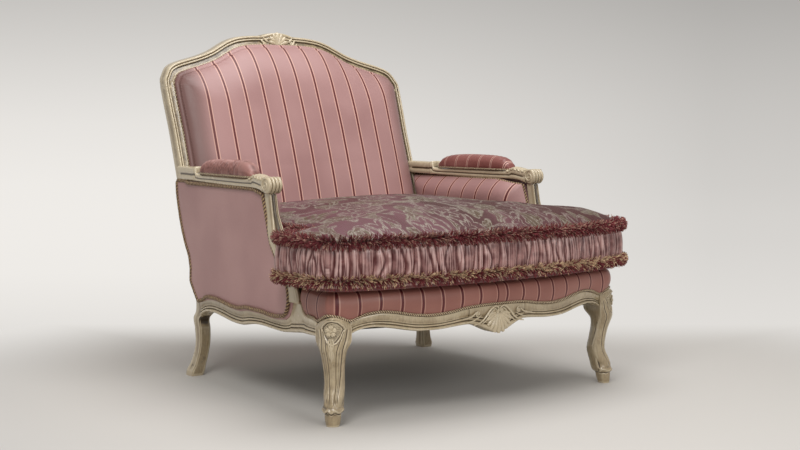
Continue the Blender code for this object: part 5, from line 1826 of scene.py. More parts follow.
@dataclass
class BackFrame:
    """The two uprights, which are the rear legs below, and the serpentine crest with its shell."""

    wood: PaintedWood
    shell_half: float = 0.060
    shell_rise: float = 0.010
    shell_proud: float = 0.007
    reeding_low: float = 0.500
    PROFILE: Rows = (
        (0.0, 0.90), (0.0, 0.55), (0.0, 0.30), (0.01, 0.16), (0.035, 0.07), (0.075, 0.015), (0.12, 0.0),
        (0.165, 0.015), (0.20, 0.06), (0.222, 0.125), (0.245, 0.125), (0.265, 0.07), (0.30, 0.03), (0.34, 0.02),
        (0.38, 0.04), (0.405, 0.09), (0.425, 0.155), (0.45, 0.165), (0.51, 0.15), (0.59, 0.115), (0.67, 0.07),
        (0.72, 0.03), (0.75, 0.015), (0.80, 0.01), (0.90, 0.01), (1.0, 0.01), (1.0, 0.40), (1.0, 0.88),
        (0.93, 1.0), (0.5, 1.0), (0.07, 1.0),
    )
    LEG: Rows = (
        (0.0, 1.0, 1.18, 1.10), (0.015, 0.86, 1.26, 1.18), (0.034, 0.58, 1.12, 1.02), (0.069, 0.20, 1.0, 0.95),
        (0.103, 0.0, 1.0, 0.95), (0.142, 0.02, 1.06, 1.0), (0.172, 0.12, 1.18, 1.0),
    )
    LEG_KICK: float = 0.019

    def build(self) -> list[Object]:
        """Build the crest and both uprights."""
        return [self.crest(), self.upright(Side.LEFT), self.upright(Side.RIGHT)]

    def crest(self) -> Object:
        """Build the crest rail.

        Returns:
            The piece.
        """
        c = CARCASS
        profile = refine(self.PROFILE, 2, closed=True)
        line = c.crest_line(440)
        rows = []
        for (x, z), n in zip(line, into_chair(line)):
            shell = max(0.0, 1.0 - (x / self.shell_half) ** 2)
            z += GAP if abs(x) > c.back_half * 0.99 else 0.0
            row = []
            for share, depth in profile:
                edge = max(0.0, 1 - share / 0.7) * shell
                plain = 1.0 - 0.75 * shell * (depth < 0.25)
                inward = share * c.back_face - self.shell_rise * edge
                px, pz = x + n[0] * inward, z + n[1] * inward
                row.append(c.back_point(px, pz, depth * plain * c.back_thick - self.shell_proud * edge))
            rows.append(row)
        skin = Skin("crest_rail_carved").closed(rows)
        self.shell(skin)
        return finish_wood(skin, self.wood, "crest_rail")

    def shell(self, skin: Skin) -> None:
        """Carve the crest's shell and the leaves beside it.

        Args:
            skin: The piece in the making.
        """
        c = CARCASS

        def place(x: float, z: float, out: float) -> Point:
            """A point on the crest's face, or off it."""
            return c.back_point(x, z, 0.002 - out)

        top = c.joint_z + c.rise
        root = (0.0, top - 0.030)
        scallop(skin, place, root, 7, 2.5, lambda s: 0.041 - 0.005 * s * s, pi / 2, 0.003)
        for side in (-1, 1):
            volute(skin, place, (side * 0.012, root[1] - 0.003), 0.0085, 0.0028, 0.25, side * 1.3, 0.006)
            volute(skin, place, (side * 0.052, top - 0.027), 0.0085, 0.0026, 0.5 - side * 0.25, side * 1.2,
                   0.004)
            carve(skin, place, flip(side, ((0.014, top - 0.036), (0.030, top - 0.040), (0.046, top - 0.034),
                                           (0.058, top - 0.022))), (0.0022, 0.0036, 0.0036, 0.0026), 0.8, 0.004)
            for k, (a, b) in enumerate(((0.050, -0.006), (0.060, -0.013), (0.066, -0.024))):
                petal = ((a - 0.012, top + b - 0.014), (a - 0.003, top + b - 0.008), (a + 0.004, top + b))
                carve(skin, place, flip(side, petal), (0.0022, 0.0040, 0.0036, 0.0018), 0.75, 0.003 - 0.001 * k)

    def upright(self, side: Side) -> Object:
        """Build an upright with its leg.

        Args:
            side: Which one.

        Returns:
            The piece.
        """
        c = CARCASS
        profile = refine(self.PROFILE, 2, closed=True)
        share, depth = profile[:, 0], profile[:, 1]
        corner = 0.10 * (ease(0.12, 0.0, share) + ease(0.88, 1.0, share))
        smooth_depth = np.where(depth < 0.25, corner, depth)
        rounded = np.where(depth > 0.8, np.where(depth > 0.95, 1.0, depth), depth)
        rows = []
        low = []
        for z, kick, deep, wide in self.LEG:
            x = c.rear_half + kick * self.LEG_KICK
            y = c.rear_leg_y + c.rear_depth / 2 + kick * self.LEG_KICK
            half, d = wide * c.rear_width / 2, deep * c.rear_depth / 2
            low.append((z, x + half, x - half, y - d, y + d))
        front = c.seat_rear
        for z in (c.frame_z - c.wave, c.frame_z):
            low.append((z, c.rear_half + c.rear_width / 2, c.rear_half - c.rear_width / 2,
                        front, front + c.back_depth(c.frame_z)))
        for z in np.linspace(0.0, c.joint_z, 330):
            if z < c.frame_z:
                outer, inner, y0, y1 = (between(low, z, k) for k in (1, 2, 3, 4))
                x = outer - share * (outer - inner)
                y = y0 + smooth_depth * (y1 - y0)
                rows.append(np.stack([side.value * x, y, np.full_like(x, z)], axis=1))
                continue
            moulded = float(ease(self.reeding_low, c.arm_z - 0.010, z))
            x = c.upright_outer(z) - share * c.upright_face(z)
            d = (smooth_depth + (rounded - smooth_depth) * moulded) * c.back_depth(z)
            y = np.array([c.back_y(value, z) for value in x]) + d
            rows.append(np.stack([side.value * x, y, np.full_like(x, z)], axis=1))
        skin = Skin("upright_carved_" + side.word).closed(rows)
        return finish_wood(skin, self.wood, "rear_upright_" + side.word)


@dataclass
class SeatFrame:
    """The bowed front rail with its shell, and the two side rails with their spurs."""

    wood: PaintedWood
    shell_half: float = 0.095
    shell_drop: float = 0.030
    moulded: float = 0.052
    plain: float = 0.40
    RIM: float = -0.02
    FRONT: Rows = (
        (0.0, -0.030), (0.0, -0.012), (0.0, -0.005), (0.015, -0.0015), (0.05, 0.0), (0.16, 0.0008),
        (0.30, 0.0002), (0.44, -0.0014), (0.535, -0.0026), (0.56, -0.0044), (0.585, -0.0046),
        (0.61, -0.0022), (0.66, -0.0008),
        (0.71, -0.0014), (0.735, -0.0034), (0.76, -0.0034), (0.79, 0.0002), (0.84, 0.0024), (0.90, 0.0028),
        (0.955, 0.0006), (0.985, -0.0035), (1.0, -0.009), (1.0, -0.030),
    )
    # Each bead's points, half widths, height off the rail and count of points; the first two meet over the
    # shell and run down its sides
    BEADS: tuple = (
        (((0.0015, 0.2590), (0.0045, 0.2680), (0.0140, 0.2725), (0.0260, 0.2670), (0.0380, 0.2560),
          (0.0520, 0.2410), (0.0680, 0.2310), (0.0860, 0.2270)),
         (0.0016, 0.0026, 0.0032, 0.0030, 0.0026, 0.0020, 0.0014), 0.0035, 60),
        (((0.0090, 0.2600), (0.0140, 0.2655), (0.0215, 0.2610), (0.0330, 0.2480), (0.0470, 0.2350),
          (0.0600, 0.2265)), (0.0012, 0.0022, 0.0024, 0.0022, 0.0018, 0.0012), 0.0020, 40),
    )
    TRAILS: tuple = (
        (((0.0765, 0.2600), (0.0860, 0.2520), (0.1000, 0.2470), (0.1200, 0.2450)),
         (0.0018, 0.0026, 0.0022, 0.0012), 0.0008, 30),
        (((0.0600, 0.2500), (0.0740, 0.2430), (0.0900, 0.2370), (0.1080, 0.2350)),
         (0.0014, 0.0022, 0.0020, 0.0012), 0.0008, 30),
    )

    def build(self) -> list[Object]:
        """Build the three rails."""
        return [self.front(), self.side(Side.LEFT), self.side(Side.RIGHT)]

    def front(self) -> Object:
        """Build the front rail.

        Returns:
            The piece.
        """
        c = CARCASS
        profile = refine(self.FRONT, 3)
        rows = []
        for share in np.linspace(-1, 1, 420):
            x = share * (c.inner_x - GAP)
            top, bottom = c.front_edges(x)
            shell = max(0.0, 1.0 - abs(x) / self.shell_half)
            bottom -= self.shell_drop * float(ease(0, 1, shell))
            face = c.front_face(x)
            proud = 0.004 * sqrt(shell)
            rows.append([(x, face - (out if out > self.RIM else -c.rail) - proud * (out > -0.01),
                          blend(top, bottom, drop)) for drop, out in profile])
        skin = Skin("front_rail_carved").closed(rows)
        self.shell(skin)
        return finish_wood(skin, self.wood, "front_seat_rail")

    def shell(self, skin: Skin) -> None:
        """Carve the hanging shell and its scrolls.

        Args:
            skin: The piece in the making.
        """
        c = CARCASS

        def place(x: float, z: float, out: float) -> Point:
            """A point on the rail's face, or off it."""
            return (x, c.front_face(x) - 0.004 - out, z)

        scallop(skin, place, (0.0, 0.2575), 11, 2.75, lambda s: 0.058 * (1 - 0.30 * abs(s) ** 2.0), -pi / 2,
                0.0, 0.86)
        for side in (-1, 1):
            for line, width, lift, count in self.BEADS:
                carve(skin, place, flip(side, line), width, 0.9, lift, 10, count)
            volute(skin, place, (side * 0.0080, 0.2575), 0.0056, 0.0022, 0.25, side * 1.3, 0.0035)
            # A small scroll on the rail, and the beads that lead to it
            volute(skin, place, (side * 0.0700, 0.2560), 0.0078, 0.0024, 0.5 - side * 0.25, side * 1.5, 0.0015)
            for line, width, lift, count in self.TRAILS:
                carve(skin, place, flip(side, line), width, 0.9, lift, 10, count)

    def side(self, side: Side) -> Object:
        """Build a side rail.

        Args:
            side: Which one.

        Returns:
            The piece.
        """
        c = CARCASS
        profile = refine(self.FRONT, 2)
        shares = np.unique(np.concatenate([np.linspace(0, 1, 340), np.linspace(0.110, 0.145, 26),
                                           np.linspace(0.200, 0.260, 34)]))
        rows = []
        for share in shares:
            y = c.block_rear + GAP + share * (c.side_length - BODY_GAP)
            top, bottom = c.side_edges(share)
            outer = c.side_outer(y) + 0.002
            spur = float(ease(0.085, 0.135, share) * ease(0.270, 0.225, share))
            height = top - bottom
            rail = min(height, self.moulded)
            row = []
            for drop, out in profile:
                z = top - drop * height
                if spur > 0:
                    # On the spur the mouldings stay low, on the rail's own height, and the rest is plain
                    low = bottom + (1 - drop) * rail
                    if drop <= self.plain:
                        low = blend(top, bottom + (1 - self.plain) * rail, drop / self.plain)
                    z = blend(z, low, spur)
                row.append((side.value * (outer + (out if out > self.RIM else -c.rail)), y, z))
            rows.append(row)
        skin = Skin("side_rail_carved_" + side.word).closed(rows)
        return finish_wood(skin, self.wood, "side_rail_" + side.word)


@dataclass
class FrontLegs:
    """The two front legs: a block with a flower, a grooved knee, a curled toe and a plain foot."""

    wood: PaintedWood
    chamfer: float = 0.030
    below: float = 0.0275
    kick: float = 0.007
    lobe: float = 0.0095
    flute: float = 0.0125
    stipple: float = 2600
    LEG: Rows = (
        (0.0, 0.11, 0.52, 0.54), (0.03, 0.11, 0.58, 0.60), (0.06, 0.10, 0.63, 0.64), (0.13, 0.09, 0.72, 0.72),
        (0.145, 0.07, 0.86, 0.82), (0.18, 0.04, 0.95, 0.88), (0.22, 0.0, 0.95, 0.88), (0.28, -0.06, 0.93, 0.88),
        (0.41, -0.20, 0.84, 0.86), (0.55, -0.12, 0.79, 0.87), (0.69, 0.0, 0.84, 0.98),
        (0.80, 0.06, 1.0, 1.18), (0.90, 0.02, 1.12, 1.42),
    )
    SECTION: Rows = (
        (-1.0, 0.0), (-0.62, 0.62), (0.05, 1.0), (0.78, 0.62), (1.0, 0.0), (0.78, -0.62), (0.05, -1.0),
        (-0.62, -0.62),
    )
    COUNTS: tuple[int, ...] = (8, 10, 40, 44, 44, 40, 10, 8)
    DIAGONAL: ClassVar[Array] = np.array((1, -1)) / sqrt(2)
    ACROSS: ClassVar[Array] = np.array((1, 1)) / sqrt(2)
    EDGE: Rows = ((0.05, 0.0140), (0.093, 0.0165), (0.164, 0.0235), (0.209, 0.0300), (0.235, 0.0335),
                  (0.26, 0.0345))
    STEM: Rows = ((0.045, 0.0060), (0.10, 0.0086), (0.130, 0.0090), (0.160, 0.0105), (0.180, 0.0125),
                  (0.21, 0.0185), (0.24, 0.0270))
    HUSK: Rows = ((0.0, 0.222, 0.150, 1.0), (-0.006, 0.222, 0.186, 0.8), (0.006, 0.222, 0.186, 0.8),
                  (-0.0045, 0.196, 0.160, 0.7), (0.0045, 0.196, 0.160, 0.7))
    SHIELD: Rows = ((0.0, 0.2625), (0.012, 0.2600), (0.0235, 0.2500), (0.0265, 0.2440), (0.0200, 0.2290),
                    (0.0090, 0.2130), (0.0, 0.2085))

    def build(self) -> list[Object]:
        """Build both legs."""
        return [self.leg(Side.LEFT), self.leg(Side.RIGHT)]

    def around(self, corners: Array, sharp: bool) -> Array:
        """Draw a section through its eight corners, with more points in front.

        Args:
            corners: The corners.
            sharp: Whether it runs straight between them.

        Returns:
            The points.
        """
        runs = []
        for i, count in enumerate(self.COUNTS):
            a, b, c, d = (corners[(i + k) % 8] for k in (-1, 0, 1, 2))
            t = (np.arange(count) / count)[:, None]
            runs.append(b + (c - b) * t if sharp else cubic(t, b, (c - a) / 2, c, (d - b) / 2))
        return np.vstack(runs)

    def block(self, inward: float) -> Array:
        """The block's section.

        Args:
            inward: How far it is drawn in.

        Returns:
            The points.
        """
        c = CARCASS
        w, d = c.block_width / 2 - inward, c.block_depth / 2 - inward
        cut, swell = self.chamfer - inward, self.chamfer / 4
        corners = np.array([
            (-w, d), (0, d), (w, d), (w, cut - d), ((w + w - cut) / 2 + swell, (cut - d - d) / 2 - swell),
            (w - cut, -d), (-w, -d), (-w, 0)])
        # The middle of the chamfer swells in a round, the rest is flat
        ring = self.around(corners, True)
        first = sum(self.COUNTS[:3])
        round_run = smooth_line(corners[3:6], self.COUNTS[3] + self.COUNTS[4] + 1)[:-1]
        ring[first:first + len(round_run)] = round_run
        return ring

    def leg(self, side: Side) -> Object:
        """Build a leg.

        Args:
            side: Which one.

        Returns:
            The piece.
        """
        c = CARCASS
        diagonal, across = self.DIAGONAL, self.ACROSS
        table = [(h * c.frame_z, *rest) for h, *rest in self.LEG]
        section = self.around(np.array(self.SECTION), False)
        top = c.frame_z + c.block_above
        front = sum(self.COUNTS[:4])
        rows = []
        heights = np.concatenate([np.linspace(0, 0.030, 22), np.linspace(0.031, top, 230),
                                  np.linspace(top + 0.0008, top + c.block_dome, 14)])
        for z in heights:
            share = min(z, 0.9 * c.frame_z)
            shift, deep, wide = (between(table, share, k) for k in (1, 2, 3))
            middle = diagonal * (shift * c.block_width + self.kick * (1 - z / c.frame_z) ** 2 * (z < c.frame_z))
            round_ring = middle + (diagonal * section[:, :1] * deep + across * section[:, 1:] * wide
                                   ) * c.block_width / 2
            dome = (z - top) / c.block_dome if z > top else 0.0
            square = self.block(c.block_dome * (1 - sqrt(max(0.0, 1 - dome * dome))) if dome > 0 else 0.0)
            mixed = float(ease(0.185, c.frame_z - self.below + 0.004, z))
            ring = round_ring * (1 - mixed) + square * mixed
            along = around_slope(ring)
            out = np.stack([-along[:, 1], along[:, 0]], axis=1)
            if out[front] @ diagonal < 0:
                out = -out
            place = (ring - ring[front]) @ across
            relief = self.relief(z, place) * (ring @ diagonal > ring[front] @ diagonal - 0.035)
            ring = ring + out * relief[:, None]
            fall = c.arch_fall(np.abs(place), z)
            x, y = side.value * (c.leg_half + ring[:, 0]), c.leg_y + ring[:, 1]
            rows.append(np.column_stack([x, y, z - fall]))
        skin = Skin("front_leg_carved_" + side.word).closed(rows)
        self.flower(skin, side)
        return finish_wood(skin, self.wood, "front_leg_" + side.word)

    def relief(self, z: float, place: Array) -> Array:
        """How far the carving stands off the leg.

        Args:
            z: Height.
            place: Distance across from the middle of the front.

        Returns:
            Height of the relief at each place.
        """
        fade = float(ease(0.256, 0.246, z))
        return self.grooves(z, np.abs(place)) * fade + self.toe(z, place) + self.flutes(z, place) + self.shield(
            z, place)

    def grooves(self, z: float, away: Array) -> Array:
        """The grooves that run down the leg: at its edge, at its stem and halfway between them.

        Args:
            z: Height.
            away: Distance from the middle of the front.

        Returns:
            Their height, above the foot only.
        """
        edge, stem = between(self.EDGE, z), between(self.STEM, z)
        lines = -0.0022 * ridge(away - edge, 0.0013) + 0.0010 * ridge(away - edge - 0.0034, 0.0020)
        lines = lines - 0.0021 * ridge(away - stem, 0.0012) * float(ease(0.243, 0.236, z))
        lines = lines - 0.0009 * ridge(away - (edge + stem) / 2, 0.0010) * float(ease(0.205, 0.185, z))
        return lines * float(ease(0.052, 0.066, z))

    def toe(self, z: float, place: Array) -> Array:
        """The toe: a curled lip over the foot, its edge in three lobes, and deep cuts above it.

        Args:
            z: Height.
            place: Distance across from the middle of the front.

        Returns:
            Its height.
        """
        lobes = 0.0030 * np.cos(place / self.lobe * pi)
        toe = 0.0020 * ridge(z - 0.0395 + lobes, 0.0042) - 0.0020 * ridge(z - 0.0335 + lobes, 0.0014)
        strokes = np.abs(np.cos(place / self.lobe * pi / 2 + pi / 2)) ** 3
        toe = toe - 0.0036 * ridge(z - 0.0570, 0.0120) * strokes
        return toe - 0.0016 * ridge(z - 0.0480, 0.0050) * (1 - strokes)

    def flutes(self, z: float, place: Array) -> Array:
        """The flutes above the toe, which end beside the front."""
        cuts = -0.0020 * ridge(z - 0.080, 0.014) * np.cos(place / self.flute * pi + pi / 2) ** 4
        return cuts * ease(0.030, 0.024, np.abs(place))

    def shield(self, z: float, place: Array) -> Array:
        """The shield on the block: a rim round a sunk and stippled field, under the arch.

        Args:
            z: Height.
            place: Distance across from the middle of the front.

        Returns:
            Its height.
        """
        away = np.abs(place)
        rise = z - CARCASS.arch_fall(away, z)
        rim = polyline_distance(away, rise, self.SHIELD)
        upper, lower = np.array(self.SHIELD[:4]).T, np.array(self.SHIELD[:2:-1]).T
        inside = (rise < np.interp(away, *upper)) & (rise > np.interp(away, *lower))
        stippled = np.sin(z * self.stipple) * np.sin(place * self.stipple + 1.3) > 0.1
        field = -0.0026 * ridge(rim, 0.0015) - 0.0020 * inside * ease(0.0, 0.003, rim) * (away < upper[0, -1])
        field = field - 0.0011 * inside * stippled * (rim > 0.003)
        return field + 0.0012 * ridge(rim - 0.0036, 0.0017) * ~inside

    def flower(self, skin: Skin, side: Side) -> None:
        """Carve the flower on the block and the husk that hangs from it.

        Args:
            skin: The piece in the making.
            side: Which leg.
        """
        c = CARCASS
        diagonal, across = self.DIAGONAL, self.ACROSS
        table = [(h * c.frame_z, *rest) for h, *rest in self.LEG]
        face = self.block(0.0)[sum(self.COUNTS[:4])] @ diagonal

        def place(u: float, z: float, out: float) -> Point:
            """A point on the leg's front face, or off it.

            Args:
                u: Place across the face.
                z: Height.
                out: How far off the face.

            Returns:
                The point.
            """
            shift, deep = (between(table, min(z, 0.9 * c.frame_z), k) for k in (1, 2))
            low = shift * c.block_width + deep * c.block_width / 2 + self.kick * (1 - z / c.frame_z) ** 2
            depth = blend(low, face, float(ease(0.185, c.frame_z - self.below, z))) - 0.0020 - 6.0 * u * u
            x, y = diagonal * (depth + out) + across * u
            return (side.value * (c.leg_half + x), c.leg_y + y, z)

        def ray(angle: float, radii: Sequence[float]) -> list[tuple[float, float]]:
            """Points on a line out of the middle of the flower."""
            return [(cos(angle) * r, 0.2405 + sin(angle) * r) for r in radii]

        for k in range(5):
            angle = tau * (k / 5 + 0.25)
            for spread, size in ((-0.34, 0.8), (0.0, 1.0), (0.34, 0.8)):
                line = ray(angle + spread, (0.004, 0.008, 0.0125 + 0.0025 * size))
                carve(skin, place, line, np.array([0.0012, 0.0026, 0.0030, 0.0017]) * size, 0.8, 0.0012, 8, 12)
        for k in range(6):
            seed = ray(tau * k / 6, (0.0005, 0.0022, 0.0040))
            carve(skin, place, seed, (0.0012, 0.0018, 0.0012), 1.0, 0.0030, 8, 8)
        for u, z0, z1, size in self.HUSK:
            line = [(u * 0.5, z0), (u, (z0 + z1) / 2 + 0.006), (u * 0.35, z1)]
            carve(skin, place, line, np.array([0.0012, 0.0034, 0.0026, 0.0006]) * size, 0.8, 0.0008, 8, 20)


@dataclass
class Arms:
    """The arms with their rear blocks, leaves and scrolls, and the posts under them."""

    wood: PaintedWood
    swell: float = 1.06
    RUN: Rows = (
        (0.0, 0.20, 1.76), (0.10, 0.18, 1.74), (0.170, 0.16, 1.72), (0.185, 0.15, 1.80), (0.200, 0.14, 1.74),
        (0.212, 0.14, 1.02), (0.40, 0.06, 0.98), (0.60, 0.0, 0.96), (0.838, 0.0, 0.98), (0.86, -0.02, 1.26),
        (0.895, -0.06, 1.20), (0.935, -0.20, 1.06), (0.965, -0.40, 1.10), (1.0, -0.50, 1.16),
    )
    SECTION: Rows = (
        (-0.86, 0.0), (-1.0, 0.10), (-1.02, 0.30), (-0.93, 0.42), (-0.93, 0.50), (-1.0, 0.60), (-1.0, 0.78),
        (-0.88, 0.95), (-0.60, 1.0), (0.0, 1.0), (0.60, 1.0), (0.88, 0.95), (1.0, 0.78), (1.0, 0.60),
        (0.93, 0.50), (0.93, 0.42), (1.02, 0.30), (1.0, 0.10), (0.86, 0.0), (0.0, 0.0),
    )
    POST: Rows = (
        (-1.0, 1.0), (-1.0, 0.60), (-1.0, 0.34), (-0.97, 0.22), (-0.93, 0.10), (-0.86, 0.03), (-0.76, 0.0),
        (-0.66, 0.035), (-0.60, 0.09), (-0.52, 0.085), (-0.42, 0.13), (-0.20, 0.19), (0.0, 0.20), (0.20, 0.19),
        (0.42, 0.13), (0.52, 0.085), (0.60, 0.09), (0.66, 0.035), (0.76, 0.0), (0.86, 0.03), (0.93, 0.10),
        (0.97, 0.22), (1.0, 0.34), (1.0, 0.60), (1.0, 1.0),
    )
    VEINS: Rows = ((0.0, 0.0, 1.25), (-0.007, -0.008, 1.0), (0.007, 0.008, 1.0), (-0.014, -0.0165, 0.95),
                   (0.014, 0.0165, 0.95))
    HOOK: Rows = ((0.006, -0.004), (0.012, 0.006), (0.018, 0.010), (0.021, 0.004), (0.018, -0.002))
    CURL: Rows = ((-0.016, 0.002), (-0.008, 0.006), (0.0, 0.0075), (0.008, 0.006), (0.016, 0.002))

    def build(self) -> list[Object]:
        """Build both arms and both posts."""
        return [make(side) for side in Side for make in (self.arm, self.post)]

    def arm(self, side: Side) -> Object:
        """Build an arm.

        Args:
            side: Which one.

        Returns:
            The piece.
        """
        c = CARCASS
        section = refine(self.SECTION, 2, closed=True)
        length = c.arm_rear_y - c.scroll_y
        rows = []
        for place in np.unique(np.concatenate([np.linspace(0, 0.965, 150), np.linspace(0.165, 0.22, 40)])):
            y = c.arm_rear_y - place * length
            low = max(c.arm_z + between(self.RUN, place, 1) * c.arm_thick, c.post_top + GAP)
            high = c.arm_z + between(self.RUN, place, 2) * c.arm_thick
            ring = 0.06 * ridge(place - 0.186, 0.007) + 0.03 * ridge(place - 0.165, 0.004)
            narrow = 0.05 * ridge(place - 0.85, 0.04)
            half = c.arm_width / 2 * (1 + ring - narrow)
            centre = c.arm_centre(y)
            row = [(side.value * (centre + u * half), y, low + v * (high - low)) for u, v in section]
            if place == 0:
                row = [(x, c.back_y(c.back_half, z) - BODY_GAP, z) for x, _, z in row]
            rows.append(row)
        skin = Skin("arm_carved_" + side.word).closed(rows)
        self.scroll(skin, side)
        self.leaf(skin, side)
        return finish_wood(skin, self.wood, "arm_" + side.word)

    def scroll(self, skin: Skin, side: Side) -> None:
        """Carve the barrel of the scroll, with its reeds and side volutes.

        Args:
            skin: The piece in the making.
            side: Which arm.
        """
        c = CARCASS
        half = c.arm_width / 2 * self.swell
        radius = c.scroll_radius
        rows = []
        for s in np.linspace(-1, 1, 84):
            reeds = abs(sin((s + 1) * 2 * pi)) ** 0.55
            bulge = radius * (0.80 + 0.20 * reeds) * (1 - 0.04 * s * s)
            x = c.arm_centre(c.scroll_y) + s * half
            rows.append([(side.value * x, c.scroll_y + bulge * cos(a), c.scroll_z + bulge * sin(a))
                         for a in np.linspace(0, tau, 72, endpoint=False)])
        skin.closed(rows)
        for end in (-1, 1):

            def place(u: float, v: float, out: float, end: int = end) -> Point:
                """A point on the side of the scroll."""
                return (side.value * (c.arm_centre(c.scroll_y) + end * (half - 0.0012 + out)), u, v)

            line = spiral((c.scroll_y, c.scroll_z), radius * 0.84, 0.004, 0.30, -1.75, 60)
            carve(skin, place, line, (0.0034, 0.0031, 0.0026, 0.0020), 1.1, 0.0008, 10, 90)
            eye = np.array([place(c.scroll_y, c.scroll_z, d) for d in (-0.002, 0.0022)])
            skin.tube(eye, np.array([0.0040, 0.0026]), 12)

    def leaf(self, skin: Skin, side: Side) -> None:
        """Carve the leaf between the pad and the scroll.

        Args:
            skin: The piece in the making.
            side: Which arm.
        """
        c = CARCASS
        length = c.arm_rear_y - c.scroll_y

        def top(u: float, y: float, out: float) -> Point:
            """A point over the arm's top.

            Args:
                u: Place across the arm.
                y: Depth.
                out: How far over the top.

            Returns:
                The point.
            """
            share = (c.arm_rear_y - y) / length
            high = c.arm_z + between(self.RUN, share, 2) * c.arm_thick
            fall = 0.010 * max(0.0, abs(u) / 0.020 - 0.55) ** 1.5
            return (side.value * (c.arm_centre(y) + u), y, high - fall + out)

        start, end = c.scroll_y + c.pad_start, c.scroll_y + 0.018
        for u0, u1, size in self.VEINS:
            line = [(u0 * 0.9, start + 0.004), (u0 * 1.15, blend(start, end, 0.25)),
                    (u0, blend(start, end, 0.55)), (u1 * 0.9, end)]
            width = np.array([0.0032, 0.0050, 0.0042, 0.0034, 0.0026]) * size
            carve(skin, top, line, width, 0.85, 0.0006, 10, 40)
        for sign in (-1, 1):
            for k in range(4):
                y = blend(start, end, 0.06 + 0.22 * k)
                lobe = flip(sign, ((0.010, y + 0.004), (0.017, y - 0.004), (0.0205, y - 0.013)))
                carve(skin, top, lobe, (0.0026, 0.0048, 0.0040, 0.0020), 0.85, -0.0004, 10, 20)
            hook = [(u, start + v) for u, v in self.HOOK]
            carve(skin, top, flip(sign, hook), (0.0024, 0.0036, 0.0036, 0.0030, 0.0022), 0.9, 0.0012, 10, 30)
        curl = [(u, start + v) for u, v in self.CURL]
        carve(skin, top, curl, (0.0030, 0.0046, 0.0052, 0.0046, 0.0030), 0.9, 0.0036, 10, 30)

    def post(self, side: Side) -> Object:
        """Build an arm post.

        Args:
            side: Which one.

        Returns:
            The piece.
        """
        c = CARCASS
        profile = refine(self.POST, 2)
        rows = []
        for share in np.linspace(0, 1, 170):
            z = blend(c.post_joint + GAP, c.post_top, share)
            front, rear = c.post_edges(z)
            carved = float(ease(0.02, 0.22, share))
            row = []
            for u, v in profile:
                plain = 0.10 * float(ease(0.85, 1.0, abs(u)))
                deep = v if v > 0.3 else plain + (v - plain) * (0.25 + 0.75 * carved)
                row.append((side.value * (c.arm_front + u * c.post_half(z)), front + deep * (rear - front), z))
            rows.append(row)
        skin = Skin("arm_post_carved_" + side.word).closed(rows)
        return finish_wood(skin, self.wood, "arm_post_" + side.word)


def soft_distance(points: Array, edge: Array) -> Array:
    """Distance of points to a closed edge, with the creases between its sides smoothed away.

    Args:
        points: Plane points.
        edge: The edge's evenly spaced points.

    Returns:
        The distances.
    """
    step = float(np.mean(np.linalg.norm(edge - np.roll(edge, 1, axis=0), axis=1)))
    apart = np.maximum(np.linalg.norm(points[:, None, :] - edge[None, :, :], axis=2), 1e-5)
    nearest = apart.min(axis=1)
    # A sum of sixth powers over a straight edge comes to 1.178 over the fifth power of the distance
    smooth = (step * np.sum(apart ** -6.0, axis=1) / 1.178) ** -0.2
    share = ease(1.5 * step, 5.0 * step, nearest)
    return nearest * (1 - share) + smooth * share


def stuffed(skin: Skin, outline: Array, middle: Sequence[float], front: Cover, back: Backing, crown: float,
            roll: float, rings: int, swell: float = 0.0, wall: float = 0.0, over: float = 0.0) -> Skin:
    """Add a stuffed shape inside a closed outline: it rolls up from its edge and is flat behind.

    Args:
        skin: The piece in the making.
        outline: The edge, as plane points.
        middle: A plane point that sees the whole edge.
        front: Turns plane points and heights into places.
        back: Turns plane points into places of the flat backing.
        crown: How high it stands.
        roll: How far in from the edge it reaches that height.
        rings: Rings from the edge to the middle.
        swell: How much more its middle rises.
        wall: Height of the boxed wall along its edge.
        over: How far that wall bulges out over the edge.

    Returns:
        The piece.
    """
    edge = np.asarray(outline, float)
    centre = np.asarray(middle, float)
    rows = []
    for share in (0.02, 0.5, 0.95, 1.0):
        flat = centre + (edge - centre) * share
        rows.append(back(flat[:, 0], flat[:, 1]))
    coarse = edge[:: max(1, len(edge) // 320)]
    for step in np.arange(10 if wall else 0) / 10:
        flat = inset(edge, -over * sin(pi * step))
        rows.append(front(flat[:, 0], flat[:, 1], np.full(len(flat), wall * step)))
    for share in 1 - np.linspace(0, 1, rings) ** 1.7 * 0.98:
        flat = centre + (edge - centre) * share
        away = np.minimum(soft_distance(flat, coarse), roll) / roll if share < 1 else np.zeros(len(flat))
        height = wall + crown * (1 - (1 - away) ** 2.2) ** 0.62 + swell * (1 - share * share)
        rows.append(front(flat[:, 0], flat[:, 1], height))
    return skin.closed(rows)


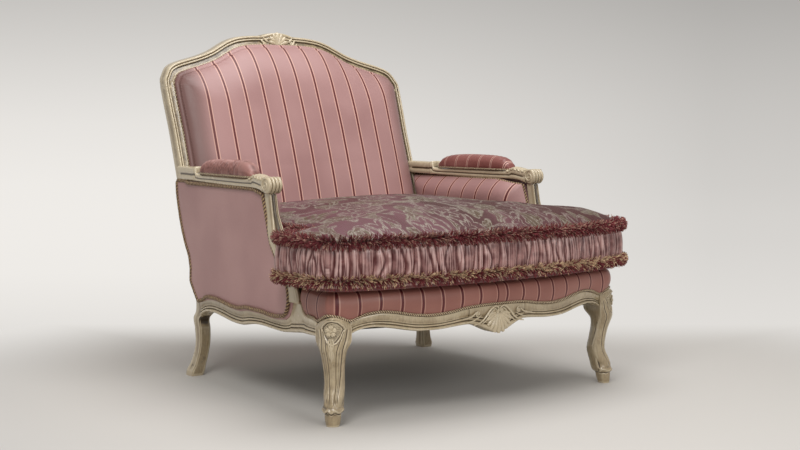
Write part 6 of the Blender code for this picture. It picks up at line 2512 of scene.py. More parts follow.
def cloth_swell(piece: Object, voxel: float, cap: float, held: Callable[[Array], Array],
                pressure: float = 4.0, frames_run: int = 20) -> None:
    """Fill a padded piece by a cloth simulation, and keep its points within a cap of where they were.

    Args:
        piece: The piece, a closed shell.
        voxel: Size of the cells that it is remeshed with.
        cap: How far a point may move.
        held: Turns points into how much of its motion each keeps, 0 to 1.
        pressure: The filling's pressure.
        frames_run: How many frames run.
    """
    bpy.context.view_layer.objects.active = piece
    remesh = piece.modifiers.new("cells", "REMESH")
    remesh.mode, remesh.voxel_size, remesh.use_smooth_shade = "VOXEL", voxel, True
    graph = bpy.context.evaluated_depsgraph_get()
    mesh = bpy.data.meshes.new_from_object(piece.evaluated_get(graph), depsgraph=graph)
    piece.modifiers.clear()
    piece.data = mesh
    before = read_points(mesh, "co")
    cloth = piece.modifiers.new("cloth", "CLOTH")
    cloth.settings.quality = 4
    cloth.settings.mass = 0.3
    cloth.settings.tension_stiffness = cloth.settings.compression_stiffness = 15
    cloth.settings.bending_stiffness = 2.0
    cloth.settings.use_pressure = True
    cloth.settings.uniform_pressure_force = pressure
    cloth.settings.effector_weights.gravity = 0
    cloth.collision_settings.use_collision = False
    scene = bpy.context.scene
    for step in range(1, frames_run + 1):
        scene.frame_set(step)
    graph = bpy.context.evaluated_depsgraph_get()
    move = read_points(piece.evaluated_get(graph).data, "co") - before
    piece.modifiers.clear()
    scene.frame_set(1)
    size = np.linalg.norm(move, axis=1)
    move *= np.minimum(1, cap / np.maximum(size, 1e-9))[:, None]
    move *= held(before)[:, None]
    mesh.vertices.foreach_set("co", (before + move).ravel())
    mesh.update()
    mesh.shade_smooth()
    most = 1000 * np.linalg.norm(move, axis=1).max()
    LOG.info("%s: filled, %d points, moved up to %.1f mm", piece.name, len(before), most)


@dataclass
class Upholstery:
    """The fixed covers: back, arms, deck and the cords along their edges."""

    cord: TwistedCord
    back_crown: float = 0.068
    back_foot: float = 0.70
    stripe_reach: float = 0.375
    rebate: float = 0.0047
    panel_crown: float = 0.006
    tuck: float = 0.007
    draw: float = 0.018
    inner_crown: float = 0.024
    pad_width: float = 0.056
    pad_height: float = 0.046
    cord_inset: float = 0.0335
    cord_stand: float = 0.0078
    cord_tuck: float = 0.0060
    seam: float = 0.22
    deck_low: float = 0.287
    PAD: Rows = (
        (0.0, 0.22, 0.10), (0.012, 0.42, 0.28), (0.03, 0.62, 0.45), (0.10, 0.88, 0.80), (0.22, 0.98, 0.95),
        (0.40, 1.0, 1.0), (0.60, 1.0, 1.0), (0.78, 0.98, 0.93), (0.90, 0.86, 0.75), (0.97, 0.60, 0.42),
        (0.99, 0.42, 0.26), (1.0, 0.24, 0.10),
    )
    PAD_SECTION: Rows = (
        (-0.72, 0.0), (-0.93, 0.10), (-1.0, 0.28), (-0.94, 0.62), (-0.6, 0.92), (0.0, 1.0), (0.6, 0.92),
        (0.94, 0.62), (1.0, 0.28), (0.93, 0.10), (0.72, 0.0),
    )

    def build(self) -> list[Object]:
        """Build every fixed cover and cord.

        Returns:
            The pieces.
        """
        made = [self.inside_back(), self.outside_back(), self.deck()]
        for side in Side:
            made += [self.inner_arm(side), self.outer_arm(side), self.arm_pad(side)]
        return made + self.cords()

    def back_edge(self, inward: float, low_z: float, count: int = 640) -> Array:
        """The closed edge of a panel in the back frame.

        Args:
            inward: How far inside the frame's outer line.
            low_z: Height of its lower edge.
            count: How many points.

        Returns:
            (x, z) points.
        """
        line = CARCASS.back_line(inward, low_z, 420)
        base = np.linspace(line[-1], line[0], 80)[1:]
        return evenly(np.vstack([line, base]), count, closed=True)

    def inside_back(self) -> Object:
        """Build the stuffed inside back.

        Returns:
            The piece.
        """
        c = CARCASS
        low = c.stay_z + c.stay_height / 2 + GAP

        def front(x: Array, z: Array, height: Array) -> Array:
            """Places on the front of the pad, which is slimmer behind the cushion."""
            foot = self.back_foot + (1 - self.back_foot) * ease(low, 0.66, z)
            return np.array([c.back_point(a, b, self.rebate - h) for a, b, h in zip(x, z, height * foot)])

        def back(x: Array, z: Array) -> Array:
            """Places on its backing."""
            return np.array([c.back_point(a, b, 0.014) for a, b in zip(x, z)])

        edge = self.back_edge(c.back_face + 3 * GAP, low)
        piece = stuffed(Skin("inside_back_stuffed"), edge, (0.0, 0.66), front, back, self.back_crown - 0.026,
                        0.120, 64, 0.020, 0.022, 0.010).build()
        return dress(piece, Satin(reach=self.stripe_reach, period=0.066, line_half=0.0034, pale_half=0.0068),
                     "frame", "inside_back_pad")

    def outside_back(self) -> Object:
        """Build the plain panel behind the back.

        Returns:
            The piece.
        """
        c = CARCASS

        def front(x: Array, z: Array, height: Array) -> Array:
            """Places on the outer face."""
            return np.array([c.back_point(a, b, c.back_depth(b) - 0.002 + h) for a, b, h in zip(x, z, height)])

        def back(x: Array, z: Array) -> Array:
            """Places on the inner face."""
            return np.array([c.back_point(a, b, c.back_depth(b) - 0.006) for a, b in zip(x, z)])

        edge = self.back_edge(c.back_face + 3 * GAP, 0.195)
        piece = stuffed(Skin("outside_back_panel_cover"), edge, (0.0, 0.6), front, back, self.panel_crown * 0.7,
                        0.05, 34, self.panel_crown * 0.3).build()
        return dress(piece, Satin(slot="plain_satin", striped=False), "frame", "outside_back_panel")

    def inner_arm(self, side: Side) -> Object:
        """Build the stuffed inner side of an arm.

        Args:
            side: Which one.

        Returns:
            The piece.
        """
        c = CARCASS
        outline = closed_line(c.inner_outline(), 420)

        def front(y: Array, z: Array, height: Array) -> Array:
            """Places on the stuffed face.

            Args:
                y: Depths.
                z: Heights.
                height: How far off the backing.

            Returns:
                The points.
            """
            out = self.spread(y, z)
            full = 1 + 0.45 * ease(0.47, 0.55, z)
            return np.array([(side.value * (c.inner_x_at(b) + o - h), a, b)
                             for a, b, h, o in zip(y, z, height * full, out)])

        def back(y: Array, z: Array) -> Array:
            """Places on its backing."""
            out = self.spread(y, z) + 0.0015 + 0.0065 * ease(c.scroll_y + 0.05, c.scroll_y + 0.12, y)
            return np.array([(side.value * (c.inner_x_at(b) + o), a, b) for a, b, o in zip(y, z, out)])

        piece = stuffed(Skin("inner_arm_stuffed_" + side.word), outline, outline.mean(axis=0), front, back,
                        self.inner_crown, 0.070, 34, 0.004).build()
        satin = Satin(weave=Weave.Y, lean=0.25, shift=0.012)
        return dress(piece, satin, "frame", "inside_arm_pad_" + side.word)

    def panel_edge(self, count: int, inward: float) -> Array:
        """The edge of the outer arm's cover, whose rear side keeps within the line of the upright.

        Args:
            count: How many points.
            inward: How far inside the panel's outline; a negative distance lies outside.

        Returns:
            (y, z) points.
        """
        c = CARCASS
        line = closed_line(c.panel_outline(), count)
        y, z = line[:, 0], line[:, 1]
        rear = np.array([c.back_y(c.arm_rear, b) for b in z])
        share = ease(rear - 0.25, rear + 0.02, y) * ease(c.frame_z, c.frame_z + 0.15, z)
        held = 1 - 0.6 * share if inward < 0 else 1
        return inset(np.column_stack([y - self.draw * share, z]), inward * held)

    def rear_share(self, y: Array, z: Array) -> Array:
        """How near the rear edge of the outer arm's cover places lie, from 0 to 1."""
        rear = np.array([CARCASS.back_y(CARCASS.arm_rear, b) for b in z])
        return ease(rear - 0.05, rear - 0.01, y + self.draw)

    def spread(self, y: Array, z: Array) -> Array:
        """How far the cover of the inner arm reaches out to meet the post.

        Args:
            y: Depths.
            z: Heights.

        Returns:
            The distances.
        """
        c = CARCASS
        room = np.array([c.arm_front - c.post_half(b) - 0.0025 - c.inner_x_at(b) for b in z])
        return np.maximum(room, 0.0) * ease(c.scroll_y + 0.09, c.scroll_y + 0.01, y) * ease(0.36, 0.44, z)

    def outer_arm(self, side: Side) -> Object:
        """Build the plain outer panel of an arm.

        Args:
            side: Which one.

        Returns:
            The piece.
        """
        c = CARCASS
        outline = self.panel_edge(520, -self.tuck)

        def front(y: Array, z: Array, height: Array) -> Array:
            """Places on the outer face."""
            return np.array([(side.value * (c.panel_x(a) + h), a, b) for a, b, h in zip(y, z, height)])

        def back(y: Array, z: Array) -> Array:
            """Places on the inner face."""
            return np.array([(side.value * (c.panel_x(a) - 0.002), a, b) for a, b in zip(y, z)])

        piece = stuffed(Skin("outer_arm_panel_cover_" + side.word), outline, (0.03, 0.43), front, back,
                        self.panel_crown * 0.8, 0.030, 30, self.panel_crown * 0.4).build()
        satin = Satin(slot="plain_satin", striped=False, base=(0.47, 0.275, 0.265), deep=(0.40, 0.225, 0.218))
        return dress(piece, satin, "frame", "outside_arm_panel_" + side.word)

    def deck_edge(self, count: int = 900) -> Array:
        """The deck's closed lower edge, from the middle of the front: x, y, z, bulge.

        Args:
            count: How many points.

        Returns:
            The points, each with its bulge.
        """
        half = CARCASS.deck_half()
        whole = half + [(-p[0], *p[1:]) for p in reversed(half[1:-1])]
        return smooth_line(whole, count, closed=True)

    def deck(self) -> Object:
        """Build the sprung deck with its bulging striped border.

        Returns:
            The piece.
        """
        c = CARCASS
        edge = self.deck_edge()
        flat, low, bulge = edge[:, :2], edge[:, 2], edge[:, 3]
        out = flat - inset(flat, 1.0)
        run = np.r_[0, np.cumsum(np.linalg.norm(np.diff(np.vstack([flat, flat[:1]]), axis=0), axis=1))]
        centre = np.array((0.0, -0.40))
        rows, places = [], []
        for share in (0.02, 0.85):
            rows.append(np.column_stack([centre + (flat - centre) * share, np.full(len(flat), self.deck_low)]))
            places.append(0.0)
        for t in np.linspace(0, 1, 30):
            swell = sin(pi * min(0.05 + t, 1.0) ** 0.85) ** 0.8 * c.deck_bulge * 1.12 if t < 0.999 else 0.0
            inward = 0.007 * float(ease(0.75, 1.0, t)) * (t > 0.75)
            rows.append(np.column_stack([flat + out * (swell * bulge - inward)[:, None],
                                         low + (c.deck_z - low) * (1 - (1 - t) ** 1.25)]))
            places.append(t)
        for share in (0.985, 0.96, 0.90, 0.75, 0.5, 0.25, 0.02):
            ring = centre + (flat - out * 0.007 - centre) * share
            height = c.deck_z + 0.004 * float(ease(1.0, 0.90, share))
            rows.append(np.column_stack([ring, np.full(len(ring), height)]))
            places.append(1.0)
        u, v = np.meshgrid(run, np.r_[places, 1.0])
        skin = Skin("seat_deck_covered")
        piece = skin.grid(np.array(rows), around=True, caps=True, uv=np.stack([u, v], axis=2)).build()
        border = Satin(weave=Weave.UV, period=0.0585, shift=0.0292, base=(0.345, 0.150, 0.120),
                       deep=(0.265, 0.104, 0.082), line_half=0.0036, pale_half=0.0066, pale=(0.46, 0.24, 0.19))
        for satin in (border, Satin()):
            piece.data.materials.append(satin.material())
        for face in piece.data.polygons:
            if face.normal.z > 0.9 and face.center.z > c.deck_z - 0.002:
                face.material_index = 1
        return dress(piece, Satin(), "frame", "seat_deck")

    def gathers(self, bend: float, around: float, place: float) -> float:
        """How far the gathered cover of an arm pad is drawn in.

        Args:
            bend: Place along the pad, as the gathers bend over it.
            around: Place across it, 0 to 1.
            place: Place along it.

        Returns:
            The distance, which is negative inwards.
        """
        phase = bend * 330 + 1.7 * sin(bend * 57 + around * 2) + 0.8 * sin(bend * 131 + 3 * around)
        drawn = float(ease(self.seam + 0.01, self.seam + 0.05, bend) * ease(1.0, 0.93, place))
        pull = -0.0021 * abs(sin(phase / 2)) ** 0.7 * drawn * sin(pi * around) ** 0.5
        pull -= 0.0028 * ridge(bend - self.seam, 0.006) * sin(pi * around)
        return pull + 0.0012 * float(ridge(bend - self.seam + 0.016, 0.008))

    def arm_pad(self, side: Side) -> Object:
        """Build the padded rest of an arm.

        Args:
            side: Which one; the left one is gathered, the right one striped.

        Returns:
            The piece.
        """
        c = CARCASS
        start, end = c.pad_ends()
        base = c.arm_z + c.arm_thick * 1.02 + GAP
        section = refine(self.PAD_SECTION, 6)
        rows, places = [], []
        for place in 0.5 - 0.5 * np.cos(np.linspace(0, pi, 420)):
            y = blend(start, end, place)
            centre = c.arm_centre(y)
            half = between(self.PAD, place, 1) * self.pad_width / 2
            rise = between(self.PAD, place, 2) * self.pad_height
            row = []
            for k, (u, v) in enumerate(section):
                around = k / (len(section) - 1)
                bend = place + 0.020 * sin(pi * around) - 0.010
                if side is Side.LEFT:
                    pull = self.gathers(bend, around, place)
                else:
                    pull = -0.0006 * abs(sin(bend * 60 + 2 * around)) * sin(pi * around)
                size = 1 + pull / 0.025
                row.append((side.value * (centre + u * half * size), y, base + v * rise * size))
            rows.append(row)
            places.append([(blend(0, 0.26, place + 0.03 * sin(pi * k / (len(section) - 1))), k / len(section))
                           for k in range(len(section) + 1)])
        places.append(places[-1])
        skin = Skin("arm_pad_" + side.word + "_covered").grid(
            np.array(rows), around=True, caps=True, uv=np.array(places))
        piece = skin.build()
        mark_hollows(piece, 0.0003)
        if side is Side.LEFT:
            finish: Finish = Ruched(slot="striped_satin", base=(0.27, 0.115, 0.095), deep=(0.10, 0.028, 0.022),
                                    high=(0.36, 0.18, 0.16), gloss=0.46)
        else:
            # The right pad's satin is a darker copy of the back's, as painted shade for the pad's shaded lower
            # side
            finish = Satin(weave=Weave.UV, period=0.041, shift=0.020, line_half=0.0012, pale_half=0.0030,
                           base=(0.27, 0.100, 0.085), deep=(0.15, 0.034, 0.028))
        return dress(piece, finish, "frame", "arm_pad_" + side.word)

    def cords(self) -> list[Object]:
        """Lay every cord.

        Returns:
            The cords.
        """
        c = CARCASS
        front = np.array([c.back_point(x, z, -0.0040) for x, z in c.back_line(self.cord_inset, 0.350, 900)])
        rear = np.array([c.back_point(x, z, c.back_depth(z) + 0.0030)
                         for x, z in self.back_edge(self.cord_inset, 0.200, 1200)])
        made = [self.cord.lay("cord_inside_back", front, False, ["gimp_inside_back"]),
                self.cord.lay("cord_outside_back", rear, True, ["gimp_outside_back"], 0.8)]
        for side in Side:
            made += [self.outer_cord(side), self.pad_cord(side), self.inner_cord(side)]
        return made + [self.seat_cord()]

    def outer_cord(self, side: Side) -> Object:
        """Lay the cord round the outer panel of an arm, tucked in at its rear.

        Args:
            side: Which one.

        Returns:
            The cord.
        """
        outline = self.panel_edge(700, 0.0030)
        tucked = self.rear_share(outline[:, 0], outline[:, 1])
        outline = inset(outline, -0.0050 * tucked)
        path = np.array([(side.value * (CARCASS.panel_x(y) + self.cord_stand - self.cord_tuck * s), y, z)
                         for (y, z), s in zip(outline, tucked)])
        node = "gimp_outside_arm_" + side.word
        return self.cord.lay("cord_outer_arm_" + side.word, path, True, [node], worn=True)

    def pad_cord(self, side: Side) -> Object:
        """Lay the cord round an arm pad.

        Args:
            side: Which one.

        Returns:
            The cord.
        """
        c = CARCASS
        start, end = c.pad_ends()
        height = c.arm_z + c.arm_thick * 1.02 + 0.0022
        rim = []
        for sign in (-1, 1):
            for s in np.linspace(0.01, 0.99, 160)[::sign]:
                y, away = blend(start, end, s), between(self.PAD, s, 1) * self.pad_width * 0.41 + 0.0008
                rim.append((side.value * (c.arm_centre(y) + sign * away), y, height))
        return self.cord.lay("cord_arm_pad_" + side.word, closed_line(rim, 400), True, size=0.62)

    def inner_cord(self, side: Side) -> Object:
        """Lay the cord over the top and the front of an inner arm.

        Args:
            side: Which one.

        Returns:
            The cord.
        """
        c = CARCASS
        inner = inset(closed_line(c.inner_outline(), 600), 0.0030)
        keep = np.array([p for p in inner
                         if p[1] > 0.40 and (p[1] > c.arm_z - 0.012 or p[0] < c.scroll_y + 0.09)])
        keep = np.array(sorted(keep, key=lambda p: atan2(p[1] - 0.45, p[0] - 0.03)))
        spread = self.spread(keep[:, 0], keep[:, 1])
        path = np.array([(side.value * (c.inner_x_at(z) + o - 0.0026), y, z)
                         for (y, z), o in zip(keep, spread)])
        return self.cord.lay("cord_inner_arm_" + side.word, path, False, (), 0.85, True)

    def seat_cord(self) -> Object:
        """Lay the cord along the foot of the deck, in front and past the blocks of the legs.

        Returns:
            The cord.
        """
        edge = self.deck_edge(1400)
        flat = edge[:, :2] + (edge[:, :2] - inset(edge[:, :2], 1.0)) * 0.0088
        path = np.column_stack([flat, edge[:, 2] + 0.0030])
        path = path[np.argsort(np.arctan2(path[:, 0], -(path[:, 1] + 0.30)))]
        return self.cord.lay("cord_seat_front", path[path[:, 1] < CARCASS.block_rear + 0.060], False, size=0.66)


@dataclass
class Cushion:
    """The loose cushion: brocade top, ruched border, two rows of cut fringe and its underside."""

    fringe: CutFringe
    bottom: float = 0.3393
    slab: float = 0.4393
    crown: float = 0.083
    lift: float = 0.009
    ear_half: float = 0.518
    wrap: float = 0.044
    body_half: float = 0.388
    ear_gap: float = 0.016
    corner: float = 0.097
    reach: float = 0.064
    CROWN: Rows = (
        (0.0, 0.0), (0.02, 0.07), (0.10, 0.21), (0.32, 0.36), (0.75, 0.52), (1.5, 0.70), (2.8, 0.90),
        (4.4, 1.0),
    )
    BODY: Rows = (
        (0.02, 0.0), (0.5, 0.0), (0.9, 0.0), (0.985, 0.0004), (1.0, 0.003), (1.003, 0.02), (1.004, 0.05),
        (1.003, 0.09), (1.0, 0.1085), (0.9, 0.1092), (0.5, 0.1092), (0.02, 0.1092),
    )
    # Least and greatest width of a puff, its depth and how far its creases sway, for large and small puffs
    PUFFS: Rows = ((0.013, 0.036, 0.0084, 0.0085), (0.0048, 0.0120, 0.0028, 0.0028))
    FRINGE: tuple = (("Strands", 15600), ("Length", 0.0250), ("Curl", 0.20), ("Tuft", 2.0))

    def plan(self, count: int) -> Array:
        """The cushion's plan, anticlockwise from the middle of the front.

        Args:
            count: How many points.

        Returns:
            The points.
        """
        c = CARCASS
        front_y = c.front_face(0) - self.reach + c.rail
        corner_y = c.block_front - self.reach / 4
        ear_y = c.post_edges(c.deck_z + GAP)[0] - self.ear_gap
        rear_y = c.back_y(0.0, c.deck_z) - 0.022
        bow = front_y - corner_y
        points = [(self.ear_half * s, front_y - bow * s * s * 0.9)
                  for s in (0, 0.13, 0.26, 0.39, 0.52, 0.64, 0.75)]
        centre = (self.ear_half - self.corner, corner_y + self.reach * 0.9)
        points += [(centre[0] + self.corner * sin(a * pi / 2), centre[1] - self.corner * cos(a * pi / 2) * 0.8)
                   for a in (0.22, 0.48, 0.74, 1.0)]
        waist = self.ear_gap / 3
        points += [
            (self.ear_half + 0.001, (centre[1] + ear_y) / 2), (self.ear_half + 0.002, ear_y + self.wrap * 0.1),
            (self.ear_half - 0.007, ear_y + self.wrap), (self.ear_half - 0.018, ear_y + self.wrap * 0.75),
            (self.ear_half - 0.030, ear_y), (self.body_half + self.ear_gap, ear_y),
            (self.body_half, ear_y + self.ear_gap * 1.6)]
        points += [(self.body_half - waist * sin(pi * s), blend(ear_y, rear_y, s)) for s in (0.3, 0.6, 0.85)]
        points += [(self.body_half - waist, rear_y - self.ear_gap),
                   (self.body_half - self.ear_gap * 1.6, rear_y)]
        points += [(self.body_half * s, rear_y) for s in (0.62, 0.3, 0.0)]
        return smooth_line(points + [(-x, y) for x, y in reversed(points[1:-1])], count, closed=True)

    def build(self) -> list[Object]:
        """Build the cushion's pieces."""
        return [self.body(), self.band(), self.top(), self.upper_fringe(), self.lower_fringe()]

    def body(self) -> Object:
        """Build the underside with the filling inside it.

        Returns:
            The piece.
        """
        plan = inset(self.plan(700), 0.006)
        centre = np.array((0.0, -0.40))
        rows = []
        for share, z in self.BODY:
            height = np.full(len(plan), self.bottom + z)
            rows.append(np.column_stack([centre + (plan - centre) * share, height]))
        piece = Skin("cushion_underside").closed(rows).build()
        finish = Satin(slot="cushion_lining", striped=False, base=(0.150, 0.050, 0.046),
                       deep=(0.105, 0.032, 0.030))
        return dress(piece, finish, "seat_cushion", "cushion_bottom_cover", "cushion_core")

    def band(self) -> Object:
        """Build the gathered border: round puffs between creases that wander from seam to seam.

        Returns:
            The piece.
        """
        count = 2900
        plan = self.plan(count)
        out = plan - inset(plan, 1.0)
        run = np.r_[0, np.cumsum(np.linalg.norm(np.diff(plan, axis=0), axis=1))]
        total = run[-1] + np.linalg.norm(plan[0] - plan[-1])
        rng = np.random.default_rng(41)
        layers = []
        for least, most, deep, sway in self.PUFFS:
            gaps = rng.uniform(least, most, int(total / (least + most) * 2))
            creases = np.cumsum(gaps) * total / gaps.sum()
            layers.append((creases, deep, rng.uniform(-sway, sway, len(gaps)), rng.uniform(0.3, 1.1, len(gaps)),
                           rng.uniform(0, tau, len(gaps)), rng.uniform(0.45, 1.0, len(gaps))))
        rows = []
        low, high = self.bottom + self.lift, self.slab + 0.004 + self.lift
        for t in np.linspace(0, 1, 27):
            middle = sin(pi * t)
            offset = np.full(count, 0.0085 * middle ** 0.6)
            for creases, deep, sway, beat, start, size in layers:
                lines = creases + sway * np.sin(tau * beat * (t - 0.5) + start)
                order = np.argsort(lines)
                lines, sizes = lines[order], size[order]
                ring = np.r_[lines[-1] - total, lines, lines[0] + total]
                k = np.clip(np.searchsorted(ring, run, side="right") - 1, 0, len(ring) - 2)
                width = ring[k + 1] - ring[k]
                share = np.clip((run - ring[k]) / np.maximum(width, 1e-6), 0, 1)
                puff = (1 - np.abs(2 * share - 1) ** 2.2) * np.minimum(width / 0.017, 1.3)
                puff = puff * np.r_[sizes[-1], sizes][k]
                offset += deep * (puff - 0.6) * (0.55 + 0.45 * middle)
            if t in (0.0, 1.0):
                offset *= 0.4
            rows.append(np.column_stack([plan + out * offset[:, None], np.full(count, blend(low, high, t))]))
        rows.append(np.column_stack([plan - out * 0.0055, np.full(count, high)]))
        rows.insert(0, np.column_stack([plan - out * 0.0055, np.full(count, low)]))
        piece = Skin("cushion_band_ruched").grid(np.array(rows), around=True, along=True).build(75.0)
        mark_hollows(piece, 0.0009)
        return dress(piece, Ruched(), "seat_cushion", "cushion_band")

    def top(self) -> Object:
        """Build the crowned brocade top.

        Returns:
            The piece.
        """
        plan = inset(self.plan(900), 0.003)
        centre = np.array((0.0, -0.36))
        coarse = plan[::4]
        base = self.slab + 0.0042 + self.lift
        rows = [np.column_stack([centre + (plan - centre) * s, np.full(len(plan), base)])
                for s in (0.02, 0.5, 0.97)]
        for share in 1 - np.linspace(0, 1, 64) ** 1.6 * 0.985:
            flat = centre + (plan - centre) * share
            away = edge_distance(flat, coarse) / self.crown if share < 1 else np.zeros(len(flat))
            rise = np.array([between(self.CROWN, a) for a in away]) * (self.crown - 0.006)
            x, y = flat[:, 0], flat[:, 1]
            lump = 0.0022 * np.sin(17 * x + 2.1 * np.sin(9 * y)) * np.cos(13 * y + 1.4 * np.sin(11 * x))
            rows.append(np.column_stack([flat, base + 0.001 + rise + lump * np.minimum(away, 1.0)]))
        piece = Skin("cushion_top_brocade").closed(rows).build()
        cloth_swell(piece, 0.0065, 0.012, lambda p: ease(self.slab + 0.015, self.slab + 0.065, p[:, 2])
                    * (1 - 0.7 * np.minimum(np.abs(p[:, 0]) / self.ear_half, 1) ** 2))
        return dress(piece, Brocade(), "seat_cushion", "cushion_top")

    def upper_fringe(self) -> Object:
        """Sew the bushy upper fringe.

        Returns:
            The piece.
        """
        line = np.column_stack([inset(self.plan(900), 0.002), np.full(900, self.slab + 0.0150 + self.lift)])
        return self.fringe.sew("fringe_upper_cut", line, Yarn(), "cushion_fringe_upper", {
            **dict(self.FRINGE), "Thickness": 0.00095, "Lean Low": -1.42, "Lean High": 1.40, "Droop": 0.002,
            "Seed": 11})

    def lower_fringe(self) -> Object:
        """Sew the lower fringe, straw-coloured above and wine-coloured below.

        Returns:
            The piece.
        """
        line = np.column_stack([inset(self.plan(900), -0.001), np.full(900, self.bottom + 0.0180 + self.lift)])
        yarn = Yarn(odd=(0.92, 0.68, 0.43), odd_low=0.16, odd_high=0.68)
        return self.fringe.sew("fringe_lower_cut", line, yarn, "cushion_fringe_lower", {
            **dict(self.FRINGE), "Thickness": 0.00092, "Lean Low": -1.20, "Lean High": 1.15, "Droop": 0.004,
            "Seed": 29})


@dataclass
class Underside:
    """The rails, blocks, screws, springs, straps and cloths below the seat."""

    wood: PaintedWood
    strap: float = 0.0012
    cloth: float = 0.0008
    lift: float = 0.007

    def build(self) -> list[Object]:
        """Make the straps and cloths, and give every node that stays a finish of its own.

        Returns:
            The straps and cloths.
        """
        self.dress_all()
        made = [self.webbing(name) for name in sorted(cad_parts) if name.startswith("seat_webbing")]
        return made + [self.spring_cloth(), self.dust_cover()]

    def dress_all(self) -> None:
        """Give every node that stays a finish of its own."""
        beech, brass = Plain(), Plain("brass_screw", (0.42, 0.29, 0.10), (0.60, 0.45, 0.18), 900, 0.35, 1.0)
        steel = Plain("spring_steel", (0.22, 0.22, 0.23), (0.38, 0.38, 0.39), 400, 0.38, 1.0)
        rules = (("corner_block_screw", brass), ("corner_block", beech), ("rear_seat_rail", self.wood),
                 ("lower_back_rail", beech), ("seat_spring", steel))
        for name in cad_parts:
            for start, finish in rules:
                if name.startswith(start):
                    for slot in fetch(name).material_slots:
                        slot.material = finish.material()
                    break

    def rail_lift(self, x: Array, y: Array) -> Array:
        """How far a cloth or strap rises towards the rails, where their lower edges arch up.

        Args:
            x: Places across the seat.
            y: Places along its depth.

        Returns:
            The rises.
        """
        c = CARCASS
        front = np.array([c.front_face(v) for v in np.clip(x, -c.inner_x, c.inner_x)]) + c.rail
        side = np.array([c.side_outer(v) for v in y]) - c.rail
        near = np.minimum(y - front, side - np.abs(x))
        return self.lift * (1 - ease(0.0, 0.10, near))

    def sheet(self, name: str, x: Array, y: Array, z: Array, thick: float, finish: Finish) -> Object:
        """A thin sheet over a grid of places.

        Args:
            name: Name of the piece.
            x: Places across, one row after another.
            y: Places along the depth.
            z: Heights of its underside.
            thick: Its thickness.
            finish: Its finish.

        Returns:
            The piece.
        """
        low, high = np.stack([x, y, z], axis=2), np.stack([x, y, z + thick], axis=2)
        rings = [np.vstack([a, b[::-1]]) for a, b in zip(low, high)]
        piece = Skin(name).closed(rings).build()
        piece.data.materials.append(finish.material())
        return piece

    def webbing(self, node: str) -> Object:
        """A jute strap, nailed at both ends and bowed a little by the springs on it.

        Args:
            node: The strap of the carcass model that it stands for.

        Returns:
            The piece.
        """
        low, high = (np.array(v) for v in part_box(node))
        along = 0 if "crosswise" in node else 1
        run = np.linspace(low[along] + 0.001, high[along] - 0.001, 90)
        across = np.linspace(low[1 - along], high[1 - along], 7)
        grid = np.meshgrid(run, across, indexing="ij")
        x, y = grid if along == 0 else grid[::-1]
        share = (grid[0] - run[0]) / (run[-1] - run[0])
        sag = -0.0022 * np.sin(pi * share) ** 2
        over = 0.0006 * np.cos(share * tau * 3.0) * (1 if along == 0 else -1)
        z = low[2] + sag + over + self.rail_lift(x.ravel(), y.ravel()).reshape(x.shape)
        jute = Plain("jute_webbing", (0.30, 0.21, 0.11), (0.52, 0.41, 0.25), 500, 0.9, depth=0.0008)
        piece = self.sheet(node + "_woven", x, y, z, self.strap, jute)
        return dress(piece, jute, "frame", node)

    def spring_cloth(self) -> Object:
        """The coarse cloth tied over the springs, which rises over each of them.

        Returns:
            The piece.
        """
        low, high = (np.array(v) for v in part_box("spring_cloth"))
        plan = deck_plan()
        centre = np.array((0.0, (low[1] + high[1]) / 2))
        middle = (plan.max(axis=0) + plan.min(axis=0)) / 2
        plan = centre + (plan - middle) * (high[:2] - low[:2]) / np.ptp(plan, axis=0)
        rows = []
        for thick in (0.0, self.cloth):
            for share in np.linspace(1.0, 0.02, 16) if thick else np.linspace(0.02, 1.0, 16):
                flat = centre + (plan - centre) * share
                dimple = -0.0012 * (1 - np.cos(flat[:, 0] * 38) * np.cos(flat[:, 1] * 38))
                dimple = dimple * min(1.0, (1 - share) * 6)
                rows.append(np.column_stack([flat, low[2] - 0.0005 + thick + dimple]))
        hessian = Plain("jute_webbing", (0.34, 0.25, 0.14), (0.55, 0.45, 0.29), 700, 0.95, depth=0.0006)
        piece = Skin("spring_cloth_tied").closed(rows).build()
        flat_area(plan)
        return dress(piece, hessian, "frame", "spring_cloth")

    def dust_cover(self) -> Object:
        """The black cloth nailed under the rails, which follows their lower edges and sags between them.

        Returns:
            The piece.
        """
        low, high = (np.array(v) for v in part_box("dust_cover"))
        plan = self.cover_plan()
        centre = np.array((0.0, -0.10))
        rows = []
        for thick in (0.0, self.cloth):
            for share in np.linspace(1.0, 0.02, 14) if thick else np.linspace(0.02, 1.0, 14):
                flat = centre + (plan - centre) * share
                sag = -0.0030 * (1 - share ** 2) + 0.0006 * np.sin(flat[:, 0] * 21) * np.sin(flat[:, 1] * 17)
                rise = self.rail_lift(flat[:, 0], flat[:, 1])
                rows.append(np.column_stack([flat, low[2] + 0.0030 + thick + sag * 0.8 + rise]))
        lining = Plain("black_lining", (0.012, 0.012, 0.013), (0.030, 0.030, 0.032), 700, 0.9, depth=0.0004)
        piece = Skin("dust_cover_nailed").closed(rows).build()
        flat_area(plan)
        return dress(piece, lining, "frame", "dust_cover")

    def cover_plan(self) -> Array:
        """The plan inside the rails, as a closed line.

        Returns:
            The points.
        """
        c = CARCASS
        gap = BODY_GAP
        half = [(s * c.inner_x, c.front_face(s * c.inner_x) + c.rail + gap)
                for s in (0.0, 0.25, 0.5, 0.75, 0.9, 0.999)]
        half += [(c.inner_x - gap, c.block_rear + gap)]
        for share in (0.2, 0.4, 0.6, 0.8, 0.95):
            y = c.block_rear + share * c.side_length
            half.append((min(c.side_outer(y) - c.rail, c.inner_x) - gap, y))
        inner = c.rear_half - c.rear_width / 2 - gap
        half += [(inner, c.seat_rear - gap), (inner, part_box("rear_seat_rail")[0][1] - gap)]
        return closed_line(half + [(-x, y) for x, y in reversed(half[1:])], 420)


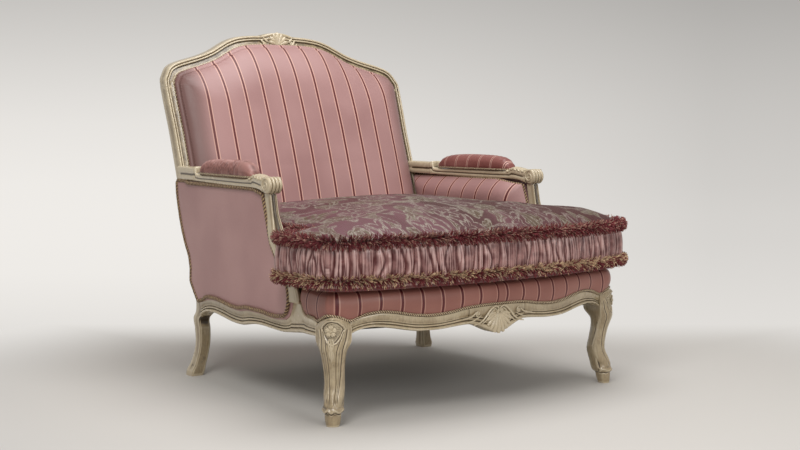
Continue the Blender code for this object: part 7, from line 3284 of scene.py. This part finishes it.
def deck_plan() -> Array:
    """The plan of the sprung deck, as a closed line."""
    half = [(p[0], p[1]) for p in CARCASS.deck_half()]
    return evenly(np.array(half + [(-x, y) for x, y in reversed(half[:-1])]), 360, closed=True)


@dataclass
class Studio:
    """A plain pale floor that turns up into a backdrop, soft lamps and the camera."""

    paper: Colour = (0.575, 0.556, 0.530)
    flecks: Colour = (0.515, 0.495, 0.468)
    half: float = 9.0
    rear: float = 5.5
    height: float = 6.0
    bend: float = 2.0
    eye: Point = (-2.285, -3.219, 0.760)
    gaze: Point = (0.5916, 0.8024, -0.0785)
    GLOW_LEFT: Rows = (
        (0.05, 0.63), (0.12, 0.63), (0.18, 0.66), (0.25, 0.767), (0.31, 0.815), (0.38, 0.855), (0.45, 0.863),
        (0.51, 0.863), (0.58, 0.855), (0.64, 0.831), (0.71, 0.799), (0.77, 0.753), (0.84, 0.694), (0.91, 0.631),
        (0.97, 0.578), (1.0, 0.555),
    )
    GLOW_RIGHT: Rows = (
        (0.05, 0.70), (0.12, 0.695), (0.18, 0.69), (0.25, 0.753), (0.31, 0.737), (0.38, 0.708), (0.45, 0.679),
        (0.51, 0.665), (0.58, 0.631), (0.64, 0.610), (0.71, 0.584), (0.77, 0.558), (0.84, 0.521), (0.91, 0.479),
        (0.97, 0.440), (1.0, 0.425),
    )

    def build(self) -> None:
        """Build the room."""
        self.backdrop()
        self.lamps()
        self.camera()

    def backdrop(self) -> None:
        """Build the floor and the backdrop in one sweep."""
        forward, side = np.array((0.5934, 0.8049, 0.0)), np.array((0.8049, -0.5934, 0.0))
        turn = np.linspace(0, pi / 2, 24)
        profile = [(-8.0, 0.0), *((self.rear - self.bend + self.bend * sin(a), self.bend * (1 - cos(a)))
                                  for a in turn), (self.rear, self.height)]
        rows = [[forward * d + side * s + np.array((0, 0, z - 0.0002))
                 for s in np.linspace(-self.half, self.half, 24)] for d, z in profile]
        sweep = Skin("studio_sweep").grid(np.array(rows)).build(180.0)
        if any(face.normal.z < -0.01 for face in sweep.data.polygons):
            sweep.data.flip_normals()
        sweep.data.materials.append(self.wash(tuple(forward), tuple(side)))

    def wash(self, forward: Point, side: Point) -> bpy.types.Material:
        """Build the paper's material: far from the chair it shows as a wash of light, which lights nothing.

        Args:
            forward: The direction away from the camera.
            side: The direction to its right.

        Returns:
            The material.
        """
        shader = Shader("studio_paper")
        place = shader.place()
        speck = shader.noise(place, 180.0)
        base = shader.mix(shader.level(speck, 0.3, 0.7, 0.0, 0.05), self.paper, self.flecks)
        shader.close(Base_Color=base, Roughness=0.8, Normal=shader.bump(speck, 0.0002, 0.3))
        away = shader.vector("SUBTRACT", place, self.eye)
        depth = shader.vector("DOT_PRODUCT", away, forward)
        rise = shader.split(away)[2] / depth
        across = shader.vector("DOT_PRODUCT", away, side) / depth
        share = shader.math("DIVIDE", rise + 0.245, 0.34, True)
        left, right = (shader.ramp(share, [(s, (v, v * 0.970, v * 0.930)) for s, v in table])
                       for table in (self.GLOW_LEFT, self.GLOW_RIGHT))
        turn = shader.math("POWER", shader.math("DIVIDE", across + 0.187, 0.42, True), 1.5)
        glow = shader.add("ShaderNodeEmission", {"Color": shader.mix(turn, left, right), "Strength": 1.0})
        rays = shader.node("ShaderNodeLightPath").outputs
        seen, mirrored, clear = (Value(shader, rays[f"Is {kind} Ray"])
                                 for kind in ("Camera", "Glossy", "Transmission"))
        beside = shader.vector("DOT_PRODUCT", place, side) - 0.2
        behind = shader.vector("DOT_PRODUCT", place, forward)
        around = shader.math("SQRT", beside * beside + behind * behind)
        far = shader.level(behind, 0.45, 1.05).most(shader.level(around, 0.95, 1.8))
        both = shader.add("ShaderNodeMixShader", {0: seen.most(mirrored.most(clear)) * far,
                                                  1: Value(shader, shader.surface.outputs[0]), 2: glow})
        shader.feed(shader.tree.nodes["Material Output"].inputs[0], both)
        return shader.material

    def lamp(self, name: str, place: Point, target: Point, size: float, power: float, colour: Colour) -> None:
        """Hang one soft lamp.

        Args:
            name: Its name.
            place: Where it hangs.
            target: Where it points.
            size: Its width.
            power: Its power in watts.
            colour: Its colour.
        """
        data = bpy.data.lights.new(name, "AREA")
        data.shape, data.size, data.energy, data.color = "DISK", size, power, colour
        lamp = bpy.data.objects.new(name, data)
        lamp.location = place
        lamp.rotation_euler = (Vector(target) - Vector(place)).to_track_quat("-Z", "Y").to_euler()
        bpy.context.collection.objects.link(lamp)

    def lamps(self) -> None:
        """Hang the lamps and light the room."""
        self.lamp("key", (-2.2, -1.9, 3.0), (0.0, 0.0, 0.4), 1.6, 56.0, (1.0, 0.99, 0.97))
        self.lamp("top", (0.3, -0.4, 3.4), (0.0, 0.0, 0.3), 2.4, 64.0, (1.0, 1.0, 1.0))
        self.lamp("front", (-0.3, -4.2, 1.9), (0.0, 0.0, 0.5), 2.0, 46.0, (1.0, 0.985, 0.965))
        world = bpy.data.worlds.new("studio_air")
        world.use_nodes = True
        graph = Graph(world.node_tree)
        air = graph.tree.nodes["Background"]
        graph.feed(air.inputs[0], (1.0, 0.955, 0.90))
        graph.feed(air.inputs[1], 0.375)
        view = graph.add("ShaderNodeBackground", {0: (0.64, 0.63, 0.61), 1: 1.0})
        rays = graph.node("ShaderNodeLightPath").outputs
        seen, mirrored = (Value(graph, rays[name]) for name in ("Is Camera Ray", "Is Glossy Ray"))
        mixed = graph.add("ShaderNodeMixShader",
                          {0: seen.most(mirrored), 1: Value(graph, air.outputs[0]), 2: view})
        graph.feed(graph.tree.nodes["World Output"].inputs[0], mixed)
        bpy.context.scene.world = world

    def camera(self) -> None:
        """Set up the camera."""
        data = bpy.data.cameras.new("camera")
        data.lens, data.sensor_width = 60.3, 36.0
        camera = bpy.data.objects.new("camera", data)
        camera.location = self.eye
        camera.rotation_euler = Vector(self.gaze).to_track_quat("-Z", "Y").to_euler()
        bpy.context.collection.objects.link(camera)
        bpy.context.scene.camera = camera


def main() -> None:
    """Build the armchair and its studio, in order."""
    logging.basicConfig(level=logging.INFO, format="%(message)s")
    bpy.context.scene.view_settings.view_transform = "Standard"
    Studio().build()
    wood = PaintedWood()
    for maker in (BackFrame(wood), SeatFrame(wood), FrontLegs(wood), Arms(wood)):
        maker.build()
    Upholstery(TwistedCord()).build()
    Cushion(CutFringe()).build()
    Underside(wood).build()
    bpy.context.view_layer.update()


if __name__ == "__main__":
    main()
